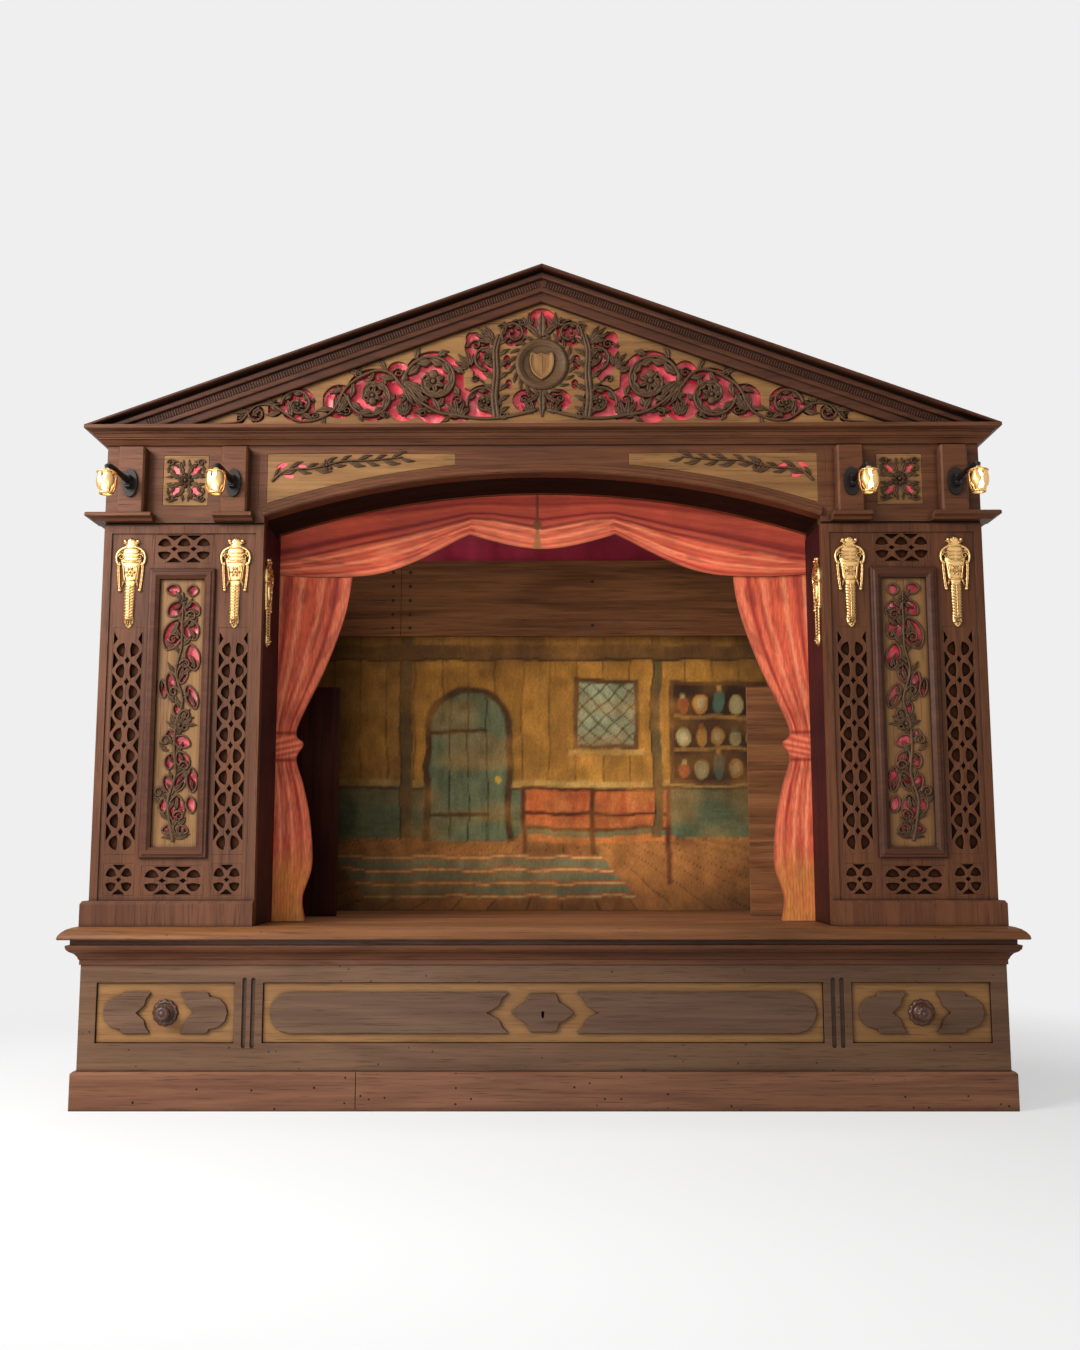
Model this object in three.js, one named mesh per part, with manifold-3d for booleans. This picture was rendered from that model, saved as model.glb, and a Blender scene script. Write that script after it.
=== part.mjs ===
// A free-standing puppet theatre: a classical proscenium with a gable, two fretted pilasters,
// a drawer base, four swivelling lamps and a small stage with painted flats.
// Millimetres. X runs left to right, Y from the front into the stage, Z up from the floor.
import * as THREE from 'three';
import { mergeVertices } from 'three/addons/utils/BufferGeometryUtils.js';
import Module from 'manifold-3d';

const wasm = await Module();
wasm.setup();

// Driving sizes

const seat = 0.3;      // hairline between two pieces that rest on each other
const overrun = 6;     // how far a cutter runs past the piece it cuts
const fretFit = 0.4;   // play round a fretted panel in its window
const round = 12;      // sides of a turned piece
const coarse = 8;      // sides of a small turned piece
const bite = 1;        // overlap of two pieces that are joined into one

const stageHalf = 606;        // half the opening between the pilasters
const pilasterWidth = 348;
const facadeDepth = 180;      // front of the pilasters to the back of the arch
const standDepth = 740;       // front of the pilasters to the back of the stand
const outerHalf = stageHalf + pilasterWidth;

const plinthHeight = 78;
const baseHeight = 215;
const ledgeMouldingHeight = 53;
const ledgeThickness = 26;
const pilasterHeight = 865;
const friezeHeight = 173;
const corniceHeight = 37;
const gableRise = 364;

const baseStep = 8;       // each step stands this far out from the pilasters
const plinthStep = 18;
const ledgeStep = 48;
const corniceStep = 41;
const plinthBlockStep = 14;

const baseZ = plinthHeight;
const ledgeMouldingZ = baseZ + baseHeight;
const ledgeZ = ledgeMouldingZ + ledgeMouldingHeight;
const stageZ = ledgeZ + ledgeThickness;
const friezeZ = stageZ + pilasterHeight;
const corniceZ = friezeZ + friezeHeight;
const gableZ = corniceZ + corniceHeight;
const gableHalf = outerHalf + corniceStep;
const gableSlope = gableRise / gableHalf;
const rakingHeight = 71;      // of the raking moulding, square to the slope
const roofThickness = 12;
const roofDrop = roofThickness * Math.hypot(1, gableSlope) + seat;

// Materials

const finish = (color, roughness, metalness = 0) => ({ color, roughness, metalness });
const wood = finish(0x6f5340, 0.55);
const paleWood = finish(0xa27a48, 0.6);
const floorWood = finish(0x5a4030, 0.7);
const gilt = finish(0xd9a94f, 0.35, 0.9);
const iron = finish(0x191512, 0.45, 0.6);
const bulbGlass = finish(0xfff0cf, 0.1);
const silk = finish(0xc8143c, 0.4);
const crimson = finish(0x9c0f30, 0.8);
const paintedCloth = finish(0xd2604a, 0.85);
const paintedScene = finish(0xb28440, 0.9);
const plank = finish(0x4d382c, 0.8);

// Geometry helpers

const theatre = new THREE.Group();
// The stand's own frame has its origin under the middle of the plinth.
theatre.position.y = (plinthStep - standDepth) / 2;

function signedVolume(geometry) {
  const flat = geometry.index ? geometry.toNonIndexed() : geometry;
  const p = flat.attributes.position;
  const a = new THREE.Vector3();
  const b = new THREE.Vector3();
  const c = new THREE.Vector3();
  let sum = 0;
  for (let i = 0; i < p.count; i += 3) {
    a.fromBufferAttribute(p, i);
    b.fromBufferAttribute(p, i + 1);
    c.fromBufferAttribute(p, i + 2);
    sum += a.dot(b.cross(c));
  }
  return sum;
}

// Position only, shared vertices merged, no empty triangles, faces pointing out.
function welded(source) {
  const geometry = source.clone();
  for (const name of Object.keys(geometry.attributes)) {
    if (name !== 'position') geometry.deleteAttribute(name);
  }
  geometry.clearGroups();
  const merged = mergeVertices(geometry);
  const flipped = signedVolume(merged) < 0;
  const kept = [];
  const index = merged.index.array;
  for (let i = 0; i < index.length; i += 3) {
    const [a, b, c] = index.subarray(i, i + 3);
    if (a === b || b === c || c === a) continue;
    kept.push(...(flipped ? [b, a, c] : [a, b, c]));
  }
  return merged.setIndex(kept);
}

function toSolid(geometry) {
  const g = welded(geometry);
  return new wasm.Manifold(new wasm.Mesh({
    numProp: 3,
    vertProperties: new Float32Array(g.attributes.position.array),
    triVerts: new Uint32Array(g.index.array),
  }));
}

function fromSolid(solid) {
  const mesh = solid.getMesh();
  const geometry = new THREE.BufferGeometry();
  geometry.setAttribute('position', new THREE.BufferAttribute(mesh.vertProperties, 3));
  geometry.setIndex(new THREE.BufferAttribute(mesh.triVerts, 1));
  return geometry;
}

function cut(geometry, ...cutters) {
  let solid = toSolid(geometry);
  for (const cutter of cutters) solid = solid.subtract(toSolid(cutter));
  return fromSolid(solid);
}

function join(...geometries) {
  let solid = toSolid(geometries[0]);
  for (const other of geometries.slice(1)) solid = solid.add(toSolid(other));
  return fromSolid(solid);
}

function common(geometry, other) {
  return fromSolid(toSolid(geometry).intersect(toSolid(other)));
}

function box(x0, x1, y0, y1, z0, z1) {
  const g = new THREE.BoxGeometry(x1 - x0, y1 - y0, z1 - z0);
  return g.translate((x0 + x1) / 2, (y0 + y1) / 2, (z0 + z1) / 2);
}

// An outline drawn in X and Z, as thick as y1 - y0.
function slab(shape, y0, y1, curveSegments = 6) {
  const g = new THREE.ExtrudeGeometry(shape, { depth: y1 - y0, bevelEnabled: false, curveSegments });
  return g.rotateX(Math.PI / 2).translate(0, y1, 0);
}

// A turned piece: the profile's pairs are radius and place along the axis.
function turned(profile, sides) {
  return new THREE.LatheGeometry(profile.map(([r, h]) => new THREE.Vector2(r, h)), sides);
}

const turnedUp = (profile, sides) => turned(profile, sides).rotateX(Math.PI / 2);
// The profile's places run towards the viewer.
const turnedForward = (profile, sides) => turned(profile, sides).rotateX(Math.PI);

const mirrored = (geometry) => welded(geometry.clone().scale(-1, 1, 1));
const bothSides = (geometry) => [geometry, mirrored(geometry)];

// The same piece on the left and on the right of the stand.
function pair(name, material, geometry) {
  part(`left_${name}`, material, mirrored(geometry));
  part(`right_${name}`, material, geometry);
}

// A moulding with mitred corners. The profile's pairs are how far out from the path and how far
// along the normal; out is to the right of travel as seen against the normal.
function moulding(profile, path, normal, closed = false) {
  const n = path.length;
  const rings = path.map((point, i) => {
    const before = closed || i > 0 ? path[(i + n - 1) % n] : null;
    const after = closed || i < n - 1 ? path[(i + 1) % n] : null;
    const sides = [];
    if (before) sides.push(point.clone().sub(before).normalize().cross(normal));
    if (after) sides.push(after.clone().sub(point).normalize().cross(normal));
    const out = sides.length === 2
      ? sides[0].clone().add(sides[1]).divideScalar(1 + sides[0].dot(sides[1]))
      : sides[0];
    return profile.map(([o, a]) => point.clone().addScaledVector(out, o).addScaledVector(normal, a));
  });
  const m = profile.length;
  const positions = rings.flat().flatMap((v) => [v.x, v.y, v.z]);
  const index = [];
  const spans = closed ? n : n - 1;
  for (let i = 0; i < spans; i++) {
    const j = (i + 1) % n;
    for (let k = 0; k < m; k++) {
      const l = (k + 1) % m;
      index.push(i * m + k, j * m + k, j * m + l, i * m + k, j * m + l, i * m + l);
    }
  }
  if (!closed) {
    const outline = profile.map(([o, a]) => new THREE.Vector2(o, a));
    const area = THREE.ShapeUtils.area(outline);
    for (const face of THREE.ShapeUtils.triangulateShape(outline, [])) {
      const sameTurn = THREE.ShapeUtils.area(face.map((k) => outline[k])) * area > 0;
      const [a, b, c] = sameTurn ? face : [face[0], face[2], face[1]];
      const last = (n - 1) * m;
      index.push(a, b, c, last + a, last + c, last + b);
    }
  }
  const geometry = new THREE.BufferGeometry();
  geometry.setAttribute('position', new THREE.BufferAttribute(new Float32Array(positions), 3));
  geometry.setIndex(index);
  return geometry;
}

const up = new THREE.Vector3(0, 0, 1);
const inward = new THREE.Vector3(0, 1, 0);
const at = (x, y, z = 0) => new THREE.Vector3(x, y, z);

// The line round the front and both sides of the stand.
function threeSides(half, front, back, z) {
  return [at(-half, back, z), at(-half, front, z), at(half, front, z), at(half, back, z)];
}

const scaled = (shares, a, b) => shares.map(([s, t]) => [s * a, t * b]);

// An oval outline about a point.
function oval(x, z, a, b, tilt = 0, sides = 8) {
  return Array.from({ length: sides }, (_, i) => {
    const t = (i / sides) * 2 * Math.PI;
    const u = a * Math.cos(t);
    const v = b * Math.sin(t);
    return new THREE.Vector2(u, v).rotateAround(new THREE.Vector2(), tilt).add(new THREE.Vector2(x, z));
  });
}

const disc = (...sizes) => new THREE.Shape(oval(...sizes));

const outline = (pairs) => new THREE.Shape(pairs.map(([x, z]) => new THREE.Vector2(x, z)));
const rectangle = (x0, x1, z0, z1) => [[x0, z0], [x1, z0], [x1, z1], [x0, z1]];

// A slab with holes, each a list of points, cut through it.
function pierced(shape, holes, y0, y1) {
  return cut(slab(shape, y0, y1), ...holes.map((points) =>
    slab(new THREE.Shape(points), y0 - overrun, y1 + overrun)));
}

function part(name, material, geometry) {
  const mesh = new THREE.Mesh(welded(geometry), new THREE.MeshStandardMaterial(material));
  mesh.name = name;
  theatre.add(mesh);
}

// Plinth: boards on three sides with a joint in the front one, a back board and a bearer

const plinthBoard = 22;
const plinthChamfer = 4;
const plinthJointX = -384;
const plinthBearer = 45;
const jointWidth = 1.4;
const jointDepth = 4;
{
  const half = outerHalf + plinthStep;
  const chamferZ = plinthHeight - plinthChamfer;
  const profile = [[-plinthBoard, 0], [0, 0], [0, chamferZ], [-plinthChamfer, plinthHeight],
    [-plinthBoard, plinthHeight]];
  const inner = half - plinthBoard + bite;
  const front = -plinthStep;
  const bearerFront = front + plinthBoard - bite;
  const boards = join(
    moulding(profile, threeSides(half, front, standDepth, 0), up),
    box(-inner, inner, standDepth - plinthBoard, standDepth, 0, plinthHeight),
    box(-plinthBearer / 2, plinthBearer / 2, bearerFront, standDepth - plinthBoard + bite, 0, plinthHeight),
  );
  part('plinth', wood, cut(boards, box(plinthJointX - jointWidth / 2, plinthJointX + jointWidth / 2,
    front - overrun, front + jointDepth, -overrun, plinthHeight + overrun)));
}

// Base: a framed front with three drawer windows on a closed carcass

const baseHalf = outerHalf + baseStep;
const frameThickness = 20;
const bottomRail = 56;
const windowHeight = 123;
const sideWindowShift = 3;      // outwards from the middle of the pilaster over it
const sideWindowWidth = 288;
const centreWindowInset = 25;   // in from the pilasters' inner faces
const fluteWidth = 9;
const fluteSpread = 18;
const fluteDepth = 5;
const fluteMargin = 10;      // how far the flutes run past the drawer windows
const carcassBoard = 18;
const carcassBottom = 12;
const sideWindowX = stageHalf + pilasterWidth / 2 + sideWindowShift;
const centreWindowHalf = stageHalf - centreWindowInset;
const windowZ = baseZ + bottomRail;
const windowTop = windowZ + windowHeight;
const frameBack = frameThickness - baseStep;
const sideWindowInner = sideWindowX - sideWindowWidth / 2;
const partitionX = (centreWindowHalf + sideWindowInner) / 2;
{
  const windows = [[-centreWindowHalf, centreWindowHalf],
    ...[-sideWindowX, sideWindowX].map((x) => [x - sideWindowWidth / 2, x + sideWindowWidth / 2])];
  const holes = windows.map(([x0, x1]) => outline(rectangle(x0, x1, windowZ, windowTop)).getPoints());
  const face = outline(rectangle(-baseHalf, baseHalf, baseZ + seat, ledgeMouldingZ));
  const flutes = [-1, 1].map((side) => {
    const x = partitionX + (side * fluteSpread) / 2;
    const reach = fluteMargin - fluteWidth / 2;
    const groove = new THREE.Shape();
    groove.absarc(x, windowTop + reach, fluteWidth / 2, 0, Math.PI);
    groove.absarc(x, windowZ - reach, fluteWidth / 2, Math.PI, 2 * Math.PI);
    return slab(groove, -baseStep - overrun, fluteDepth - baseStep, 3);
  });
  part('base_front_frame', wood, cut(pierced(face, holes, -baseStep, frameBack),
    ...flutes.flatMap(bothSides)));
}

const runGap = 0.4;          // running gap under and beside a drawer
const drawerSide = 10;
const drawerInset = 6;       // how far the box stands in from its window
const drawerDepth = 360;
const drawerHeight = 98;
const drawerBottom = 6;
const runnerHeight = 22;
const runnerUnder = 14;      // how far a runner reaches under the drawer's side
const runnerZ = windowZ + runGap;
{
  const z0 = baseZ + seat;
  const z1 = ledgeMouldingZ;
  const wall = baseHalf - carcassBoard;
  const front = frameBack + seat;
  const backBoard = standDepth - carcassBoard;
  const sideBox = sideWindowWidth / 2 - drawerInset;
  const partition = [partitionX - carcassBoard / 2, partitionX + carcassBoard / 2];
  const runner = (x0, x1) => box(x0, x1, front, backBoard + bite, runnerZ - runnerHeight, runnerZ);
  const sides = [
    box(wall, baseHalf, front, standDepth, z0, z1),
    box(...partition, front, backBoard + bite, z0, ledgeZ - seat),
    runner(centreWindowHalf - drawerInset - runnerUnder, partition[0] + bite),
    runner(partition[1] - bite, sideWindowX - sideBox + runnerUnder),
    runner(sideWindowX + sideBox - runnerUnder, wall + bite),
  ];
  part('base_carcass', wood, join(
    box(-wall - bite, wall + bite, backBoard, standDepth, z0, z1),
    box(-wall + seat, wall - seat, backBoard, standDepth, z1 - bite, ledgeZ - seat),
    box(-wall - bite, wall + bite, front, backBoard + bite, z0, z0 + carcassBottom),
    ...sides.flatMap(bothSides)));
}

// Drawers: a pale sunk panel with raised dark boards, a box behind it, and a turned knob or a lozenge

const drawerPlay = 1.2;
const panelSunk = 5;
const panelThickness = 14;
const boardThickness = 6;
const lobeInner = 31;
const lobeNotch = 30;
const lobeOuter = 129;
const lobeHeight = 82;
const shoulder = 9;
const centreLobeInner = 71;
const centreLobeNotch = 46;
const centreLobeMargin = 15;    // from the end of the raised board to the end of the drawer
const lozengeHalf = 65;
const lozengeHeight = 76;
const keyhole = { radius: 3.5, slot: 4, drop: 11 };
// Half of the notched end of a lobe: share of the notch's depth, share of the half height.
const notchShares = [[0, 1], [0.3, 0.7], [0.42, 0.36], [1, 0]];
// Half of the lozenge: share of its half width, share of its half height.
const lozengeShares = [[0, 1], [0.42, 1], [0.52, 0.55], [0.7, 0.4], [1, 0]];
// Knob on its rosette: share of the rosette's radius, share of the whole height.
const knobShares = [[0, 0], [1, 0], [1, 0.08], [0.88, 0.14], [0.62, 0.12], [0.6, 0.2], [0.3, 0.24],
  [0.26, 0.45], [0.5, 0.55], [0.61, 0.72], [0.55, 0.88], [0.34, 0.97], [0, 1]];
const rosetteRadius = 27.5;
const knobHeight = 32;
const panelFace = panelSunk - baseStep;
const panelMidZ = windowZ + windowHeight / 2;

// A raised board with a notch at one end and, on a small drawer, a round end between two shoulders.
function lobe(inner, notch, outer, height, step) {
  const h = height / 2;
  const end = notchShares.map(([s, t]) => [inner + s * notch, t * h]);
  const r = h - step;
  const points = [...end, ...end.slice(0, -1).reverse().map(([x, z]) => [x, -z])];
  const turnX = outer - r;
  if (step > 0) points.push([turnX - step, -h], [turnX - step / 2, -r]);
  const arcSteps = 6;
  for (let i = 0; i <= arcSteps; i++) {
    const t = -Math.PI / 2 + (i / arcSteps) * Math.PI;
    points.push([turnX + r * Math.cos(t), r * Math.sin(t)]);
  }
  if (step > 0) points.push([turnX - step / 2, r], [turnX - step, h]);
  return points;
}

function drawerParts(name, x, windowHalf, raised, holes = []) {
  const panelBack = panelFace + panelThickness;
  const half = windowHalf - drawerPlay;
  const front = box(-half, half, panelFace, panelBack, windowZ + drawerPlay, windowTop - drawerPlay);
  const boards = raised.map((shape) =>
    slab(shape, panelFace - boardThickness, panelFace + bite, 3).translate(0, 0, panelMidZ));
  const holeCutters = holes.map((points) => slab(new THREE.Shape(points), -standDepth, panelBack + overrun));
  part(`${name}_drawer_front`, paleWood, cut(join(front, ...boards), ...holeCutters).translate(x, 0, 0));

  const w = windowHalf - drawerInset;
  const y0 = panelBack + seat;
  const y1 = y0 + drawerDepth;
  const z0 = runnerZ + runGap;
  const hollow = box(-w + drawerSide, w - drawerSide, y0 + drawerSide, y1 - drawerSide,
    z0 + drawerBottom, z0 + drawerHeight + overrun);
  const drawerBox = cut(box(-w, w, y0, y1, z0, z0 + drawerHeight), hollow);
  part(`${name}_drawer_box`, plank, drawerBox.translate(x, 0, 0));
}

{
  const mirrorOutline = (points) => points.map(([x, z]) => [-x, z]).reverse();
  const sideLobe = lobe(lobeInner, lobeNotch, lobeOuter, lobeHeight, shoulder);
  const lobes = [sideLobe, mirrorOutline(sideLobe)].map(outline);
  for (const [name, x] of [['left', -sideWindowX], ['right', sideWindowX]]) {
    drawerParts(name, x, sideWindowWidth / 2, lobes);
    const knob = turnedForward(scaled(knobShares, rosetteRadius, knobHeight), round);
    part(`${name}_drawer_knob`, wood, knob.translate(x, panelFace - seat, panelMidZ));
  }

  const longLobe = lobe(centreLobeInner, centreLobeNotch, centreWindowHalf - centreLobeMargin, lobeHeight, 0);
  const quarter = scaled(lozengeShares, lozengeHalf, lozengeHeight / 2);
  const rightHalf = [...quarter, ...quarter.slice(0, -1).reverse().map(([x, z]) => [x, -z])];
  const lozenge = outline([...rightHalf, ...mirrorOutline(rightHalf.slice(1, -1))]);
  const hole = [...oval(0, 0, keyhole.radius, keyhole.radius).slice(0, 5),
    new THREE.Vector2(-keyhole.slot / 2, -keyhole.drop), new THREE.Vector2(keyhole.slot / 2, -keyhole.drop)];
  drawerParts('centre', 0, centreWindowHalf, [outline(longLobe), outline(mirrorOutline(longLobe)), lozenge],
    [hole.map((v) => v.setY(v.y + panelMidZ))]);
}

// Ledge: an ogee bed moulding, a nosed board on three sides and the planks of the stage floor

const ledgeMouldingStep = 28;
const ledgeInner = 120;
const bedThickness = 18;     // of the boards that the bed moulding is cut on
const floorPlanks = 5;
// Share of the moulding's reach, share of its height.
const bedShares = [[0, 0], [0.1, 0], [0.1, 0.19], [0.16, 0.21], [0.24, 0.32], [0.42, 0.44], [0.7, 0.52],
  [0.88, 0.62], [0.93, 0.72], [0.93, 0.78], [0.66, 0.8], [0.66, 1], [0, 1]];
// Share of the ledge's reach, share of its thickness.
const noseShares = [[0.8, 0], [0.96, 0], [1, 0.1], [0.96, 0.34], [0.86, 0.58], [0.7, 0.8], [0.5, 0.94],
  [0.34, 1]];
{
  const bed = scaled(bedShares, ledgeMouldingStep, ledgeMouldingHeight - 2 * seat);
  const bedBack = bed.map(([out, along]) => [out || -bedThickness, along]);
  part('ledge_moulding', wood,
    moulding(bedBack, threeSides(baseHalf, -baseStep, standDepth, ledgeMouldingZ + seat), up));
  const inside = [[-ledgeInner, ledgeThickness], [-ledgeInner, 0]];
  const nose = [...scaled(noseShares, ledgeStep, ledgeThickness), ...inside];
  part('ledge_top', wood, moulding(nose, threeSides(outerHalf, 0, standDepth, ledgeZ), up));

  const x = outerHalf - ledgeInner - seat;
  const y0 = ledgeInner + seat;
  const pitch = (standDepth - y0) / floorPlanks;
  const grooves = Array.from({ length: floorPlanks - 1 }, (_, i) => {
    const y = y0 + (i + 1) * pitch;
    return box(-x - overrun, x + overrun, y - jointWidth / 2, y + jointWidth / 2, stageZ - jointDepth,
      stageZ + overrun);
  });
  part('stage_floor', floorWood, cut(box(-x, x, y0, standDepth, ledgeZ, stageZ), ...grooves));
}

// Gilt mounts: a tapering term with a crest and side drops

const giltMount = { halfWidth: 33, height: 199, thickness: 8, top: 10, revealY: 56, revealDrop: 44 };
// Right half from the top down: share of the half width, share of the height
const mountShares = [[0, 1], [0.38, 0.97], [0.6, 0.86], [1, 0.74], [0.9, 0.5], [0.5, 0.47], [0.36, 0.56],
  [0.2, 0.1], [0.28, 0.04], [0, 0]];

function mountSolid() {
  const right = mountShares.map(([s, t]) => [s * giltMount.halfWidth, (t - 1) * giltMount.height]);
  const left = right.slice(1, -1).reverse().map(([x, z]) => [-x, z]);
  return slab(outline([...right, ...left]), -giltMount.thickness, 0);
}

// Pilasters: a bordered front over a tracery board, on a hollow case, with a block at the foot

const border = 17;
const fieldSunk = 3;
const fieldThickness = 4;
const frontDepth = 21;
const caseBoard = 14;
const capGap = 6;            // height of the shadow line over the pilaster
const capSunk = 6;
const pilasterX = stageHalf + pilasterWidth / 2;
const strip = { offset: 114, width: 66, up: 148, height: 486 };
const square = { offset: 114, width: 66, up: 63, height: 66 };
const foot = { width: 133, up: 63, height: 62 };
const head = { width: 127, up: 776, height: 64 };
const sight = { width: 100, up: 162, height: 580 };
const frameWidth = 23;
const frameLap = 1.5;
const traceryThickness = 8;
const traceryRows = 10;
const windowOf = (w, x, base = stageZ) => ({
  x0: x - w.width / 2, x1: x + w.width / 2, z0: base + w.up, z1: base + w.up + w.height,
});
// The corners of a window, or of a panel with play all round it.
const cornersOf = (w, play = 0) => rectangle(w.x0 + play, w.x1 - play, w.z0 + play, w.z1 - play);
const sightWindow = windowOf(sight, pilasterX);
const stripWindows = [-1, 1].map((s) => windowOf(strip, pilasterX + s * strip.offset));
const squareWindows = [-1, 1].map((s) => windowOf(square, pilasterX + s * square.offset));
const [footWindow, headWindow] = [foot, head].map((w) => windowOf(w, pilasterX));
const pilasterZ0 = stageZ + seat;
const pilasterZ1 = friezeZ - seat;
const fieldTop = pilasterZ1 - capGap - border;

// The block round the foot: share of its reach, share of its height
const plinthBlockHeight = 52;
const plinthBlockShares = [[0, 0], [1, 0], [1, 0.88], [0.7, 1], [0, 1]];
{
  const x0 = stageHalf;
  const x1 = outerHalf;
  const whole = outline(rectangle(x0, x1, pilasterZ0, pilasterZ1 - capGap + bite));
  const inside = rectangle(x0 + border, x1 - border, pilasterZ0 + bite, fieldTop);
  const edges = pierced(whole, [outline(inside).getPoints()], 0, frontDepth);
  const openBelow = box(x0 + border, x1 - border, fieldSunk, frontDepth + overrun, pilasterZ0 - overrun,
    pilasterZ0 + 2 * bite);
  const windows = [sightWindow, footWindow, headWindow, ...stripWindows, ...squareWindows];
  const fieldShape = outline(rectangle(x0 + border - bite, x1 - border + bite, pilasterZ0, fieldTop + bite));
  const holes = windows.map((w) => outline(cornersOf(w)).getPoints());
  const field = pierced(fieldShape, holes, fieldSunk, fieldSunk + fieldThickness);
  const cap = box(x0, x1, capSunk, frontDepth, pilasterZ1 - capGap, pilasterZ1);
  const blockProfile = scaled(plinthBlockShares, plinthBlockStep, plinthBlockHeight);
  const corner = x1 + seat;
  const block = moulding(blockProfile,
    [at(x0, 0, pilasterZ0), at(corner, 0, pilasterZ0), at(corner, facadeDepth, pilasterZ0)], up);
  const blockCore = box(x0, x1, -bite, fieldSunk + bite, pilasterZ0, pilasterZ0 + 0.88 * plinthBlockHeight);
  pair('pilaster_front', wood, join(cut(edges, openBelow), field, cap, block, blockCore));

  const y0 = frontDepth + seat;
  const rear = facadeDepth - caseBoard;
  const mount = mountSolid().rotateZ(-Math.PI / 2)
    .translate(x0 + bite, giltMount.revealY, fieldTop - giltMount.revealDrop);
  pair('pilaster_case', wood, join(
    box(x0, x0 + caseBoard, y0, facadeDepth, pilasterZ0, pilasterZ1),
    box(x1 - caseBoard, x1, y0, facadeDepth, pilasterZ0, pilasterZ1),
    box(x0 + caseBoard - bite, x1 - caseBoard + bite, rear, facadeDepth, pilasterZ0, pilasterZ1),
    box(x0 + caseBoard - bite, x1 - caseBoard + bite, y0, rear + bite, pilasterZ1 - caseBoard, pilasterZ1),
    mount));

  for (const [place, s] of [['inner', -1], ['outer', 1]]) {
    const x = pilasterX + s * strip.offset;
    pair(`${place}_mount`, gilt, mountSolid().translate(x, fieldSunk - seat, fieldTop - giltMount.top));
  }
}

// Moulded frames round the fretted panels: share of the frame's width, then how far forward
const frameProud = 8;
const frameShares = [[0, 0.3], [0.16, 0.62], [0.34, 1], [0.62, 1], [0.74, 0.7], [0.9, 0.62], [1, 0.3]];
{
  const profile = frameShares.map(([s, f]) => [s * frameWidth, -f * frameProud]);
  const back = fieldSunk - seat;
  const closed = [...profile, [frameWidth, back], [0, back]];
  const x0 = pilasterX - sight.width / 2 + frameLap;
  const x1 = pilasterX + sight.width / 2 - frameLap;
  const z0 = stageZ + sight.up + frameLap;
  const z1 = z0 + sight.height - 2 * frameLap;
  const path = [at(x0, 0, z1), at(x1, 0, z1), at(x1, 0, z0), at(x0, 0, z0)];
  pair('panel_frame', wood, moulding(closed, path, inward, true));
}

// Tracery: interlaced ribs left between rows of eyes, diamonds and darts, all as shares of the row

const eyeShare = { x: 0.2, a: 0.105, b: 0.24 };   // b follows the pitch, the rest the width
const eyeTilt = 0.42;
const diamondShare = { a: 0.085, b: 0.17 };
const dartShare = { edge: 0.46, inwards: 0.1, along: 0.27 };
// The darts beside the crown of an upright strip, about the last row.
const crownShares = [[0.46, -0.25], [0.46, 0.32], [0.36, 0]];
const crownRows = 0.6;
const traceryY = fieldSunk + fieldThickness + seat;

const eyeSides = 4;

// A straight run of tracery, its rows stacked upwards from zero.
function traceryHoles(width, pitch, rows) {
  const holes = [];
  for (let row = 0; row < rows; row++) {
    const z = (row + 0.5) * pitch;
    for (const side of [-1, 1]) {
      const [a, b] = [eyeShare.a * width, eyeShare.b * pitch];
      holes.push(oval(side * eyeShare.x * width, z, a, b, side * eyeTilt, eyeSides));
      if (row < rows - 1) {
        const edge = side * dartShare.edge * width;
        holes.push([[edge, -1], [edge, 1], [edge - side * dartShare.inwards * width, 0]].map(([x, t]) =>
          new THREE.Vector2(x, z + pitch / 2 + t * dartShare.along * pitch)));
      }
    }
    if (row < rows - 1) {
      holes.push(oval(0, z + pitch / 2, diamondShare.a * width, diamondShare.b * pitch, 0, 4));
    }
  }
  return holes;
}

{
  const placed = (holes, x, z) => {
    const by = new THREE.Vector2(x, z);
    return holes.map((hole) => hole.map((v) => v.clone().add(by)));
  };
  const upright = (w) => {
    const pitch = strip.height / (traceryRows + crownRows);
    const crown = [-1, 1].map((side) => crownShares.map(([s, t]) =>
      new THREE.Vector2(side * s * strip.width, (traceryRows + t) * pitch)));
    const holes = [...traceryHoles(strip.width, pitch, traceryRows), ...crown];
    return placed(holes, (w.x0 + w.x1) / 2, w.z0 + 0.05 * pitch);
  };
  const lying = (w, rows) => {
    const holes = traceryHoles(w.z1 - w.z0, (w.x1 - w.x0) / rows, rows);
    const turnedHoles = holes.map((hole) => hole.map((v) => new THREE.Vector2(v.y, v.x)));
    return placed(turnedHoles, w.x0, (w.z0 + w.z1) / 2);
  };
  const holes = [
    outline(cornersOf(sightWindow)).getPoints(),
    ...stripWindows.flatMap(upright),
    ...squareWindows.flatMap((w) => lying(w, 2)),
    ...[footWindow, headWindow].flatMap((w) => lying(w, 3)),
  ];
  const inner = border + seat;
  const board = outline(rectangle(stageHalf + inner, outerHalf - inner, pilasterZ0 + 2 * bite + seat,
    fieldTop - seat));
  pair('tracery', wood, pierced(board, holes, traceryY, traceryY + traceryThickness));
}

// Fretwork: scrolls and leaves left standing over openings, and raised above the board

const fretThickness = 8;
const fretSunk = 2;          // from the field's face to the fret's face
const silkThickness = 2;
const silkWave = 2;
const silkPitch = 52;

// A band of varying width along a curve.
function band(points, widthAt, steps) {
  const curve = new THREE.SplineCurve(points.map(([x, z]) => new THREE.Vector2(x, z)));
  const left = [];
  const right = [];
  for (let i = 0; i <= steps; i++) {
    const t = i / steps;
    const p = curve.getPoint(t);
    const d = curve.getTangent(t);
    const w = widthAt(t) / 2;
    left.push(new THREE.Vector2(p.x - d.y * w, p.y + d.x * w));
    right.unshift(new THREE.Vector2(p.x + d.y * w, p.y - d.x * w));
  }
  return new THREE.Shape([...left, ...right]);
}

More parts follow.
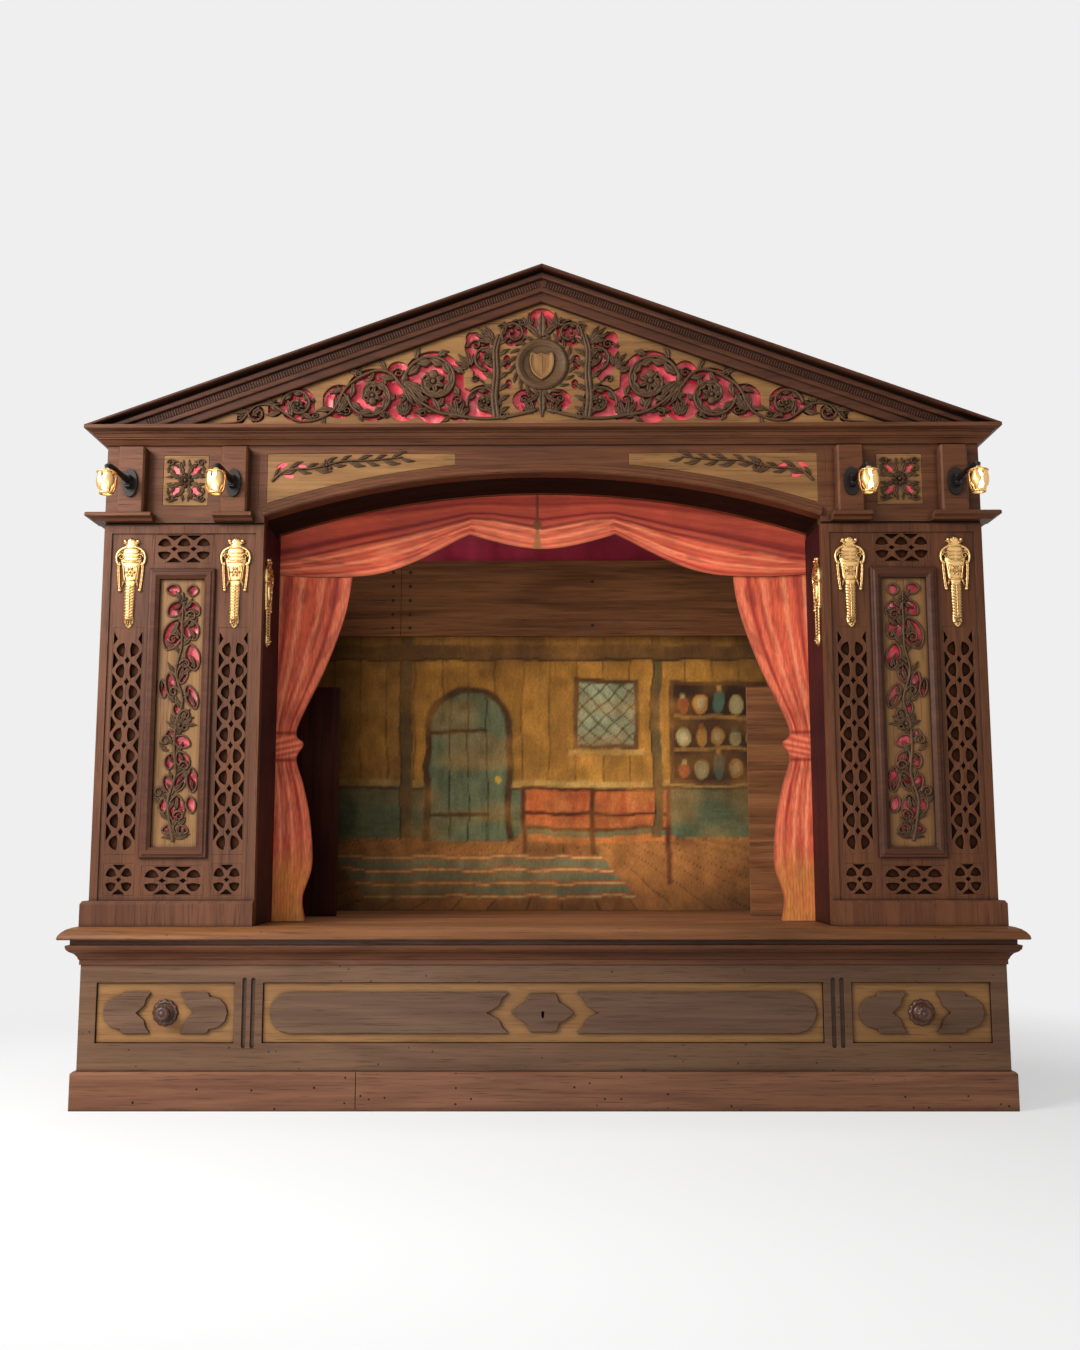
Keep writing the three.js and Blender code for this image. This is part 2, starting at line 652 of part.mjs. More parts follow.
// A scroll that winds in from the rim of its circle to a bud; all but the turns in shares.
const scrollTurns = 1.2;
const scrollInShare = 0.74;
const scrollTaperShare = 0.45;
const budShare = 0.17;
const budSides = 6;
function scroll(x, z, radius, start, hand, width, steps) {
  const points = Array.from({ length: steps + 1 }, (_, i) => {
    const t = i / steps;
    const angle = start + hand * scrollTurns * 2 * Math.PI * t;
    const r = radius * (1 - scrollInShare * t);
    return [x + r * Math.cos(angle), z + r * Math.sin(angle)];
  });
  const bud = disc(...points[steps], budShare * radius, budShare * radius, 0, budSides);
  return [band(points, (t) => width * (1 - scrollTaperShare * t), steps), bud];
}

// A pointed leaf from its stalk along a direction: share of its length, share of its half width.
const leafShares = [[0, 0.16], [0.4, 1], [1, 0]];
function leaf(x, z, angle, length, width) {
  const half = leafShares.map(([s, t]) => [s * length, (t * width) / 2]);
  const pairs = [...half, ...half.slice(0, -1).reverse().map(([u, v]) => [u, -v])];
  const stalk = new THREE.Vector2(x, z);
  return new THREE.Shape(pairs.map(([u, v]) =>
    new THREE.Vector2(u, v).rotateAround(new THREE.Vector2(), angle).add(stalk)));
}

// Leaves set round the rim of a scroll, pointing in with its turn; sizes in shares of its radius.
const rimLeaf = { firstTurn: 0.3, lean: 0.75, lengthShare: 0.62, widthShare: 0.3 };
function rimLeaves(x, z, radius, start, hand, count) {
  return Array.from({ length: count }, (_, i) => {
    const angle = start + hand * (rimLeaf.firstTurn + i / count) * 2 * Math.PI;
    const rim = [x + radius * Math.cos(angle), z + radius * Math.sin(angle)];
    const lean = angle + Math.PI - hand * rimLeaf.lean;
    return leaf(...rim, lean, rimLeaf.lengthShare * radius, rimLeaf.widthShare * radius);
  });
}

// The board with its openings, less every stroke that crosses them.
function fretted(board, openings, strokes, face, back, deep = back + overrun) {
  const union = (shapes, y1) => shapes.map((shape) => toSolid(slab(shape, face - overrun, y1)))
    .reduce((a, b) => a.add(b));
  const holes = union(openings, deep).subtract(union(strokes, back));
  return fromSolid(toSolid(board).subtract(holes));
}

// A sheet of silk behind a fret, in shallow upright pleats.
function silkSheet(x0, x1, z0, z1, y) {
  const steps = Math.max(2, Math.round((x1 - x0) / silkPitch)) * 2;
  const wave = (i) => [x0 + ((x1 - x0) * i) / steps, y + (i % 2 ? silkWave : -silkWave)];
  const front = Array.from({ length: steps + 1 }, (_, i) => wave(i));
  const rear = front.map(([x, h]) => [x, h + silkThickness]).reverse();
  const g = new THREE.ExtrudeGeometry(outline([...front, ...rear]), { depth: z1 - z0, bevelEnabled: false });
  return g.translate(0, 0, z0);
}

// The tall fret of a pilaster. Openings: share of its height; then half width and half height in
// shares of its width. A stem sways from side to side past them with two leaves at each.
const openingShares = [[0.07, 0.2, 0.2], [0.17, 0.26, 0.42], [0.31, 0.2, 0.34], [0.42, 0.3, 0.4],
  [0.56, 0.28, 0.46], [0.7, 0.24, 0.44], [0.83, 0.3, 0.4], [0.93, 0.16, 0.24]];
const stemFoliage = {
  swayShare: 0.07, widthShare: 0.09, leafShare: 0.5, leafWidthShare: 0.17, backShare: 0.05,
};
const leafLifts = [0.95, 0.35];
const leafLiftStep = 0.3;
const fieldFace = fieldSunk + fretSunk;
{
  const w = sightWindow;
  const height = w.z1 - w.z0;
  const back = fieldFace + fretThickness;
  const board = slab(outline(cornersOf(w, fretFit)), fieldFace, back);
  const f = stemFoliage;
  const sway = openingShares.map(([s], i) =>
    [pilasterX + (i % 2 ? 1 : -1) * f.swayShare * sight.width, w.z0 + s * height]);
  const openings = openingShares.map(([, a, b], i) =>
    disc(...sway[i], a * sight.width, b * sight.width, 0, 9));
  const ends = [0.02, 0.98].map((s) => [pilasterX, w.z0 + s * height]);
  const stem = band([ends[0], ...sway, ends[1]], () => f.widthShare * sight.width, 16);
  const leaves = sway.flatMap(([x, z], i) => [-1, 1].map((side) => {
    const lift = leafLifts[i % 2] + (side + 1) / 2 * leafLiftStep;
    return leaf(x, z - f.backShare * height, Math.PI / 2 - side * lift, f.leafShare * sight.width,
      f.leafWidthShare * sight.width);
  }));
  const fret = fretted(board, openings, [stem, ...leaves], fieldFace, back);
  pair('fret_panel', paleWood, fret);
  pair('panel_silk', silk, silkSheet(w.x0 + overrun, w.x1 - overrun, w.z0 + overrun, w.z1 - overrun,
    back + seat + silkWave));
}

// Frieze: an arched header between two ends, with sunk frets, lamp blocks and a cornice

const headerThickness = 34;
const headerLap = 14;        // how far the header runs over each pilaster
const archSpring = 13;       // height of the springing over the pilasters
const archCrown = 110;
const archMouldingWidth = 19;
const archMouldingProud = 9;
const archSteps = 16;
const soffitThickness = 8;
const pocketDepth = 14;      // from the frieze's frets into the wood behind them
const archRise = archCrown - archSpring;
const archRadius = (stageHalf ** 2 + archRise ** 2) / (2 * archRise);
const archCentreZ = friezeZ + archCrown - archRadius;

// Points along the arch from one side to the other, at a radius.
function archPoints(x0, x1, radius, steps = archSteps) {
  return Array.from({ length: steps + 1 }, (_, i) => {
    const x = x0 + ((x1 - x0) * i) / steps;
    return [x, archCentreZ + Math.sqrt(radius ** 2 - x ** 2)];
  });
}

// The height of the roof's underside over a place.
const roofUnder = (x) => gableZ + (gableHalf - Math.abs(x)) * gableSlope - roofDrop;

const headerHalf = stageHalf + headerLap;
const spandrel = { inset: 4, inner: 190, top: 155, margin: 8 };
const squareFret = { width: 100, up: 38, height: 114 };
const squareWindow = windowOf(squareFret, pilasterX, friezeZ);
const spandrelTop = friezeZ + spandrel.top;
const spandrelOuter = stageHalf - spandrel.inset;

// The outline of the sunk panel over the right of the arch, or of the fret in it.
function spandrelOutline(play) {
  const radius = archRadius + archMouldingWidth + spandrel.margin + play;
  const x0 = spandrel.inner + play;
  const x1 = spandrelOuter - play;
  const top = spandrelTop - play;
  return outline([...archPoints(x0, x1, radius, 6), [x1, top], [x0, top]]);
}

const frieze = { bottom: friezeZ + seat, back: facadeDepth - caseBoard - seat };
const archOpening = [[-stageHalf, frieze.bottom], ...archPoints(-stageHalf, stageHalf, archRadius),
  [stageHalf, frieze.bottom]];

// The header with its arch moulding and a leafy spray in each spandrel
const spray = { inset: 46, drop: 40, length: 250, rise: 20, stem: 9, leaf: 44, leafWidth: 17 };
// The spray's stem from its root: share of its length, share of its rise.
const sprayStemShares = [[-0.06, -1.4], [0.24, 0.2], [0.6, 0.7], [1, 1]];
// Its leaves: share of its length, and the side of the stem.
const sprayLeafShares = [[0.04, 1], [0.22, -1], [0.4, 1], [0.58, -1], [0.76, 1], [0.9, -1]];
const sprayLean = 0.7;
// Pierced ovals at its root: shares of its leaf's length.
const sprayHoleShares = [[-0.1, -0.18, 0.55, 0.38], [1.05, 0.05, 0.46, 0.25]];
const flip = (shape) => new THREE.Shape(shape.getPoints().map((v) => new THREE.Vector2(-v.x, v.y)));
const both = (shapes) => [...shapes, ...shapes.map(flip)];
{
  const outer = outline([[-headerHalf, frieze.bottom], ...archOpening, [headerHalf, frieze.bottom],
    [headerHalf, gableZ], [-headerHalf, gableZ]]);
  const field = spandrelOutline(0);
  const sunk = slab(field, -overrun, fretSunk);
  const header = cut(slab(outer, 0, headerThickness), sunk, mirrored(sunk));

  const x0 = spandrelOuter - spray.inset;
  const z0 = spandrelTop - spray.drop;
  const stem = band(sprayStemShares.map(([s, t]) => [x0 - s * spray.length, z0 + t * spray.rise]),
    (t) => spray.stem * (1 - 0.6 * t), 8);
  const leaves = sprayLeafShares.map(([t, side]) => {
    const size = 1 - 0.4 * t;
    return leaf(x0 - t * spray.length, z0 + t * spray.rise, Math.PI - side * sprayLean, size * spray.leaf,
      size * spray.leafWidth);
  });
  const holes = sprayHoleShares.map(([s, t, a, b]) =>
    disc(x0 - s * spray.leaf, z0 + t * spray.leaf, a * spray.leaf, b * spray.leaf, 0, 10));
  const carved = fretted(header, both(holes), both([stem, ...leaves]), fretSunk, fretSunk + fretThickness,
    fretSunk + pocketDepth);

  // Share of the band's width, share of how far it stands out
  const archShares = [[0, 0], [0, 0.6], [0.2, 1], [0.5, 1], [0.66, 0.62], [1, 0.4], [1, 0]];
  const profile = archShares.map(([s, f]) => [s * archMouldingWidth, f ? -f * archMouldingProud : bite]);
  const path = archPoints(-stageHalf, stageHalf, archRadius).map(([x, z]) => at(x, 0, z));
  part('arch_header', wood, join(carved, moulding(profile, path, inward)));
}

// The ends of the frieze, each with a crossed cluster in a square, a return board and two lamp blocks
// on moulded ledges
const cluster = { holeShare: 0.34, tallShare: 1.16, leaves: 8, leafWidthShare: 0.46 };
const clusterLeafShares = [1.1, 1.3];
const blockSpread = 112;
const blockWidth = 58;
const blockTop = 163;        // height of a block's top over the pilasters
const blockProud = 30;
const blockBevel = 4;
// The ledges under the lamp blocks: the outer one runs round the corner, the inner one stops short.
const neck = { height: 17, proud: 34, outerReach: 109, innerStart: 22, innerEnd: 106, back: 60 };
const blockXs = [-1, 1].flatMap((side) => [-1, 1].map((s) => side * pilasterX + s * blockSpread));
// Share of how far the ledge stands out, share of its height
const neckShares = [[0, 0], [0.55, 0], [0.7, 0.32], [0.86, 0.42], [1, 0.5], [1, 0.84], [0.94, 1], [0, 1]];
{
  const w = squareWindow;
  const face = cut(box(headerHalf + seat, outerHalf, 0, headerThickness, frieze.bottom, gableZ),
    box(w.x0, w.x1, -overrun, fretSunk, w.z0, w.z1));
  const z = (w.z0 + w.z1) / 2;
  const r = cluster.holeShare * squareFret.width;
  const crossed = Array.from({ length: cluster.leaves }, (_, i) => {
    const turn = ((i + 0.5) * 2 * Math.PI) / cluster.leaves;
    return leaf(pilasterX, z, turn, clusterLeafShares[i % 2] * r, cluster.leafWidthShare * r);
  });
  const hole = disc(pilasterX, z, r, cluster.tallShare * r, 0, 14);
  const carved = fretted(face, [hole], crossed, fretSunk, fretSunk + fretThickness, fretSunk + pocketDepth);
  const side = box(outerHalf - caseBoard, outerHalf, headerThickness - bite, frieze.back,
    frieze.bottom, gableZ);

  const half = blockWidth / 2;
  const front = -blockProud;
  const plan = [[-half, bite], [-half, front + blockBevel], [blockBevel - half, front],
    [half - blockBevel, front], [half, front + blockBevel], [half, bite]];
  const depth = blockTop - neck.height + bite;
  const block = new THREE.ExtrudeGeometry(outline(plan), { depth, bevelEnabled: false });
  const blocks = [-1, 1].map((s) =>
    block.clone().translate(pilasterX + s * blockSpread, 0, friezeZ + blockTop - depth));

  const profile = scaled(neckShares, neck.proud, neck.height);
  const backed = profile.map(([out, along]) => [out || -bite, along]);
  const ledges = [
    moulding(backed, [outerHalf - neck.outerReach, outerHalf].map((x) => at(x, 0, frieze.bottom))
      .concat(at(outerHalf, neck.back, frieze.bottom)), up),
    moulding(backed, [neck.innerStart, neck.innerEnd].map((x) => at(stageHalf + x, 0, frieze.bottom)), up),
  ];
  pair('frieze_end', wood, join(carved, side, ...blocks, ...ledges));
}

// Cornice: share of its reach, share of its height
const corniceShares = [[0, 0], [0.12, 0], [0.18, 0.08], [0.34, 0.26], [0.44, 0.3], [0.44, 0.36], [0.5, 0.38],
  [0.6, 0.56], [0.7, 0.6], [0.7, 0.66], [0.82, 0.7], [0.96, 0.76], [1, 0.8], [1, 1], [0, 1]];
{
  const profile = scaled(corniceShares, corniceStep - seat, corniceHeight);
  part('cornice', wood, moulding(profile, threeSides(outerHalf + seat, -seat, facadeDepth, corniceZ), up));
}

// Gable: raking cornices, the shell behind them, the fretted tympanum and its medallion

// Share of the moulding's height square to the slope, share of how far it stands out
const rakingShares = [[0, 0], [0, 1], [0.15, 1], [0.18, 0.84], [0.25, 0.8], [0.27, 0.66], [0.44, 0.6],
  [0.46, 0.48], [0.54, 0.44], [0.62, 0.34], [0.65, 0.22], [0.97, 0.18], [1, 0.08], [1, 0]];
{
  const ridge = at(0, 0, gableZ + gableRise);
  const eaves = at(gableHalf, 0, gableZ);
  const past = eaves.clone().sub(ridge).setLength(2 * rakingHeight);
  const right = eaves.clone().add(past);
  const slopes = [right.clone().setX(-right.x), ridge, right];
  const below = box(-right.x, right.x, -standDepth, standDepth, -overrun, gableZ + seat);
  const profile = rakingShares.map(([s, f]) => [-s * rakingHeight, -f * corniceStep]);
  part('raking_cornices', wood, cut(moulding(profile, slopes, inward), below));

  // The shell: roof boards, a rear gable under them and the lining of the arch
  const roofProfile = rectangle(-roofThickness, 0, seat, facadeDepth).reverse();
  const roof = cut(moulding(roofProfile, slopes, inward), below);
  const rear = outline([[-outerHalf, frieze.bottom], ...archOpening, [outerHalf, frieze.bottom],
    ...[outerHalf, 0, -outerHalf].map((x) => [x, roofUnder(x) + bite])]);
  const liningHalf = stageHalf + soffitThickness;
  const over = archPoints(-liningHalf, liningHalf, archRadius + soffitThickness);
  const lining = outline([...archOpening, [liningHalf, frieze.bottom], ...over.reverse(),
    [-liningHalf, frieze.bottom]]);
  part('gable_shell', plank, join(roof, slab(rear, facadeDepth - caseBoard, facadeDepth),
    slab(lining, headerThickness + seat, facadeDepth - caseBoard + bite)));
}

const tympanumThickness = 12;
const medallionUp = 148;
const ring = { outer: 59, inner: 44, proud: 6 };
const ringSides = 16;
const medallionZ = gableZ + medallionUp;
// Scrolls of the right half, the outermost first: share of the gable's half width, share of its
// rise, radius as a share of the rise.
const scrollShares = [[0.632, 0.098, 0.05], [0.541, 0.155, 0.1], [0.376, 0.212, 0.15], [0.241, 0.3, 0.18],
  [0.122, 0.45, 0.085], [0.128, 0.17, 0.105], [0.062, 0.6, 0.08]];
// For each scroll: the angle it starts at, the way it winds, its leaves.
const scrollWinds = [[2.6, -1, 2], [2.9, 1, 3], [3.3, -1, 4], [2.8, 1, 4], [0.6, 1, 3], [2.2, -1, 3],
  [4.4, 1, 2]];
const scrollStem = { share: 0.2, least: 2.5 };
const scrollSteps = 6;
const scrollSides = 8;
const linkedScrolls = 3;     // how many scrolls, from the outermost, have a stem to the next one in
// The tail beyond the outermost scroll, in shares of its radius from its middle.
const tailShares = [[0, -1], [2, -1.3], [3.4, -1.1]];
// The lobe below the medallion and the leaves above and below it, in shares of the ring's radius.
const throatShares = { x: 0.42, down: 1.46, a: 0.4, b: 0.38 };
const crestShares = { up: 1.25, down: 1.5, width: 0.58 };
{
  const bottom = gableZ + seat;
  const face = seat;
  const back = face + tympanumThickness;
  const half = gableHalf - (roofDrop + seat) / gableSlope;
  const board = slab(outline([[-half, bottom], [half, bottom], [0, roofUnder(0)]]), face, back);
  const scrolls = scrollShares.map(([s, t, r], i) => {
    const [start, hand, leaves] = scrollWinds[i];
    return { x: s * gableHalf, z: gableZ + t * gableRise, r: r * gableRise, start, hand, leaves };
  });
  const stemWidth = (r) => scrollStem.share * r + scrollStem.least;
  const strokes = scrolls.flatMap((s) => [
    ...scroll(s.x, s.z, s.r, s.start, s.hand, stemWidth(s.r), scrollSteps),
    ...rimLeaves(s.x, s.z, s.r, s.start, s.hand, s.leaves),
  ]);
  for (let i = 0; i < linkedScrolls; i++) {
    const [a, b] = scrolls.slice(i, i + 2);
    const lift = i % 2 ? 1 : -1;
    const middle = [(a.x + b.x) / 2 + 0.2 * (b.r - a.r), (a.z + b.z) / 2];
    strokes.push(band([[a.x + 0.4 * a.r, a.z + lift * a.r], middle, [b.x - 0.2 * b.r, b.z - lift * b.r]],
      () => stemWidth(a.r), 6));
  }
  const [last] = scrolls;
  strokes.push(band(tailShares.map(([s, t]) => [last.x + s * last.r, last.z + t * last.r]),
    (t) => stemWidth(last.r) * (1 - 0.8 * t), 5));

  const lobeZ = medallionZ - throatShares.down * ring.outer;
  const openings = scrolls.map((s) => disc(s.x, s.z, s.r, s.r, 0, scrollSides));
  const throat = [throatShares.a * ring.outer, throatShares.b * ring.outer];
  openings.push(disc(throatShares.x * ring.outer, lobeZ, ...throat, 0, 10));
  const ends = [
    ...[[1, crestShares.up], [-1, crestShares.down]].map(([way, reach]) =>
      leaf(0, medallionZ + way * ring.inner, (way * Math.PI) / 2, reach * ring.outer,
        crestShares.width * ring.outer)),
    disc(0, medallionZ, ring.outer, ring.outer, 0, ringSides),
  ];
  const fret = fretted(board, both(openings), [...both(strokes), ...ends], face, back);
  const eyehole = slab(disc(0, medallionZ, ring.inner, ring.inner, 0, ringSides), face - overrun,
    back + overrun);
  part('tympanum_board', paleWood, cut(fret, eyehole));

  // Silk behind the pierced part, cut to the slope
  const clothHalf = 0.68 * gableHalf;
  const clothTop = (x) => roofUnder(x) - overrun;
  const cloth = silkSheet(-clothHalf, clothHalf, bottom, clothTop(0), back + seat + silkWave);
  const clothField = outline([[-clothHalf, bottom], [clothHalf, bottom],
    ...[clothHalf, 0, -clothHalf].map((x) => [x, clothTop(x)])]);
  part('tympanum_silk', silk, common(cloth, slab(clothField, 0, back + tympanumThickness)));

  // One turned piece from the rear of the dish out to the ring: share of the ring's width out from its
  // inner edge, share of how far it stands out
  const ringShares = [[1, 0], [1, 0.4], [0.8, 0.8], [0.55, 1], [0.3, 0.7], [0, 0.5]];
  const ringFoot = back - face + seat;
  const plugRadius = ring.inner - 2 * fretFit;
  const dish = tympanumThickness - fretSunk;
  const profile = [[0, 0], [plugRadius, 0], [plugRadius, ringFoot],
    ...ringShares.map(([s, f]) => [ring.inner + s * (ring.outer - ring.inner), ringFoot + f * ring.proud]),
    [0.9 * ring.inner, dish], [0, dish]];
  const shieldShares = [[-0.62, 0.66], [-0.62, -0.1], [-0.44, -0.5], [0, -0.8], [0.44, -0.5], [0.62, -0.1],
    [0.62, 0.66]];
  const shield = slab(outline(scaled(shieldShares, ring.inner, ring.inner)), back - dish - 2 * fretSunk,
    back - dish + bite);
  part('medallion', wood, join(turnedForward(profile, ringSides).translate(0, back, 0), shield)
    .translate(0, 0, medallionZ));
}

// Lamps: a plate with a pin between two lugs, an arm that swings on it, a petalled cage and a bulb

const lampUp = 81;           // height of the arms over the pilasters
const plate = { halfWidth: 16, halfHeight: 31, thickness: 5 };
const pin = { radius: 3, reach: 12, lug: 3, lugWidth: 12 };
const arm = { eyeRadius: 6.5, eyeHeight: 20, play: 0.5, reach: 134, radius: 5.5, drop: 12 };
const cage = { radius: 22, height: 54, cap: 9, ribs: 5, rib: 2.4, ring: 4 };
const bulb = { radius: 12.5, height: 36 };
// The cap and the bulb: share of the radius, share of the height downwards
const capShares = [[0, 0], [0.26, 0], [0.4, 0.3], [0.95, 0.8], [1, 1], [0, 1]];
const bulbShares = [[0, 0], [0.52, 0], [0.56, 0.2], [0.9, 0.4], [1, 0.58], [0.84, 0.82], [0.5, 0.95], [0, 1]];
// One rib: share of the cage's radius, share of its height downwards, and where the rib's own width
// is taken off.
const ribShares = [[0.72, 0.1, 0], [0.94, 0.12, 0], [1, 0.5, 0], [0.8, 1, 0], [0.5, 1, 0], [1, 0.5, 1]];
// The arm's line from the eye outwards: share of its reach, share of its drop
const armShares = [[0.5, 0], [0.84, 0], [0.97, 0.3], [1, 1.1]];
{
  const z = friezeZ + lampUp;
  const plateY = -blockProud - seat;
  const pinY = plateY - plate.thickness - pin.reach;
  const lugGap = arm.eyeHeight / 2 + seat;
  const endY = pinY - arm.reach;
  const capZ = z - arm.drop;
  const upright = (profile, sides, y, zBase) => turnedUp(profile, sides).translate(0, y, zBase);
  const rod = (radius, z0, z1) => [[0, z0], [radius, z0], [radius, z1], [0, z1]];

  const lug = (z0) => box(-pin.lugWidth / 2, pin.lugWidth / 2, pinY - pin.lugWidth / 2,
    plateY - plate.thickness + bite, z0, z0 + pin.lug);
  const backPlate = slab(disc(0, z, plate.halfWidth, plate.halfHeight, 0, 16),
    plateY - plate.thickness, plateY);
  const pinBody = upright(rod(pin.radius, -lugGap - bite, lugGap + bite), coarse, pinY, z);
  const plateBody = join(backPlate, lug(z + lugGap), lug(z - lugGap - pin.lug), pinBody);

  const line = armShares.map(([s, t]) => at(0, pinY - s * arm.reach, z - t * arm.drop));
  const curve = new THREE.CatmullRomCurve3([at(0, pinY - arm.eyeRadius + bite, z), ...line]);
  const section = disc(0, 0, arm.radius, arm.radius, 0, 6);
  const tube = new THREE.ExtrudeGeometry(section, { steps: 6, extrudePath: curve, bevelEnabled: false });
  const eyeOuter = upright(rod(arm.eyeRadius, -arm.eyeHeight / 2, arm.eyeHeight / 2), coarse, pinY, z);
  const bore = upright(rod(pin.radius + arm.play, -arm.eyeHeight, arm.eyeHeight), coarse, pinY, z);
  const cap = upright(scaled(capShares, cage.radius, -cage.cap), coarse, endY, capZ);
  const rib = outline(ribShares.map(([s, t, inside]) =>
    [s * cage.radius - inside * cage.rib, capZ - t * cage.height]));
  const ribs = Array.from({ length: cage.ribs }, (_, i) =>
    slab(rib, -cage.rib / 2, cage.rib / 2).rotateZ((i * 2 * Math.PI) / cage.ribs).translate(0, endY, 0));
  const footProfile = rod(0.62 * cage.radius, 0, cage.ring);
  const footRing = upright(footProfile, coarse, endY, capZ - cage.height);
  const armBody = cut(join(tube, eyeOuter, cap, footRing, ...ribs), bore);
  const bulbTop = capZ - cage.cap - seat;
  const bulbBody = upright(scaled(bulbShares, bulb.radius, -bulb.height), coarse, endY, bulbTop);
  blockXs.forEach((x, i) => {
    part(`lamp_plate_${i + 1}`, iron, plateBody.clone().translate(x, 0, 0));
    part(`lamp_arm_${i + 1}`, iron, armBody.clone().translate(x, 0, 0));
    part(`lamp_bulb_${i + 1}`, bulbGlass, bulbBody.clone().translate(x, 0, 0));
  });
}

// Stage: painted flats, a plank border, the backdrop, side walls and the open back frame

const flatThickness = 8;
const flatLap = 34;          // how far the painted curtains run behind the pilasters
const valanceTop = 163;      // over the pilasters
const valanceReach = 82;     // how far its sides hang below the pilasters' tops
// Right half of the lower edge from the middle out, as curves: share of the flat's half width,
// share of the reach below the pilasters' tops. Two handles and an end for each curve.
const valanceShares = [
  [[0.06, 0.22], [0.14, 0.1], [0.262, -0.2]],
  [[0.36, 0.1], [0.5, 1], [0.69, 1]],
  [[0.78, 1.04], [0.88, 1.02], [1, 0.9]],
];
const valanceMidShare = 0.22;
// Inner edge of a curtain from its foot up: share of half the opening, share of the height
const curtainShares = [[0.88, 0], [0.89, 0.06], [0.858, 0.14], [0.868, 0.25], [0.895, 0.34], [0.925, 0.41],
  [0.9, 0.45], [0.925, 0.49], [0.82, 0.65], [0.75, 0.79], [0.725, 0.9], [0.72, 1]];
const curtainUp = 17;        // the curtains' tops over the pilasters
const valanceY = facadeDepth + seat;
const curtainY = valanceY + flatThickness + seat;
{
  const half = stageHalf + flatLap;
  const top = friezeZ + valanceTop;
  const curves = valanceShares.map((points) =>
    points.map(([s, t]) => new THREE.Vector2(s * half, friezeZ - t * valanceReach)));
  const rightEdge = new THREE.Path();
  rightEdge.moveTo(0, friezeZ - valanceMidShare * valanceReach);
  for (const [a, b, c] of curves) rightEdge.bezierCurveTo(a.x, a.y, b.x, b.y, c.x, c.y);
  const rightPoints = rightEdge.getPoints(6);
  const leftPoints = rightPoints.slice(1).map((v) => new THREE.Vector2(-v.x, v.y)).reverse();
  const corners = [new THREE.Vector2(half, top), new THREE.Vector2(-half, top)];
  part('valance', paintedCloth,
    slab(new THREE.Shape([...leftPoints, ...rightPoints, ...corners]), valanceY, valanceY + flatThickness));

  const z0 = stageZ + seat;
  const height = friezeZ + curtainUp - z0;
  const inner = curtainShares.map(([s, t]) => new THREE.Vector2(s * stageHalf, z0 + t * height));
  const leg = new THREE.Shape();
  leg.moveTo(half, z0);
  leg.lineTo(inner[0].x, inner[0].y);
  leg.splineThru(inner.slice(1));
  leg.lineTo(half, z0 + height);
  const curtain = slab(leg, curtainY, curtainY + flatThickness, 2);
  pair('curtain', paintedCloth, curtain);
}

const wallBoard = 16;
const wallInset = 8;
const wallHeight = 1058;
const wing = { inset: 109, y: 404, height: 553 };
const stageBorder = { fromBack: 100, thickness: 12, up: 718, height: 202, jointX: -377 };
const backdrop = { fromBack: 40, height: 868 };
const postWidth = 31;
const railHeight = 28;
const cloth = { pleats: 14, amplitude: 8, thickness: 3, drop: 300 };
{
  const z0 = stageZ + seat;
  const z1 = z0 + wallHeight;
  const wallX = outerHalf - wallInset - wallBoard;
  const inside = wallX - seat;
  const wall = box(wallX, wallX + wallBoard, valanceY, standDepth, z0, z1);
  const wingFlat = box(stageHalf - wing.inset, wallX + bite, wing.y, wing.y + flatThickness,
    z0, z0 + wing.height);
  pair('side_wall', plank, join(wall, wingFlat));

  const b = { ...stageBorder, y: standDepth - stageBorder.fromBack };
  const joint = box(b.jointX - jointWidth / 2, b.jointX + jointWidth / 2, b.y - overrun, b.y + jointDepth,
    stageZ, stageZ + b.up + b.height + overrun);
  part('stage_header', plank,
    cut(box(-inside, inside, b.y, b.y + b.thickness, stageZ + b.up, stageZ + b.up + b.height), joint));
  const backdropY = standDepth - backdrop.fromBack;
  const backdropRear = backdropY + flatThickness;
  part('backdrop', paintedScene, box(-inside, inside, backdropY, backdropRear, z0, z0 + backdrop.height));

  const postY = backdropRear + seat;
  const postX = inside - postWidth;
  const clothTop = z1 - railHeight - seat;
  part('rear_frame', wood, join(...bothSides(box(postX, inside, postY, standDepth, z0, z1)),
    box(-postX - bite, postX + bite, postY, standDepth, z1 - railHeight, z1)));
  const half = postX - seat;
  const steps = cloth.pleats * 2;
  const middle = (postY + standDepth - cloth.thickness) / 2;
  const front = Array.from({ length: steps + 1 }, (_, i) =>
    [-half + (2 * half * i) / steps, middle + (i % 2 ? 1 : -1) * cloth.amplitude]);
  const rear = front.map(([x, y]) => [x, y + cloth.thickness]).reverse();
  const section = outline([...front, ...rear]);
  const sheet = new THREE.ExtrudeGeometry(section, { depth: cloth.drop, bevelEnabled: false });
  part('rear_cloth', crimson, sheet.translate(0, 0, clothTop - cloth.drop));
}

export default theatre;
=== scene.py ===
"""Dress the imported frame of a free-standing puppet theatre.

Metres throughout, in the frame's own axes: X to the right along the front, Y from the
front into the stage, Z up from the floor.
"""

from __future__ import annotations

import logging
from dataclasses import dataclass, field, replace
from enum import Enum
from math import atan2, cos, pi, sin, tan
from typing import Any, Callable, Iterable, Mapping, Sequence

import bmesh
import bpy
import numpy as np
from bpy.types import Material, Node, NodeTree, Object, Scene
from mathutils import Matrix, Vector

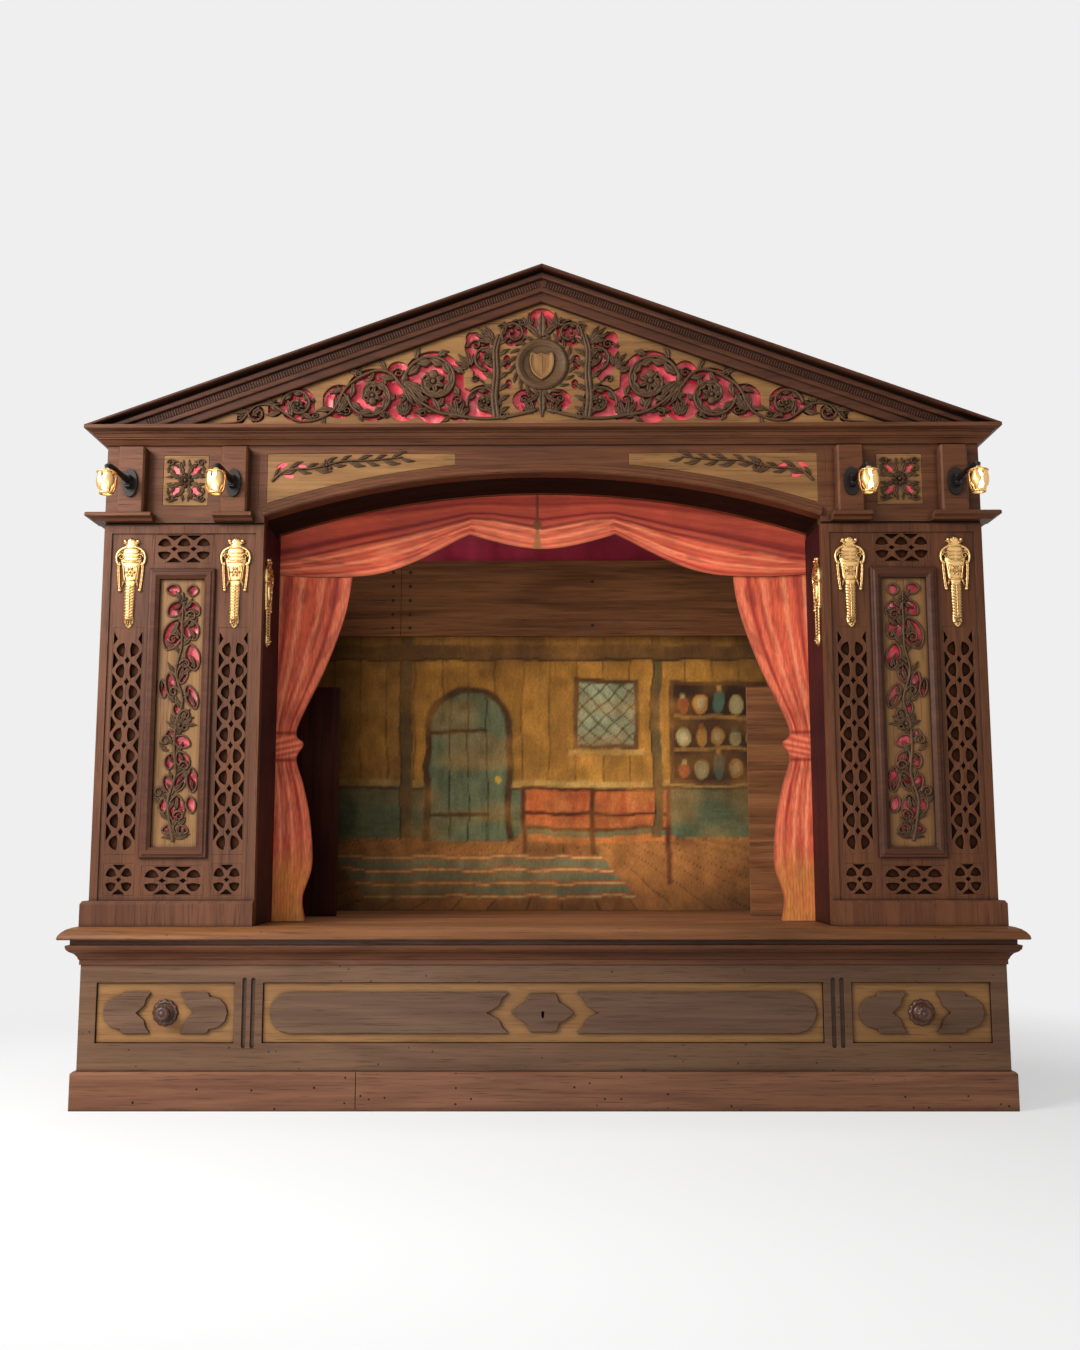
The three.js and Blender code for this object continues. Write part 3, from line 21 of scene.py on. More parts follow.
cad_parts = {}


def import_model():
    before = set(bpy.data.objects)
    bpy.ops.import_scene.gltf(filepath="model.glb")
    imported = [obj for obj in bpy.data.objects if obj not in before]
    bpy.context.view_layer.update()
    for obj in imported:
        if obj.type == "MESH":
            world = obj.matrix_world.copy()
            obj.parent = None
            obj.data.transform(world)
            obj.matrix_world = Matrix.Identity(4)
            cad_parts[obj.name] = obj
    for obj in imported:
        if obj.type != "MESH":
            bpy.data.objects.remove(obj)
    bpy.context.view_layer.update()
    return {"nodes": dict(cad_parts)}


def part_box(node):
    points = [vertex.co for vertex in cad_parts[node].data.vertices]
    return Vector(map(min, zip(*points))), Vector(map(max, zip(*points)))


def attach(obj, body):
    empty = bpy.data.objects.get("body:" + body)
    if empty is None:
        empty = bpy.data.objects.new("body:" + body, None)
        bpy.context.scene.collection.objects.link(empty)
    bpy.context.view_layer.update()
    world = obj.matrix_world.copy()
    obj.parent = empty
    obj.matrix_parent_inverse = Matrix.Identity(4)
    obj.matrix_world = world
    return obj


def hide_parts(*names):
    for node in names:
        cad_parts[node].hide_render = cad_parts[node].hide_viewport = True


LOG = logging.getLogger("theatre")

Array = np.ndarray
Colour = tuple[float, float, float]


# Colours and node graphs


def srgb(red: int, green: int, blue: int) -> Colour:
    """Turn a colour written in 0 to 255 into the linear values that shaders use.

    Args:
        red: Red from 0 to 255.
        green: Green from 0 to 255.
        blue: Blue from 0 to 255.

    Returns:
        The same colour in linear light.
    """
    values = np.array([red, green, blue], float) / 255.0
    linear = np.where(values <= 0.04045, values / 12.92, ((values + 0.055) / 1.055) ** 2.4)
    return tuple(float(v) for v in linear)


class Graph:
    """A node tree with short calls that add a node and join its sockets."""

    def __init__(self, tree: NodeTree) -> None:
        """Keep the tree to work on."""
        self.tree = tree

    def add(self, kind: str, inputs: Mapping[Any, Any] | None = None, **settings: Any) -> Node:
        """Add one node.

        Args:
            kind: The node's type, without its ShaderNode prefix.
            inputs: Values or output sockets for its inputs, by name or by index.
            **settings: Properties of the node.

        Returns:
            The new node.
        """
        prefix = "" if kind.startswith("Node") else "ShaderNode"
        node = self.tree.nodes.new(prefix + kind)
        for name, value in settings.items():
            setattr(node, name, value)
        self.wire(node, inputs or {})
        return node

    def wire(self, node: Node, inputs: Mapping[Any, Any]) -> None:
        """Join a node's inputs to outputs, or give them values.

        Args:
            node: The node.
            inputs: An output or a value for each input, by its name or number.
        """
        for key, value in inputs.items():
            socket = node.inputs[key]
            if isinstance(value, bpy.types.NodeSocket):
                self.tree.links.new(value, socket)
            elif socket.type == "RGBA" and len(value) == 3:
                socket.default_value = (*value, 1.0)
            else:
                socket.default_value = value

    def math(self, operation: str, a: Any, b: Any = 0.0, c: Any = 0.0, clamp: bool = False) -> Any:
        """Return the output of a Math node."""
        node = self.add("Math", {0: a, 1: b, 2: c}, operation=operation, use_clamp=clamp)
        return node.outputs[0]

    def vector(self, operation: str, a: Any, b: Any = (0.0, 0.0, 0.0)) -> Any:
        """Return the output of a Vector Math node."""
        node = self.add("VectorMath", {0: a, 1: b}, operation=operation)
        return node.outputs["Value" if operation in {"LENGTH", "DOT_PRODUCT"} else "Vector"]

    def mix(self, factor: Any, a: Any, b: Any, blend: str = "MIX") -> Any:
        """Return two colours mixed by a factor."""
        node = self.add("Mix", {0: factor, 6: a, 7: b}, data_type="RGBA", blend_type=blend)
        return node.outputs[2]

    def remap(self, value: Any, low: float, high: float, to_low: float = 0.0, to_high: float = 1.0,
            smooth: bool = False) -> Any:
        """Return a value carried from one range to another, clamped.

        Args:
            value: The value to carry over.
            low: Where its range starts.
            high: Where its range ends.
            to_low: Where the new range starts.
            to_high: Where the new range ends.
            smooth: Whether it eases in and out, by a smooth step.

        Returns:
            The new value.
        """
        kind = "SMOOTHSTEP" if smooth else "LINEAR"
        node = self.add("MapRange", {0: value, 1: low, 2: high, 3: to_low, 4: to_high},
            interpolation_type=kind, clamp=True)
        return node.outputs[0]

    def noise(self, vector: Any, scale: float, detail: float = 3.0, roughness: float = 0.5,
            distortion: float = 0.0) -> Any:
        """Return the value of a noise texture.

        Args:
            vector: Where the noise is read.
            scale: Its waves in a metre.
            detail: How many finer layers it has.
            roughness: How strong these are.
            distortion: How far it is bent.

        Returns:
            Its value, from 0 to 1.
        """
        node = self.add("TexNoise", {"Vector": vector, "Scale": scale, "Detail": detail,
            "Roughness": roughness, "Distortion": distortion})
        return node.outputs["Fac"]

    def group(self, tree: NodeTree, inputs: Mapping[str, Any]) -> Mapping[str, Any]:
        """Add a node group with values for its inputs and return its outputs.

        Args:
            tree: The group.
            inputs: An output or a value for each input.

        Returns:
            Its outputs by name.
        """
        node = self.add("Group", node_tree=tree)
        self.wire(node, inputs)
        return node.outputs

    def plus(self, a: Any, b: Any, clamp: bool = False) -> Any:
        """Return a sum."""
        return self.math("ADD", a, b, clamp=clamp)

    def minus(self, a: Any, b: Any) -> Any:
        """Return a difference."""
        return self.math("SUBTRACT", a, b)

    def times(self, a: Any, b: Any) -> Any:
        """Return a product."""
        return self.math("MULTIPLY", a, b)

    def stretched(self, vector: Any, *shares: float) -> Any:
        """Return a vector with each axis multiplied."""
        return self.vector("MULTIPLY", vector, shares)

    def axis(self, vector: Any, name: str) -> Any:
        """Return one axis of a vector."""
        return self.add("SeparateXYZ", {0: vector}).outputs[name]

    def place(self) -> Any:
        """Return the place on the object, in metres."""
        return self.add("TexCoord").outputs["Object"]

    def tinted(self, colour: Any, value: Any) -> Any:
        """Return a colour multiplied by one value."""
        grey = self.add("CombineColor", {0: value, 1: value, 2: value}).outputs[0]
        return self.mix(1.0, colour, grey, "MULTIPLY")

    def bump(self, height: Any, strength: float, distance: float, **normal: Any) -> Any:
        """Return a normal bent by a height.

        Args:
            height: The height.
            strength: How strong the bump is.
            distance: How deep it is in metres.

        Returns:
            The normal.
        """
        node = self.add("Bump", {"Strength": strength, "Distance": distance, "Height": height,
            **normal})
        return node.outputs[0]


def new_material(name: str) -> tuple[Material, Graph, Node]:
    """Return a new material with its graph and its Principled shader.

    Args:
        name: The material's name.

    Returns:
        The material, its graph and its shader.
    """
    material = bpy.data.materials.new(name)
    material.use_nodes = True
    return material, Graph(material.node_tree), material.node_tree.nodes["Principled BSDF"]


class Socket(Enum):
    """Kinds of socket on a node group."""

    VALUE = "NodeSocketFloat"
    VECTOR = "NodeSocketVector"


def new_group(name: str, inputs: Mapping[str, Socket],
        outputs: Mapping[str, Socket]) -> tuple[Graph, Mapping[str, Any], Node]:
    """Make an empty shader node group.

    Args:
        name: The group's name.
        inputs: Its inputs by name.
        outputs: Its outputs by name.

    Returns:
        The graph inside it, the sockets that carry its inputs, and its output node.
    """
    tree = bpy.data.node_groups.new(name, "ShaderNodeTree")
    for label, kind in inputs.items():
        tree.interface.new_socket(label, in_out="INPUT", socket_type=kind.value)
    for label, kind in outputs.items():
        tree.interface.new_socket(label, in_out="OUTPUT", socket_type=kind.value)
    graph = Graph(tree)
    return graph, graph.add("NodeGroupInput").outputs, graph.add("NodeGroupOutput")


class SharedEffects:
    """The node groups that more than one finish uses, each built once."""

    def __init__(self) -> None:
        """Build every group."""
        self.grain = self._grain()
        self.wear = self._wear()
        self.grime_and_shade = self._grime_and_shade()

    @staticmethod
    def _grain() -> NodeTree:
        """Wood grain: rings warped by slow noise, with pores drawn out along the vector's Z.

        Returns:
            The group. Its vector has the grain along Z, in metres.
        """
        g, given, out = new_group("Wood grain", {"Vector": Socket.VECTOR},
            {"Figure": Socket.VALUE, "Pores": Socket.VALUE, "Tone": Socket.VALUE,
            "Height": Socket.VALUE})
        place = given["Vector"]
        # Each noise: how far it is squeezed along the grain, scale, detail, roughness, distortion
        warp, figure, fibre, pore, tone = (
            g.noise(g.stretched(place, 1.0, 1.0, along), *look) for along, *look in (
                (0.07, 9.0, 3.0, 0.55, 0.6), (0.035, 70.0, 5.0, 0.62, 0.9),
                (0.02, 190.0, 3.0, 0.6), (0.03, 420.0, 2.0, 0.6), (0.3, 3.1, 3.0, 0.55)))
        rings = g.math("FRACT", g.times(warp, 7.0))
        ring_line = g.remap(g.math("ABSOLUTE", g.minus(rings, 0.5)), 0.0, 0.5, 0.0, 1.0, True)
        streak = g.plus(g.plus(g.times(figure, 0.42), g.times(ring_line, 0.2)),
            g.times(fibre, 0.38))
        pores = g.remap(pore, 0.56, 0.7)
        height = g.minus(g.times(fibre, 0.6), g.times(pores, 0.6))
        g.wire(out, {"Figure": streak, "Pores": pores, "Tone": tone, "Height": height})
        return g.tree

    @staticmethod
    def _wear() -> NodeTree:
        """Edge wear: how far a rounded normal leaves the true one, broken up by noise.

        Returns:
            The group, with the worn share and the rounded normal.
        """
        g, given, out = new_group("Worn edges", {"Vector": Socket.VECTOR, "Radius": Socket.VALUE},
            {"Mask": Socket.VALUE, "Normal": Socket.VECTOR})
        bevel = g.add("Bevel", {"Radius": given["Radius"]}, samples=6)
        true = g.add("NewGeometry").outputs["Normal"]
        turn = g.minus(1.0, g.vector("DOT_PRODUCT", bevel.outputs[0], true))
        patchy = g.remap(g.noise(given["Vector"], 38.0, 4.0, 0.65), 0.36, 0.66)
        mask = g.times(g.remap(turn, 0.02, 0.22), patchy)
        g.wire(out, {"Mask": mask, "Normal": bevel.outputs[0]})
        return g.tree

    @staticmethod
    def _grime_and_shade() -> NodeTree:
        """Painted shade with soiling: dark where little light reaches, and soft blotches.

        Returns:
            The group, with the share in painted shade and the blotches.
        """
        g, given, out = new_group("Grime and occlusion shade", {"Vector": Socket.VECTOR, "Distance": Socket.VALUE},
            {"Mask": Socket.VALUE, "Blotch": Socket.VALUE})
        hidden = g.add("AmbientOcclusion", {"Distance": given["Distance"]}, samples=6)
        shut = g.remap(hidden.outputs["AO"], 0.92, 0.35)
        blotch = g.remap(g.noise(given["Vector"], 7.0, 5.0, 0.6), 0.42, 0.72)
        g.wire(out, {"Mask": shut, "Blotch": blotch})
        return g.tree


# Finishes


class Grain(Enum):
    """The way the grain of a board runs, as the turn that brings it to the group's Z."""

    ALONG_X = (0.0, pi / 2, 0.0)
    ALONG_Y = (pi / 2, 0.0, 0.0)
    ALONG_Z = (0.0, 0.0, 0.0)


@dataclass(frozen=True)
class WoodFinish:
    """Old waxed wood: grain, pores, painted shade with soiling in the corners, and pale worn edges.
    """

    name: str
    dark: Colour
    light: Colour
    worn: Colour
    grain: Grain
    roughness: float = 0.5
    wear: float = 0.5
    grime_and_shade: float = 0.92
    edge: float = 0.0016
    coat: float = 0.03
    shine: float = 0.16
    # How far the occlusion reaches that darkens corners as painted shade with soiling
    hollow: float = 0.012
    figure: float = 1.0
    worm: float = 0.0
    # Cells in a metre, a hole's share of its cell, and the share of cells without a hole
    worm_cells: tuple[float, float, float] = (62.0, 0.15, 0.82)
    # Where Y is less than front the wood takes other colours: the drawers' raised boards, and
    # painted shadow on the gable's soffit
    front: float | None = None
    front_dark: Colour = (0.0, 0.0, 0.0)
    front_light: Colour = (0.0, 0.0, 0.0)

    def build(self, effects: SharedEffects) -> Material:
        """Build the material.

        Args:
            effects: The shared node groups.

        Returns:
            The material.
        """
        material, g, shader = new_material(self.name)
        place = g.place()
        turned = g.add("Mapping", {"Vector": place, "Rotation": self.grain.value}).outputs[0]
        grain = g.group(effects.grain, {"Vector": turned})
        worn = g.group(effects.wear, {"Vector": place, "Radius": self.edge})
        grime_and_shade = g.group(effects.grime_and_shade, {"Vector": place, "Distance": self.hollow})

        spread = 0.5 * self.figure
        tint = g.remap(grain["Figure"], 0.25, 0.75, 0.5 - spread, 0.5 + spread)
        body = g.mix(tint, self.dark, self.light)
        if self.front is not None:
            body = g.mix(g.math("LESS_THAN", g.axis(place, "Y"), self.front), body,
                g.mix(tint, self.front_dark, self.front_light))
        body = g.tinted(body, g.remap(grain["Tone"], 0.3, 0.7, 0.82, 1.16))
        pores = g.times(grain["Pores"], 0.55)
        body = g.mix(pores, body, tuple(0.25 * c for c in self.dark))
        edge = g.times(worn["Mask"], self.wear)
        body = g.mix(edge, body, self.worn)
        # darken where the occlusion mask is: painted shade in corners and recesses, with soiling
        dirt_and_shade = g.times(grime_and_shade["Mask"], self.grime_and_shade)
        body = g.mix(dirt_and_shade, body, tuple(0.16 * c for c in self.dark))
        if self.worm:
            scale, size, empty = self.worm_cells
            cells = g.add("TexVoronoi", {"Vector": place, "Scale": scale}).outputs
            chosen = g.math("GREATER_THAN", g.axis(cells["Color"], "X"), empty)
            holes = g.times(g.math("LESS_THAN", cells["Distance"], size), chosen)
            body = g.mix(g.times(holes, self.worm), body, tuple(0.08 * c for c in self.dark))

        rough = g.plus(g.times(grime_and_shade["Blotch"], 0.16), self.roughness - 0.06)
        rough = g.plus(rough, g.times(grain["Pores"], 0.15), clamp=True)
        g.wire(shader, {"Base Color": body, "Roughness": rough, "Specular IOR Level": self.shine,
            "Coat Weight": self.coat, "Coat Roughness": 0.3,
            "Normal": g.bump(grain["Height"], 0.35, 0.0006, Normal=worn["Normal"])})
        return material


@dataclass(frozen=True)
class MetalFinish:
    """A metal with blotches in its shine, and hollows darkened as painted shade with tarnish."""

    name: str
    colour: Colour
    hollow: Colour
    roughness: float = 0.35
    metallic: float = 1.0
    edge: float = 0.0008

    def build(self, effects: SharedEffects) -> Material:
        """Build the material.

        Args:
            effects: The shared node groups.

        Returns:
            The material.
        """
        material, g, shader = new_material(self.name)
        place = g.place()
        worn = g.group(effects.wear, {"Vector": place, "Radius": self.edge})
        grime_and_shade = g.group(effects.grime_and_shade, {"Vector": place, "Distance": 0.006})
        fine = g.noise(place, 240.0, 3.0, 0.6)
        # darker in the hollows by the occlusion mask: painted shade with tarnish
        dirt_and_shade = g.times(grime_and_shade["Mask"], 0.9)
        rough = g.plus(g.times(fine, 0.2), self.roughness - 0.08)
        g.wire(shader, {"Base Color": g.mix(dirt_and_shade, self.colour, self.hollow),
            "Metallic": self.metallic, "Roughness": g.plus(rough, g.times(dirt_and_shade, 0.25), clamp=True),
            "Normal": g.bump(fine, 0.25, 0.0004, Normal=worn["Normal"])})
        return material


@dataclass(frozen=True)
class ClothFinish:
    """Woven or satin cloth with a fine weave, sheen and slow changes of tone."""

    name: str
    colour: Colour
    shade: Colour
    roughness: float = 0.5
    sheen: float = 0.4
    weave: float = 1400.0

    def build(self) -> Material:
        """Build the material.

        Returns:
            The material.
        """
        material, g, shader = new_material(self.name)
        place = g.place()
        tone = g.remap(g.noise(place, 14.0, 3.0, 0.5), 0.35, 0.65)
        threads, picks = (g.math("SINE", g.times(g.axis(place, name), self.weave)) for name in "XZ")
        g.wire(shader, {"Base Color": g.mix(tone, self.shade, self.colour),
            "Roughness": self.roughness, "Sheen Weight": self.sheen,
            "Normal": g.bump(g.times(threads, picks), 0.2, 0.0004)})
        return material


@dataclass(frozen=True)
class GlassFinish:
    """Thin warm glass that glows a little."""

    name: str
    colour: Colour
    glow: float = 1.0

    def build(self) -> Material:
        """Build the material.

        Returns:
            The material.
        """
        material, g, shader = new_material(self.name)
        g.wire(shader, {"Base Color": self.colour, "Roughness": 0.15, "Transmission Weight": 0.4,
            "Emission Color": self.colour, "Emission Strength": self.glow})
        return material


class Finishes:
    """Every finish of the stand, built once and looked up by name."""

    def __init__(self, effects: SharedEffects) -> None:
        """Build all the materials.

        Args:
            effects: The shared node groups.
        """
        x, y, z = Grain.ALONG_X, Grain.ALONG_Y, Grain.ALONG_Z
        dark = WoodFinish("Dark wood along", srgb(62, 32, 19), srgb(120, 74, 47),
            srgb(168, 124, 86), x, figure=0.6)
        pale = WoodFinish("Golden wood along", srgb(112, 76, 46), srgb(156, 114, 68),
            srgb(178, 140, 92), x, grime_and_shade=0.85)
        board = WoodFinish("Stage board along", srgb(84, 48, 28), srgb(158, 102, 62),
            srgb(176, 126, 84), x, roughness=0.75, coat=0.0)
        self.wood_x = dark.build(effects)
        self.wood_z = replace(dark, name="Dark wood upright", grain=z).build(effects)
        # a darker moulding whose occlusion darkening, painted shade, reaches further into its
        # hollows
        self.raking = WoodFinish("Dark moulding", srgb(50, 26, 16), srgb(96, 56, 36),
            srgb(160, 114, 80), x, figure=0.6, hollow=0.03, grime_and_shade=0.9).build(effects)
        self.base = WoodFinish("Brown wood along", srgb(70, 46, 32), srgb(122, 90, 66),
            srgb(162, 124, 90), x, figure=0.6, worm=0.6).build(effects)
        self.plinth = WoodFinish("Plinth wood", srgb(78, 44, 30), srgb(142, 98, 72),
            srgb(176, 132, 98), x, figure=0.65, worm=0.95).build(effects)
        self.ledge = WoodFinish("Ledge wood", srgb(80, 46, 25), srgb(144, 94, 56),
            srgb(186, 136, 90), x, figure=0.7, worm=0.6).build(effects)
        # Dark boards behind the tracery, darker than the wood as painted shade in the holes
        self.shadow = WoodFinish("Dark wood behind", srgb(50, 28, 18), srgb(88, 54, 36),
            srgb(104, 70, 48), z, figure=0.6, shine=0.02, coat=0.0).build(effects)
        self.carved = WoodFinish("Carved wood", srgb(64, 44, 28), srgb(110, 80, 54),
            srgb(156, 122, 86), x, hollow=0.007, figure=0.5, grime_and_shade=0.95, edge=0.0008).build(effects)
        self.maroon = WoodFinish("Maroon paint", srgb(34, 8, 12), srgb(48, 12, 18),
            srgb(92, 40, 34), z, roughness=0.6).build(effects)
        self.knob = WoodFinish("Turned wood", srgb(54, 30, 20), srgb(96, 58, 38),
            srgb(150, 108, 76), y, roughness=0.36, coat=0.4, hollow=0.008).build(effects)
        self.pale_x = pale.build(effects)
        self.pale_z = replace(pale, name="Golden wood upright", grain=z).build(effects)
        self.drawer = replace(pale, name="Drawer fronts", figure=0.7, grime_and_shade=0.97, front=-0.3665,
            front_dark=srgb(74, 50, 37), front_light=srgb(116, 88, 68)).build(effects)
        self.rough_x = board.build(effects)
        # The gable boards, whose front under the arch is painted near black as painted shadow
        self.shell = replace(board, name="Gable boards, shadow painted in front", shine=0.05, front=-0.197,
            front_dark=srgb(24, 12, 9), front_light=srgb(48, 27, 19)).build(effects)
        # The left side wall's boards, painted darker than the right's as painted shade behind the
        # left pilaster and curtain
        self.rough_z_shaded = WoodFinish("Stage board upright, painted shade", srgb(38, 16, 12), srgb(76, 38, 26),
            srgb(160, 118, 82), z, roughness=0.75, coat=0.0, shine=0.05).build(effects)
        self.gilt = MetalFinish("Gilt brass", srgb(228, 186, 124), srgb(92, 54, 24),
            roughness=0.34).build(effects)
        self.iron = MetalFinish("Black iron", srgb(38, 33, 30), srgb(14, 11, 10),
            roughness=0.45, metallic=0.7).build(effects)
        self.bulb = GlassFinish("Bulb glass", srgb(255, 236, 196), glow=2.0).build()
        self.silk = ClothFinish("Crimson satin", srgb(255, 100, 110), srgb(230, 38, 60),
            roughness=0.28, sheen=1.0).build()
        self.crimson = ClothFinish("Crimson cloth", srgb(178, 22, 58), srgb(152, 14, 46),
            roughness=0.8, sheen=0.3).build()
        self.painted = PaintedFinish("Painted cloth").build()
        self.swags = PaintedFinish("Painted swags", 0.78, 0.25, (7.0, 60.0, 36.0)).build()
        self.painted_room = PaintedFinish("Painted room", 0.85, 0.35, (40.0, 40.0, 24.0)).build()


# Camera, lamps and floor


@dataclass
class Studio:
    """The viewpoint of the reference picture, soft lamps and a pale floor."""

    place: tuple[float, float, float] = (0.011, -3.167, 0.5315)
    tilt: float = 0.131017
    yaw: float = -0.005756
    roll: float = -0.001032
    focal_pixels: float = 1320.0
    frame_width: int = 1080
    sensor_mm: float = 36.0
    tone: float = 0.863
    skylight: float = 0.2
    floor_share: float = 0.45
    floor_glow: float = 0.53
    fade: tuple[float, float] = (1.15, 2.3)
    # Name, place, aim, width and power of each soft lamp
    lamps: tuple = (("Key", (-2.3, -2.1, 2.0), (-0.1, 0.0, 0.9), 1.5, 108.0),
        ("Fill", (2.3, -3.1, 1.5), (0.2, 0.0, 0.8), 2.4, 3.0),
        ("Low", (-0.7, -3.3, 0.7), (0.0, 0.4, 0.8), 1.6, 34.0),
        ("Top", (-0.6, 0.8, 3.4), (0.0, 0.2, 1.0), 2.0, 26.0))

    def build(self) -> None:
        """Set up the camera, the lamps, the floor and the view settings."""
        scene = bpy.context.scene
        scene.view_settings.view_transform = "Standard"
        self._camera(scene)
        self._lamps()
        self._surroundings(scene)

    def _camera(self, scene: Scene) -> None:
        """Place the camera by its tilt, yaw and roll.

        Args:
            scene: The scene.
        """
        data = bpy.data.cameras.new("Camera")
        data.sensor_fit = "HORIZONTAL"
        data.sensor_width = self.sensor_mm
        data.lens = self.focal_pixels * self.sensor_mm / self.frame_width
        forward = Vector((sin(self.yaw) * cos(self.tilt), cos(self.yaw) * cos(self.tilt),
            sin(self.tilt)))
        right = Vector((cos(self.yaw), -sin(self.yaw), 0.0))
        above = right.cross(forward)
        c, s = cos(self.roll), sin(self.roll)
        right, above = c * right + s * above, c * above - s * right
        turn = Matrix((right, above, -forward)).transposed().to_4x4()
        camera = bpy.data.objects.new("Camera", data)
        camera.matrix_world = Matrix.Translation(self.place) @ turn
        scene.collection.objects.link(camera)
        scene.camera = camera

    def _lamps(self) -> None:
        """Hang a large soft key, a weak fill, a low lamp for the stage and one over the top."""
        for name, place, aim, size, power in self.lamps:
            data = bpy.data.lights.new(name, "AREA")
            data.size = size
            data.energy = power
            lamp = bpy.data.objects.new(name, data)
            lamp.location = place
            lamp.rotation_euler = (Vector(aim) - Vector(place)).to_track_quat("-Z", "Y").to_euler()
            bpy.context.scene.collection.objects.link(lamp)

    def _surroundings(self, scene: Scene) -> None:
        """Lay a pale floor that fades into an even background of the same tone.

        Args:
            scene: The scene.
        """
        world = bpy.data.worlds.new("World")
        scene.world = world
        world.use_nodes = True
        g = Graph(world.node_tree)
        g.wire(world.node_tree.nodes["Background"], {"Color": (self.tone,) * 3,
            "Strength": g.remap(self._seen(g), 0.0, 1.0, self.skylight, 1.0)})
        reach = self.fade[1]
        mesh = bpy.data.meshes.new("Floor")
        mesh.from_pydata([(*corner, 0.0) for corner in rectangle(-reach, reach, -reach, reach)], [],
            [(0, 1, 2, 3)])
        floor = bpy.data.objects.new("Floor", mesh)
        scene.collection.objects.link(floor)
        material, g, shader = new_material("Pale floor")
        g.wire(shader, {"Base Color": (self.floor_share,) * 3, "Roughness": 0.95,
            "Specular IOR Level": 0.0, "Emission Color": (1.0, 1.0, 1.0),
            "Emission Strength": g.times(self._seen(g), self.floor_glow),
            "Alpha": g.remap(g.vector("LENGTH", g.place()), *self.fade, 1.0, 0.0, True)})
        mesh.materials.append(material)

    @staticmethod
    def _seen(g: Graph) -> Any:
        """Return one for rays that look at the background straight, in metal or through glass.

        Args:
            g: The graph that it is worked out in.

        Returns:
            One for such rays, else nought.
        """
        path = g.add("LightPath").outputs
        mirrored = g.math("MAXIMUM", path["Is Glossy Ray"], path["Is Transmission Ray"])
        return g.math("MAXIMUM", path["Is Camera Ray"], mirrored)


# Surfaces


@dataclass
class Surface:
    """A surface in the making: points, faces of four and of three, and colours at the points."""

    points: Array
    quads: Array
    tris: Array = field(default_factory=lambda: np.zeros((0, 3), int))
    colours: Array | None = None

    @staticmethod
    def joined(parts: Sequence[Surface]) -> Surface:
        """Return several surfaces as one.

        Args:
            parts: The surfaces.

        Returns:
            The one surface.
        """
        starts = np.cumsum([0, *(len(part.points) for part in parts)])
        quads = np.concatenate([part.quads + start for part, start in zip(parts, starts)])
        tris = np.concatenate([part.tris + start for part, start in zip(parts, starts)])
        colours = None
        if all(part.colours is not None for part in parts):
            colours = np.concatenate([part.colours for part in parts])
        return Surface(np.concatenate([part.points for part in parts]), quads, tris, colours)

    def mirrored(self) -> Surface:
        """Return the surface mirrored in X, its faces still outwards."""
        return Surface(self.points * (-1.0, 1.0, 1.0), self.quads[:, ::-1], self.tris[:, ::-1],
            self.colours)

    def both(self) -> dict[str, Surface]:
        """Return the surface for the right side and its mirror image for the left."""
        return {"right": self, "left": self.mirrored()}

    def moved(self, *offset: float) -> Surface:
        """Return the surface moved by an offset."""
        return Surface(self.points + np.array(offset), self.quads, self.tris, self.colours)

    def outward(self) -> Surface:
        """Return a closed surface with its faces outwards, told by the sign of its volume.

        Returns:
            The surface.
        """
        p = self.points
        corners = np.concatenate([self.tris, self.quads[:, (0, 1, 2)], self.quads[:, (0, 2, 3)]])
        a, b, c = (p[corners[:, i]] - p.mean(0) for i in range(3))
        if np.einsum("ij,ij->", a, np.cross(b, c)) >= 0:
            return self
        return Surface(p, self.quads[:, ::-1], self.tris[:, ::-1], self.colours)

    def build(self, name: str, material: Material, smooth: bool = True) -> Object:
        """Make the surface a mesh object.

        Args:
            name: The object's name.
            material: Its material.
            smooth: Whether its faces are shaded smooth.

        Returns:
            The object, at the origin.
        """
        mesh = bpy.data.meshes.new(name)
        loops = np.concatenate([self.quads.ravel(), self.tris.ravel()]).astype(np.int32)
        sizes = np.concatenate([np.full(len(self.quads), 4), np.full(len(self.tris), 3)])
        starts = np.concatenate([[0], np.cumsum(sizes)[:-1]]).astype(np.int32)
        mesh.vertices.add(len(self.points))
        mesh.vertices.foreach_set("co", self.points.astype(np.float32).ravel())
        mesh.loops.add(len(loops))
        mesh.loops.foreach_set("vertex_index", loops)
        mesh.polygons.add(len(sizes))
        mesh.polygons.foreach_set("loop_start", starts)
        mesh.polygons.foreach_set("use_smooth", np.full(len(sizes), smooth))
        if self.colours is not None:
            paint_layer = mesh.color_attributes.new("Paint", "FLOAT_COLOR", "POINT")
            rgba = np.concatenate([self.colours, np.ones((len(self.colours), 1))], axis=1)
            paint_layer.data.foreach_set("color", rgba.astype(np.float32).ravel())
        mesh.update(calc_edges=True)
        mesh.validate()
        mesh.materials.append(material)
        obj = bpy.data.objects.new(name, mesh)
        bpy.context.scene.collection.objects.link(obj)
        return obj


def rectangle(x0: float, x1: float, z0: float, z1: float) -> Array:
    """Return a rectangle's corners, counted against the clock."""
    return np.array([(x0, z0), (x1, z0), (x1, z1), (x0, z1)])


def grid_quads(rows: int, columns: int) -> Array:
    """Return the faces of a grid of points that runs row by row.

    Args:
        rows: Points up the grid.
        columns: Points along a row.

    Returns:
        Four point numbers for each face.
    """
    i, j = np.meshgrid(np.arange(rows - 1), np.arange(columns - 1), indexing="ij")
    corner = (i * columns + j).ravel()
    return np.stack([corner, corner + 1, corner + columns + 1, corner + columns], axis=1)


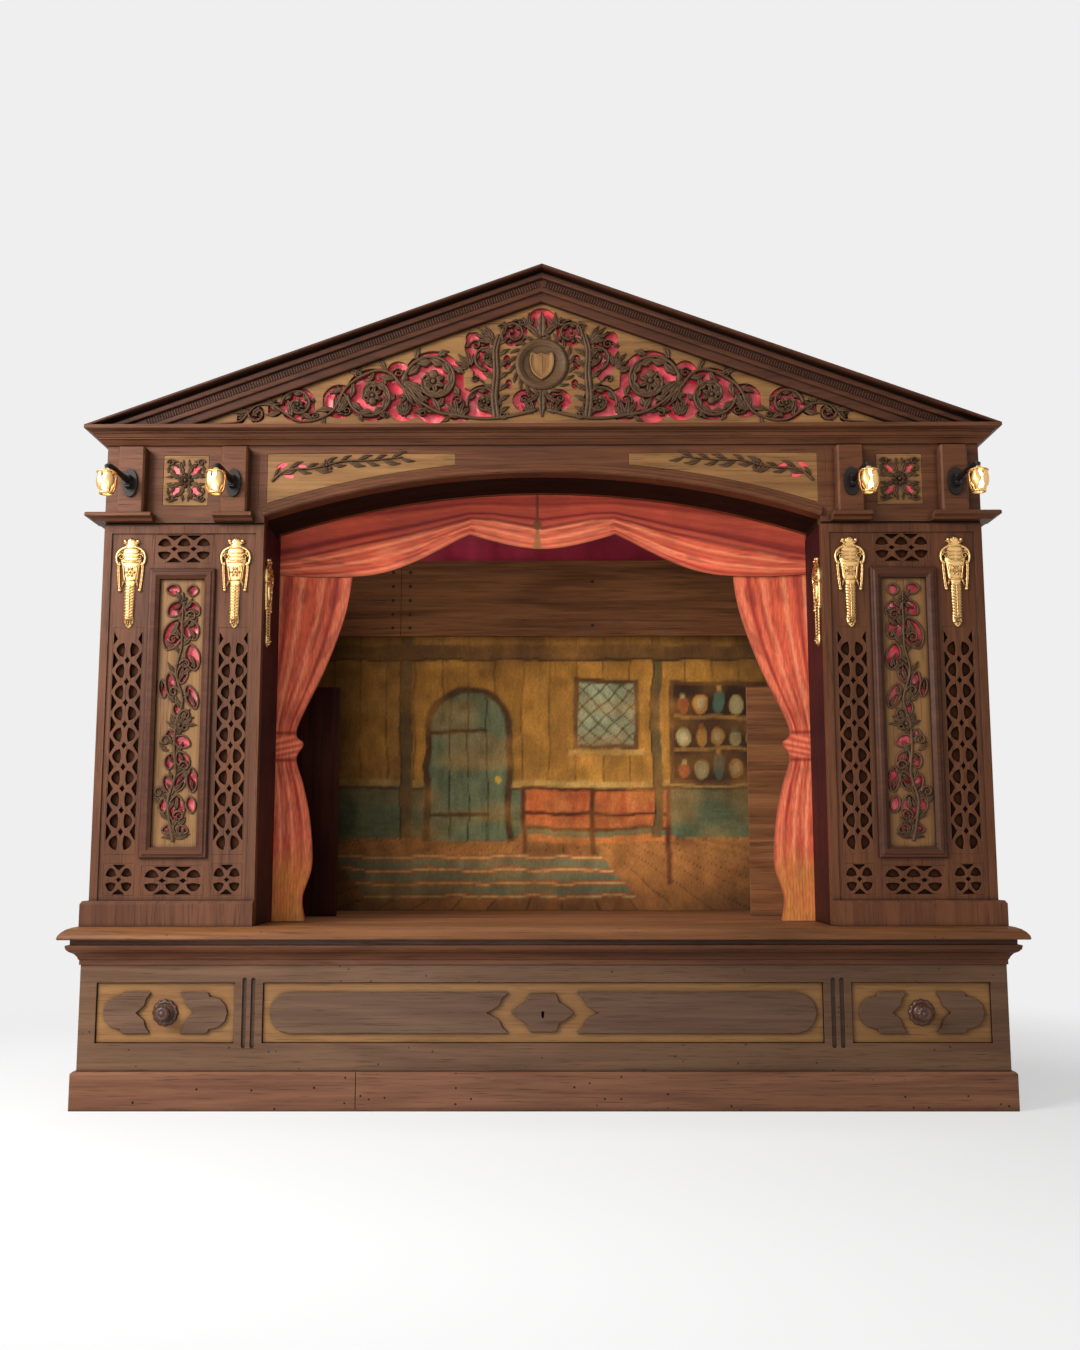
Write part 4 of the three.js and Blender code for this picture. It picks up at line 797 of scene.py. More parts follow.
def tube(rings: Array, looped: bool = False) -> Surface:
    """Close a stack of rings into one surface, with a fan over each end unless the stack is a loop.

    Args:
        rings: Points by ring, by place on the ring and by axis.
        looped: Whether the last ring joins the first.

    Returns:
        The closed surface.
    """
    n, k, _ = rings.shape
    ring = np.arange(k)
    after = (ring + 1) % k
    starts = np.arange(n if looped else n - 1)[:, None] * k
    nexts = (starts + k) % (n * k)
    quads = np.stack([starts + ring, starts + after, nexts + after, nexts + ring],
        axis=2).reshape(-1, 4)
    points = rings.reshape(-1, 3)
    tris = np.zeros((0, 3), int)
    if not looped:
        ends = np.stack([rings[0].mean(0), rings[-1].mean(0)])
        points = np.concatenate([points, ends])
        first, last = n * k, n * k + 1
        tail = (n - 1) * k
        tris = np.concatenate([np.stack([after, ring, np.full(k, first)], axis=1),
            np.stack([tail + ring, tail + after, np.full(k, last)], axis=1)])
    return Surface(points, quads, tris).outward()


BARE_BOARD = srgb(122, 92, 62)
# How far the edges of thin boards are eased
EASED = 0.0006
# Each side with the way that X runs there
SIDES = (("right", 1.0), ("left", -1.0))


def panel(front: Array, back: Array, colours: Array | None = None) -> Surface:
    """Close two grids of the same shape, one behind the other, into a thin panel.

    Args:
        front: The front's points by row, by column and by axis.
        back: The back's points.
        colours: Colours of the front's points; the back is bare board.

    Returns:
        The closed surface.
    """
    n, m, _ = front.shape
    size = n * m
    face = grid_quads(n, m)
    index = np.arange(size).reshape(n, m)
    rim = np.concatenate([index[0, :-1], index[:-1, -1], index[-1, :0:-1], index[:0:-1, 0]])
    rim_after = np.roll(rim, -1)
    sides = np.stack([rim, rim + size, rim_after + size, rim_after], axis=1)
    quads = np.concatenate([face, face[:, ::-1] + size, sides])
    if colours is not None:
        flat = colours.reshape(-1, 3)
        colours = np.concatenate([flat, np.broadcast_to(BARE_BOARD, flat.shape)])
    points = np.concatenate([front.reshape(-1, 3), back.reshape(-1, 3)])
    return Surface(points, quads, colours=colours).outward()


def painted_board(x: Array, z: Array, node: str, colours: Array) -> Surface:
    """Return a flat board on a grid in X and Z, as thick as a node and painted in front."""
    low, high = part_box(node)
    return panel(*(np.stack([x, np.full_like(x, y), z], axis=2) for y in (low.y, high.y)), colours)


def smoothed(points: Sequence[Sequence[float]], steps: int) -> Array:
    """Return a Catmull-Rom curve through points: the cubic that keeps each neighbour pair's slope.

    Args:
        points: The points it runs through.
        steps: How many points come back.

    Returns:
        The curve's points.
    """
    given = np.array(points, float)
    padded = np.concatenate([[2 * given[0] - given[1]], given, [2 * given[-1] - given[-2]]])
    place = np.linspace(0.0, len(given) - 1.0, steps)
    i = np.minimum(place.astype(int), len(given) - 2)
    t = (place - i)[:, None]
    a, b, c, d = (padded[i + k] for k in range(4))
    return 0.5 * (2 * b + (c - a) * t + (2 * a - 5 * b + 4 * c - d) * t ** 2
        + (3 * b - 3 * c + d - a) * t ** 3)


def wander(x: Array, z: Array, scale: float, seed: int) -> Array:
    """Return smooth noise from 0 to 1: values on a square lattice, eased between its corners.

    Args:
        x: First coordinates, in metres.
        z: Second coordinates, of the same shape.
        scale: Cells in a metre.
        seed: Which noise.

    Returns:
        The noise at each point.
    """
    lattice = np.random.default_rng(seed).random((64, 64))
    u, v = x * scale + 17.3, z * scale + 5.1
    i, j = np.floor(u).astype(int), np.floor(v).astype(int)
    s, t = u - i, v - j
    s, t = s * s * (3 - 2 * s), t * t * (3 - 2 * t)
    i0, j0, i1, j1 = i % 64, j % 64, (i + 1) % 64, (j + 1) % 64
    low = lattice[i0, j0] * (1 - s) + lattice[i1, j0] * s
    high = lattice[i0, j1] * (1 - s) + lattice[i1, j1] * s
    return low * (1 - t) + high * t


# Sections across a carved stroke: share of its half width, then share of its rise or, below
# nought, of its depth in the board
ROUND_SECTION = np.array([(-1, -1), (-1, 0), (-0.9, 0.5), (-0.55, 0.88), (0, 1), (0.55, 0.88),
    (0.9, 0.5), (1, 0), (1, -1)], float)
LEAF_SECTION = np.array([(-1, -1), (-1, 0.05), (-0.78, 0.62), (-0.42, 0.98), (-0.14, 0.72),
    (0, 0.42), (0.14, 0.72), (0.42, 0.98), (0.78, 0.62), (1, 0.05), (1, -1)], float)


@dataclass
class Carver:
    """Carved strokes on a face that looks towards the viewer, let in by a depth."""

    face: float
    depth: float
    made: list[Surface] = field(default_factory=list)

    def surface(self) -> Surface:
        """Return all that has been carved as one surface."""
        return Surface.joined(self.made)

    def _level(self, shares: Array, rise: Array | float) -> Array:
        """Return Y for shares of the rise or, below nought, of the depth."""
        return self.face - rise * np.maximum(shares, 0.0) + self.depth * np.maximum(-shares, 0.0)

    def stroke(self, path: Array, half: Array | float, rise: Array | float,
            section: Array = ROUND_SECTION) -> None:
        """Carry a section along a path in X and Z, square to it.

        Args:
            path: The path's points.
            half: Half the stroke's width, at each point or all along.
            rise: How far it stands out.
            section: The section carried along.
        """
        run = np.gradient(path, axis=0)
        run /= np.maximum(np.linalg.norm(run, axis=1, keepdims=True), 1e-9)
        across = np.stack([-run[:, 1], run[:, 0]], axis=1)
        wide = (np.broadcast_to(half, len(path))[:, None, None] * section[None, :, :1]
            * across[:, None, :])
        flat = path[:, None, :] + wide
        y = self._level(section[:, 1], np.broadcast_to(rise, len(path))[:, None])
        self.made.append(tube(np.stack([flat[..., 0], y, flat[..., 1]], axis=2)))

    def leaf(self, x: float, z: float, angle: float, length: float, width: float, rise: float,
            bend: float = 0.5, lobes: int = 3) -> None:
        """Carve a pointed leaf with lobes and a vein: a bent stroke whose width swells and ripples.

        Args:
            x, z: Where its stalk is.
            angle: The way it sets out, in radians.
            length, width: Its length and its greatest width.
            rise: How far it stands out.
            bend: How far it turns along its length, in radians.
            lobes: How many lobes each side has.
        """
        t = np.linspace(0.0, 1.0, 6 * lobes + 5)
        turn = angle + bend * (t - 0.2)
        step = length / (len(t) - 1)
        path = np.stack([x + np.cumsum(np.cos(turn)) * step, z + np.cumsum(np.sin(turn)) * step],
            axis=1)
        swell = np.sin(pi * np.clip(0.1 + 0.9 * t, 0, 1)) ** 0.75 * (1.0 - 0.25 * t)
        ripple = 1.0 - 0.26 * np.abs(np.sin(pi * lobes * t)) ** 3 * (t < 0.9)
        half = np.maximum(0.5 * width * swell * ripple, 0.0004)
        lift = rise * (0.35 + 0.65 * np.sin(pi * np.clip(t, 0.08, 0.94)))
        self.stroke(path, half, lift, LEAF_SECTION)

    def scroll(self, x: float, z: float, radius: float, start: float, hand: int, width: float,
            rise: float, turns: float = 1.25, inward: float = 0.76) -> None:
        """Carve a scroll: a spiral whose radius falls evenly with its turn, ending in a round bud.

        Args:
            x, z: Its middle.
            radius: Its radius.
            start: The angle it starts at.
            hand: 1 or -1, the way it winds.
            width: Its width at the start.
            rise: How far it stands out.
            turns: How far it winds.
            inward: How much of the radius it loses.
        """
        t = np.linspace(0.0, 1.0, 46)
        angle = start + hand * turns * 2 * pi * t
        r = radius * (1.0 - inward * t)
        path = np.stack([x + r * np.cos(angle), z + r * np.sin(angle)], axis=1)
        half = 0.5 * width * (1.0 - 0.45 * t)
        self.stroke(path, half, rise)
        self.boss(*path[-1], 0.17 * radius, rise * 1.15)

    def boss(self, x: float, z: float, radius: float, rise: float) -> None:
        """Carve a round button: rings of a flattened half sphere.

        Args:
            x, z: Its middle.
            radius: Its radius.
            rise: How far it stands out.
        """
        around = np.linspace(0.0, 2 * pi, 17)[:-1]
        rows = np.array([(1, -1), (1, 0), (0.92, 0.45), (0.66, 0.8), (0.3, 0.96)])
        flat = radius * rows[:, :1]
        y = np.repeat(self._level(rows[:, 1:], rise), 16, axis=1)
        rings = np.stack([x + flat * np.cos(around), y, z + flat * np.sin(around)], axis=2)
        self.made.append(tube(rings))

    def rim(self, outline: Array, half: float, rise: float) -> None:
        """Carve a bead along a closed outline, just outside it.

        Args:
            outline: The outline's points, counted against the clock.
            half: Half the bead's width.
            rise: How far it stands out.
        """
        run = np.roll(outline, -1, axis=0) - np.roll(outline, 1, axis=0)
        run /= np.maximum(np.linalg.norm(run, axis=1, keepdims=True), 1e-9)
        out = np.stack([run[:, 1], -run[:, 0]], axis=1)
        flat = outline[:, None, :] + (half * (ROUND_SECTION[None, :, :1] + 0.7)) * out[:, None, :]
        y = np.broadcast_to(self._level(ROUND_SECTION[:, 1], rise), flat.shape[:2])
        self.made.append(tube(np.stack([flat[..., 0], y, flat[..., 1]], axis=2), looped=True))

    def stem(self, points: Sequence[Sequence[float]], width: float, rise: float, taper: float = 0.5,
            steps: int = 80) -> None:
        """Carve a smooth stem through points that narrows evenly towards its end.

        Args:
            points: The points it runs through, in X and Z.
            width: Its width at the start.
            rise: How far it stands out.
            taper: How much of the width it loses.
            steps: How many points its line has.
        """
        path = smoothed(points, steps)
        self.stroke(path, 0.5 * width * (1.0 - taper * np.linspace(0.0, 1.0, steps)), rise)

    def sprig(self, points: Sequence[Sequence[float]], spacing: float, length: float, width: float,
            rise: float, lean: float = 0.9, bend: float = -0.7, lobes: int = 2) -> None:
        """Set leaves by turns on both sides of a stem, at even distances along it.

        Args:
            points: The points the stem runs through.
            spacing: The distance between leaves.
            length, width: Their length and width.
            rise: How far they stand out.
            lean: The angle they leave the stem at.
            bend: How far they turn, towards the stem when negative.
            lobes: How many lobes each side of a leaf has.
        """
        path = smoothed(points, 400)
        run = np.gradient(path, axis=0)
        far = np.concatenate([[0.0], np.cumsum(np.hypot(*np.diff(path, axis=0).T))])
        for number, place in enumerate(np.arange(0.4 * spacing, far[-1], spacing)):
            i = int(np.searchsorted(far, place))
            heading = atan2(run[i, 1], run[i, 0])
            side = 1 if number % 2 else -1
            size = 0.82 + 0.3 * ((number * 7) % 4) / 3
            self.leaf(*path[i], heading + side * lean, length * size, width * size, rise,
                side * bend, lobes)

    def rim_leaves(self, x: float, z: float, radius: float, start: float, hand: int, count: int,
            length: float, width: float, rise: float, inward: int) -> None:
        """Set leaves along a scroll's first turn, inside it or outside.

        Args:
            x, z: The scroll's middle.
            radius: Its radius.
            start: The angle it starts at.
            hand: The way it winds.
            count: How many leaves.
            length, width: Their length and width.
            rise: How far they stand out.
            inward: 1 for leaves that grow inwards, -1 outwards.
        """
        for share in (np.arange(count) + 0.5) / max(count, 1):
            angle = start + hand * 2 * pi * 0.92 * share
            r = radius * (1.0 - 0.56 * share)
            heading = angle + hand * (pi / 2 + 0.85 * inward)
            self.leaf(x + r * cos(angle), z + r * sin(angle), heading, length * (1 - 0.3 * share),
                width, rise, -0.9 * hand * inward, 2)

    def flower(self, x: float, z: float, radius: float, rise: float, petals: int = 5,
            turn: float = 0.0) -> None:
        """Carve a flower: a ring of broad petals round a button.

        Args:
            x: The middle's X.
            z: The middle's Z.
            radius: The flower's radius.
            rise: How far it stands out.
            petals: How many petals it has.
            turn: Where the first one points.
        """
        angles = turn + np.arange(petals) * 2 * pi / petals
        for a in angles:
            self.leaf(x + 0.18 * radius * cos(a), z + 0.18 * radius * sin(a), a, 0.82 * radius,
                1.15 * radius * sin(pi / petals) * 1.5, rise, 0.0, 1)
        self.boss(x, z, 0.26 * radius, rise * 1.35)


def plate(name: str, edges: Sequence[Array], holes: Sequence[Array], y_front: float, y_back: float,
        material: Material, bevel: float = EASED) -> Object:
    """Make a flat board with holes from a filled flat curve, its edges eased by a bevel.

    Args:
        name: The object's name.
        edges: The outlines of its boards in X and Z.
        holes: Outlines of the holes, which don't cross each other or the board's edge.
        y_front: Its front face.
        y_back: Its back face.
        material: Its material.
        bevel: How far the edges are eased.

    Returns:
        The board.
    """
    curve = bpy.data.curves.new(name, "CURVE")
    curve.dimensions = "2D"
    curve.fill_mode = "BOTH"
    curve.extrude = (y_back - y_front) / 2 - bevel
    if bevel:
        curve.bevel_depth = bevel
        curve.bevel_resolution = 0
        curve.offset = -bevel
    for number, line in enumerate([*edges, *holes]):
        x, z = line[:, 0], line[:, 1]
        turns_left = np.sum(x * np.roll(z, -1) - np.roll(x, -1) * z) > 0
        ordered = line if turns_left == (number < len(edges)) else line[::-1]
        spline = curve.splines.new("POLY")
        spline.points.add(len(ordered) - 1)
        spline.points.foreach_set("co", np.c_[ordered, np.zeros(len(ordered)),
            np.ones(len(ordered))].ravel())
        spline.use_cyclic_u = True
        spline.use_smooth = False
    source = bpy.data.objects.new(name, curve)
    bpy.context.scene.collection.objects.link(source)
    bpy.context.view_layer.update()
    mesh = bpy.data.meshes.new_from_object(source.evaluated_get(
        bpy.context.evaluated_depsgraph_get()))
    bpy.data.objects.remove(source)
    mesh.name = name
    middle = (y_front + y_back) / 2
    mesh.transform(Matrix.Translation((0.0, middle, 0.0)) @ Matrix.Rotation(pi / 2, 4, "X"))
    work = bmesh.new()
    work.from_mesh(mesh)
    bmesh.ops.remove_doubles(work, verts=work.verts, dist=1e-6)
    bmesh.ops.recalc_face_normals(work, faces=work.faces)
    work.to_mesh(mesh)
    work.free()
    mesh.materials.clear()
    mesh.materials.append(material)
    obj = bpy.data.objects.new(name, mesh)
    bpy.context.scene.collection.objects.link(obj)
    return obj


def oval(x: float, z: float, a: float, b: float, tilt: float = 0.0, count: int = 20,
        power: float = 1.0) -> Array:
    """Return an ellipse in X and Z whose height follows a power of its sine.

    Args:
        x, z: Its middle.
        a: Half its length.
        b: Half its width.
        tilt: Its turn.
        count: How many points it has.
        power: 1 for an ellipse, more for points at its ends.

    Returns:
        The outline.
    """
    t = np.linspace(0.0, 2 * pi, count + 1)[:-1]
    u, v = a * np.cos(t), b * np.sign(np.sin(t)) * np.abs(np.sin(t)) ** power
    c, s = cos(tilt), sin(tilt)
    return np.stack([x + u * c - v * s, z + u * s + v * c], 1)


def cloud(circles: Array, step: float = 0.002) -> Array:
    """Return the outline round a chain of overlapping circles: highest and lowest rim at each X.

    Args:
        circles: Middle X, middle Z and radius of each; together they cover one run of X.
        step: Spacing of the outline's points.

    Returns:
        The outline.
    """
    x0 = (circles[:, 0] - circles[:, 2]).min()
    x1 = (circles[:, 0] + circles[:, 2]).max()
    x = np.linspace(x0, x1, max(int((x1 - x0) / step), 8))[1:-1]
    reach = circles[:, 2] ** 2 - (x[:, None] - circles[:, 0]) ** 2
    rim = np.sqrt(np.maximum(reach, 0.0))
    top = np.where(reach > 0, circles[:, 1] + rim, -np.inf).max(1)
    low = np.where(reach > 0, circles[:, 1] - rim, np.inf).min(1)
    return np.concatenate([np.stack([x, top], 1), np.stack([x[::-1], low[::-1]], 1)])


def settle(obj: Object, slot: str, *nodes: str, body: str = "stand") -> Object:
    """Attach a new piece to its body, hide the nodes that it stands for, and log its slot.

    Args:
        obj: The piece.
        slot: The record's material slot.
        *nodes: Nodes of the frame that it replaces.
        body: The body that it rides on.

    Returns:
        The piece.
    """
    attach(obj, body)
    if nodes:
        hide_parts(*nodes)
    LOG.info("%s: %s, on %s", obj.name, slot, body)
    return obj


def block(x0: float, x1: float, y0: float, y1: float, z0: float, z1: float) -> Surface:
    """Return a plain board between two corners.

    Args:
        x0: Its left.
        x1: Its right.
        y0: Its front.
        y1: Its back.
        z0: Its foot.
        z1: Its top.

    Returns:
        The board.
    """
    points = np.array([(x, y, z) for x in (x0, x1) for y in (y0, y1) for z in (z0, z1)])
    quads = np.array([(0, 1, 3, 2), (4, 6, 7, 5), (0, 4, 5, 1), (2, 3, 7, 6), (0, 2, 6, 4),
        (1, 5, 7, 3)])
    return Surface(points, quads).outward()


def lathe(profile: Array, x: float, y: float, sides: int = 40, forward: bool = False,
        z: float = 0.0, petals: int = 0, petal_share: float = 0.0) -> Surface:
    """Turn a profile about an upright axis, or about one that runs to the viewer.

    Args:
        profile: Radius and place along the axis of each ring.
        x: The axis's X.
        y: The axis's Y, or where the profile starts when it runs forward.
        sides: Points round each ring.
        forward: Whether the axis runs to the viewer.
        z: The axis's Z when it runs forward.
        petals: How many petals ripple the rings, by a cosine round them.
        petal_share: How deep they are, by ring as a share of its radius.

    Returns:
        The turned surface.
    """
    around = np.linspace(0, 2 * pi, sides + 1)[:-1]
    ripple = 1 + np.reshape(petal_share, (-1, 1)) * np.cos(petals * around)
    r = profile[:, :1] * ripple
    along = np.repeat(profile[:, 1:], sides, axis=1)
    if forward:
        return tube(np.stack([x + r * np.cos(around), y - along, z + r * np.sin(around)], axis=2))
    return tube(np.stack([x + r * np.cos(around), y + r * np.sin(around), along], axis=2))


def merged(name: str, surfaces: Sequence[Surface], material: Material,
        smooth: bool = True) -> Object:
    """Build several surfaces as one piece."""
    return Surface.joined(surfaces).build(name, material, smooth)


# Painted flats


class Painter:
    """Coats of colour laid over each other on a surface."""

    def __init__(self, x: Array, z: Array, ground: Colour) -> None:
        """Start with one ground colour.

        Args:
            x: Where each point is, across.
            z: Where each point is, upwards.
            ground: The ground's colour.
        """
        self.x, self.z = x, z
        self.colour = np.broadcast_to(np.array(ground), (*x.shape, 3)).copy()

    def coat(self, mask: Array, colour: Colour | Array) -> None:
        """Lay a colour where the mask is."""
        self.colour += np.clip(mask, 0, 1)[..., None] * (np.array(colour) - self.colour)

    def dab(self, mask: Array, red: int, green: int, blue: int) -> None:
        """Lay a colour given from 0 to 255 where the mask is."""
        self.coat(mask, srgb(red, green, blue))

    def rectangle(self, x0: float, x1: float, z0: float, z1: float, soft: float = 0.004) -> Array:
        """Return the mask of a rectangle whose edges fade over soft.

        Args:
            x0: Its left.
            x1: Its right.
            z0: Its foot.
            z1: Its top.
            soft: How wide its edges fade.

        Returns:
            The mask, from 0 to 1.
        """
        inside = np.minimum(np.minimum(self.x - x0, x1 - self.x),
            np.minimum(self.z - z0, z1 - self.z))
        return np.clip(inside / soft + 0.5, 0, 1)

    def round(self, x: float, z: float, a: float, b: float, soft: float = 0.1) -> Array:
        """Return the mask of an ellipse, its edge soft in shares of its size."""
        far = np.hypot((self.x - x) / a, (self.z - z) / b)
        return np.clip((1 - far) / soft + 0.5, 0, 1)

    def line(self, x0: float, z0: float, x1: float, z1: float, width: float) -> Array:
        """Return a straight stroke's mask: one minus the distance to it over its half width.

        Args:
            x0: The start's X.
            z0: The start's Z.
            x1: The end's X.
            z1: The end's Z.
            width: How wide the stroke is.

        Returns:
            The mask, from 0 to 1.
        """
        dx, dz = x1 - x0, z1 - z0
        t = np.clip(((self.x - x0) * dx + (self.z - z0) * dz) / (dx * dx + dz * dz), 0, 1)
        far = np.hypot(self.x - x0 - t * dx, self.z - z0 - t * dz)
        return np.clip(1.5 - far / (0.5 * width), 0, 1)

    def shade(self, values: Array) -> None:
        """Multiply the colours."""
        self.colour *= values[..., None]


@dataclass(frozen=True)
class PaintedFinish:
    """Old distemper on board: the laid colours, broken by brush strokes and broad changes of tone
    and roughness.
    """

    name: str
    roughness: float = 0.78
    stroke: float = 0.5
    stretch: tuple[float, float, float] = (60.0, 60.0, 9.0)

    def build(self) -> Material:
        """Build the material.

        Returns:
            The material.
        """
        material, g, shader = new_material(self.name)
        place = g.place()
        laid = g.add("Attribute", attribute_name="Paint").outputs["Color"]
        brushed = g.noise(g.stretched(place, *self.stretch), 5.0, 4.0, 0.6)
        broad = g.noise(place, 9.0, 3.0, 0.6)
        value = g.plus(g.remap(brushed, 0.3, 0.7, -0.5 * self.stroke, 0.5 * self.stroke),
            g.remap(broad, 0.3, 0.7, 0.86, 1.14))
        rough = g.remap(broad, 0.3, 0.7, self.roughness - 0.08, self.roughness + 0.08)
        g.wire(shader, {"Base Color": g.tinted(laid, value), "Roughness": rough,
            "Specular IOR Level": 0.3, "Normal": g.bump(brushed, 0.3, 0.0004)})
        return material


@dataclass
class PaintedDrapery:
    """The valance and the two curtains: boards cut out and painted as gathered cloth."""

    half: float = 0.64
    stage_half: float = 0.606
    pilaster_top: float = 1.237
    reach: float = 0.082
    valance_top: float = 1.4
    foot: float = 0.3723
    curtain_height: float = 0.8817
    light: Colour = srgb(250, 146, 104)
    mid: Colour = srgb(228, 100, 68)
    dark: Colour = srgb(176, 62, 50)
    deep: Colour = srgb(118, 34, 28)
    gold: Colour = srgb(196, 140, 56)
    valance_curves: tuple = (((0.0, 0.22), (0.06, 0.22), (0.14, 0.1), (0.262, -0.2)),
        ((0.262, -0.2), (0.36, 0.1), (0.5, 1.0), (0.69, 1.0)), ((0.69, 1.0), (0.78, 1.04),
        (0.88, 1.02), (1.0, 0.9)))
    curtain_edge: tuple = ((0.88, 0.0), (0.89, 0.06), (0.858, 0.14), (0.868, 0.25), (0.895, 0.34),
        (0.925, 0.41), (0.9, 0.45), (0.925, 0.49), (0.82, 0.65), (0.75, 0.79), (0.725, 0.9),
        (0.72, 1.0))
    # Where the swags are tied, and the middle and side swags' top: distance from the middle, Z
    swag_tie: float = 0.168
    swag_top: tuple = ((0, 1.268), (0.115, 1.29), (0.168, 1.292), (0.3, 1.256), (0.565, 1.2),
        (0.64, 1.19))
    tassel_x: float = -0.012
    tassel_skirt: tuple[float, float] = (1.212, 1.268)
    tassel_top: float = 1.345
    # The curtain's tie as shares of its height: middle and half width, then its two cords
    curtain_tie: tuple[float, float] = (0.442, 0.034)
    curtain_cords: tuple[float, float] = (0.408, 0.478)

    def _lower_edge(self, x: Array) -> Array:
        """Height of the valance's lower edge: three cubic curves, mirrored.

        Args:
            x: Where the edge is read.

        Returns:
            Its height there.
        """
        t = np.linspace(0.0, 1.0, 60)[:, None]
        rows = []
        for a, b, c, d in np.array(self.valance_curves):
            rows.append((1 - t) ** 3 * a + 3 * (1 - t) ** 2 * t * b + 3 * (1 - t) * t ** 2 * c
                + t ** 3 * d)
        line = np.concatenate(rows)
        return np.interp(np.abs(x), line[:, 0] * self.half,
            self.pilaster_top - line[:, 1] * self.reach)

    def _folds(self, across: Array, along: Array, seed: int, count: float) -> Array:
        """Return folds from 0, dark, to 1, light: sums of waves across that drift down the cloth.

        Args:
            across: The place across the folds, from 0 to 1.
            along: The place down the cloth.
            seed: The seed of the waves.
            count: How many folds there are.

        Returns:
            How light each point is.
        """
        drift = 0.5 * (wander(along * 0 + 0.3, along, 2.0, seed) - 0.5)
        wave = 0.55 * np.sin(2 * pi * (count * across + drift))
        wave += 0.3 * np.sin(2 * pi * (2.3 * count * across + 2 * drift + 0.2))
        wave += 0.5 * (wander(across * 0.9, along * 0.12, 26.0, seed + 1) - 0.5)
        return np.clip(0.5 + 0.5 * wave, 0, 1)

    def _dye(self, painter: Painter, folds: Array, across: Array, along: Array) -> None:
        """Turn folds into dark, middle and light coral, with fine deep and pale strokes.

        Args:
            painter: The painter of the board.
            folds: How light each point is.
            across: The place across the folds.
            along: The place down the cloth.
        """
        painter.coat(np.clip(1 - 2.2 * folds, 0, 1), self.dark)
        painter.coat(np.clip(2.4 * folds - 1.3, 0, 1), self.light)
        lines = wander(across, along, 170.0, 11)
        painter.coat(0.42 * np.clip((lines - 0.66) * 6, 0, 1), self.deep)
        painter.coat(0.38 * np.clip((0.34 - lines) * 6, 0, 1), self.light)

    def _valance(self) -> Surface:
        """Paint the valance: two side swags, a middle swag and a darker gathered head.

        Returns:
            The painted valance.
        """
        x = np.linspace(-self.half, self.half, 501)
        low = self._lower_edge(x)
        share = np.concatenate([np.linspace(0.0, 0.62, 80), np.linspace(0.65, 1.0, 10)])[:, None]
        z = low + share * (self.valance_top - low)
        xx = np.broadcast_to(x, z.shape)
        side = np.abs(xx)
        tie = self.swag_tie
        swag_top = np.interp(side, *np.transpose(self.swag_top))
        painter = Painter(xx, z, self.mid)
        inside = (z - low) / np.maximum(swag_top - low, 0.004)
        fan = np.where(side > tie, inside + 0.5 * (side - tie), inside * 0.9)
        self._dye(painter, self._folds(fan, xx * 1.3, 3, 2.6), z - 0.8 * low, 0.1 * xx)
        middle = side < tie - 0.01
        painter.coat(0.25 * middle * (1 - np.abs(inside - 0.4)), self.light)
        head = np.clip((z - swag_top) / 0.006, 0, 1)
        crown = (z - swag_top) / np.maximum(self.tassel_top - swag_top, 0.01)
        head_folds = self._folds(crown * 0.9 + 0.3 * side, xx, 7, 2.2)
        dull = np.array(self.dark) * 0.9 + 0.1 * np.array(self.mid)
        painter.coat(head, dull)
        painter.coat(head * np.clip(1.2 * head_folds - 0.35, 0, 0.75), np.array(self.mid) * 0.92)
        painter.coat(head * np.clip(1 - 2.6 * head_folds, 0, 0.8), self.deep)
        painter.coat(0.8 * np.exp(-((z - swag_top) / 0.004) ** 2), self.deep)
        painter.coat(0.5 * np.exp(-((z - low) / 0.005) ** 2), self.deep)
        self._tassel(painter)
        return painted_board(xx, z, "valance", painter.colour)

    def _tassel(self, painter: Painter) -> None:
        """Paint a hanging tassel over the middle: a cord, a knot and a flared skirt of threads.

        Args:
            painter: The painter of the board.
        """
        x, (foot, waist) = self.tassel_x, self.tassel_skirt
        dx = np.abs(painter.x - x)
        skirt = np.clip((0.004 + 0.16 * (waist - painter.z) - dx) / 0.003, 0, 1)
        skirt *= (painter.z > foot) * (painter.z < waist)
        threads = 0.6 + 0.4 * np.sin(painter.x * 2600)
        painter.dab(0.9 * skirt, 150, 96, 52)
        painter.dab(0.5 * skirt * threads, 208, 146, 84)
        painter.dab(painter.round(x, 1.276, 0.01, 0.012), 122, 70, 38)
        painter.dab(painter.line(x, 1.285, x, self.tassel_top, 0.006), 110, 56, 34)

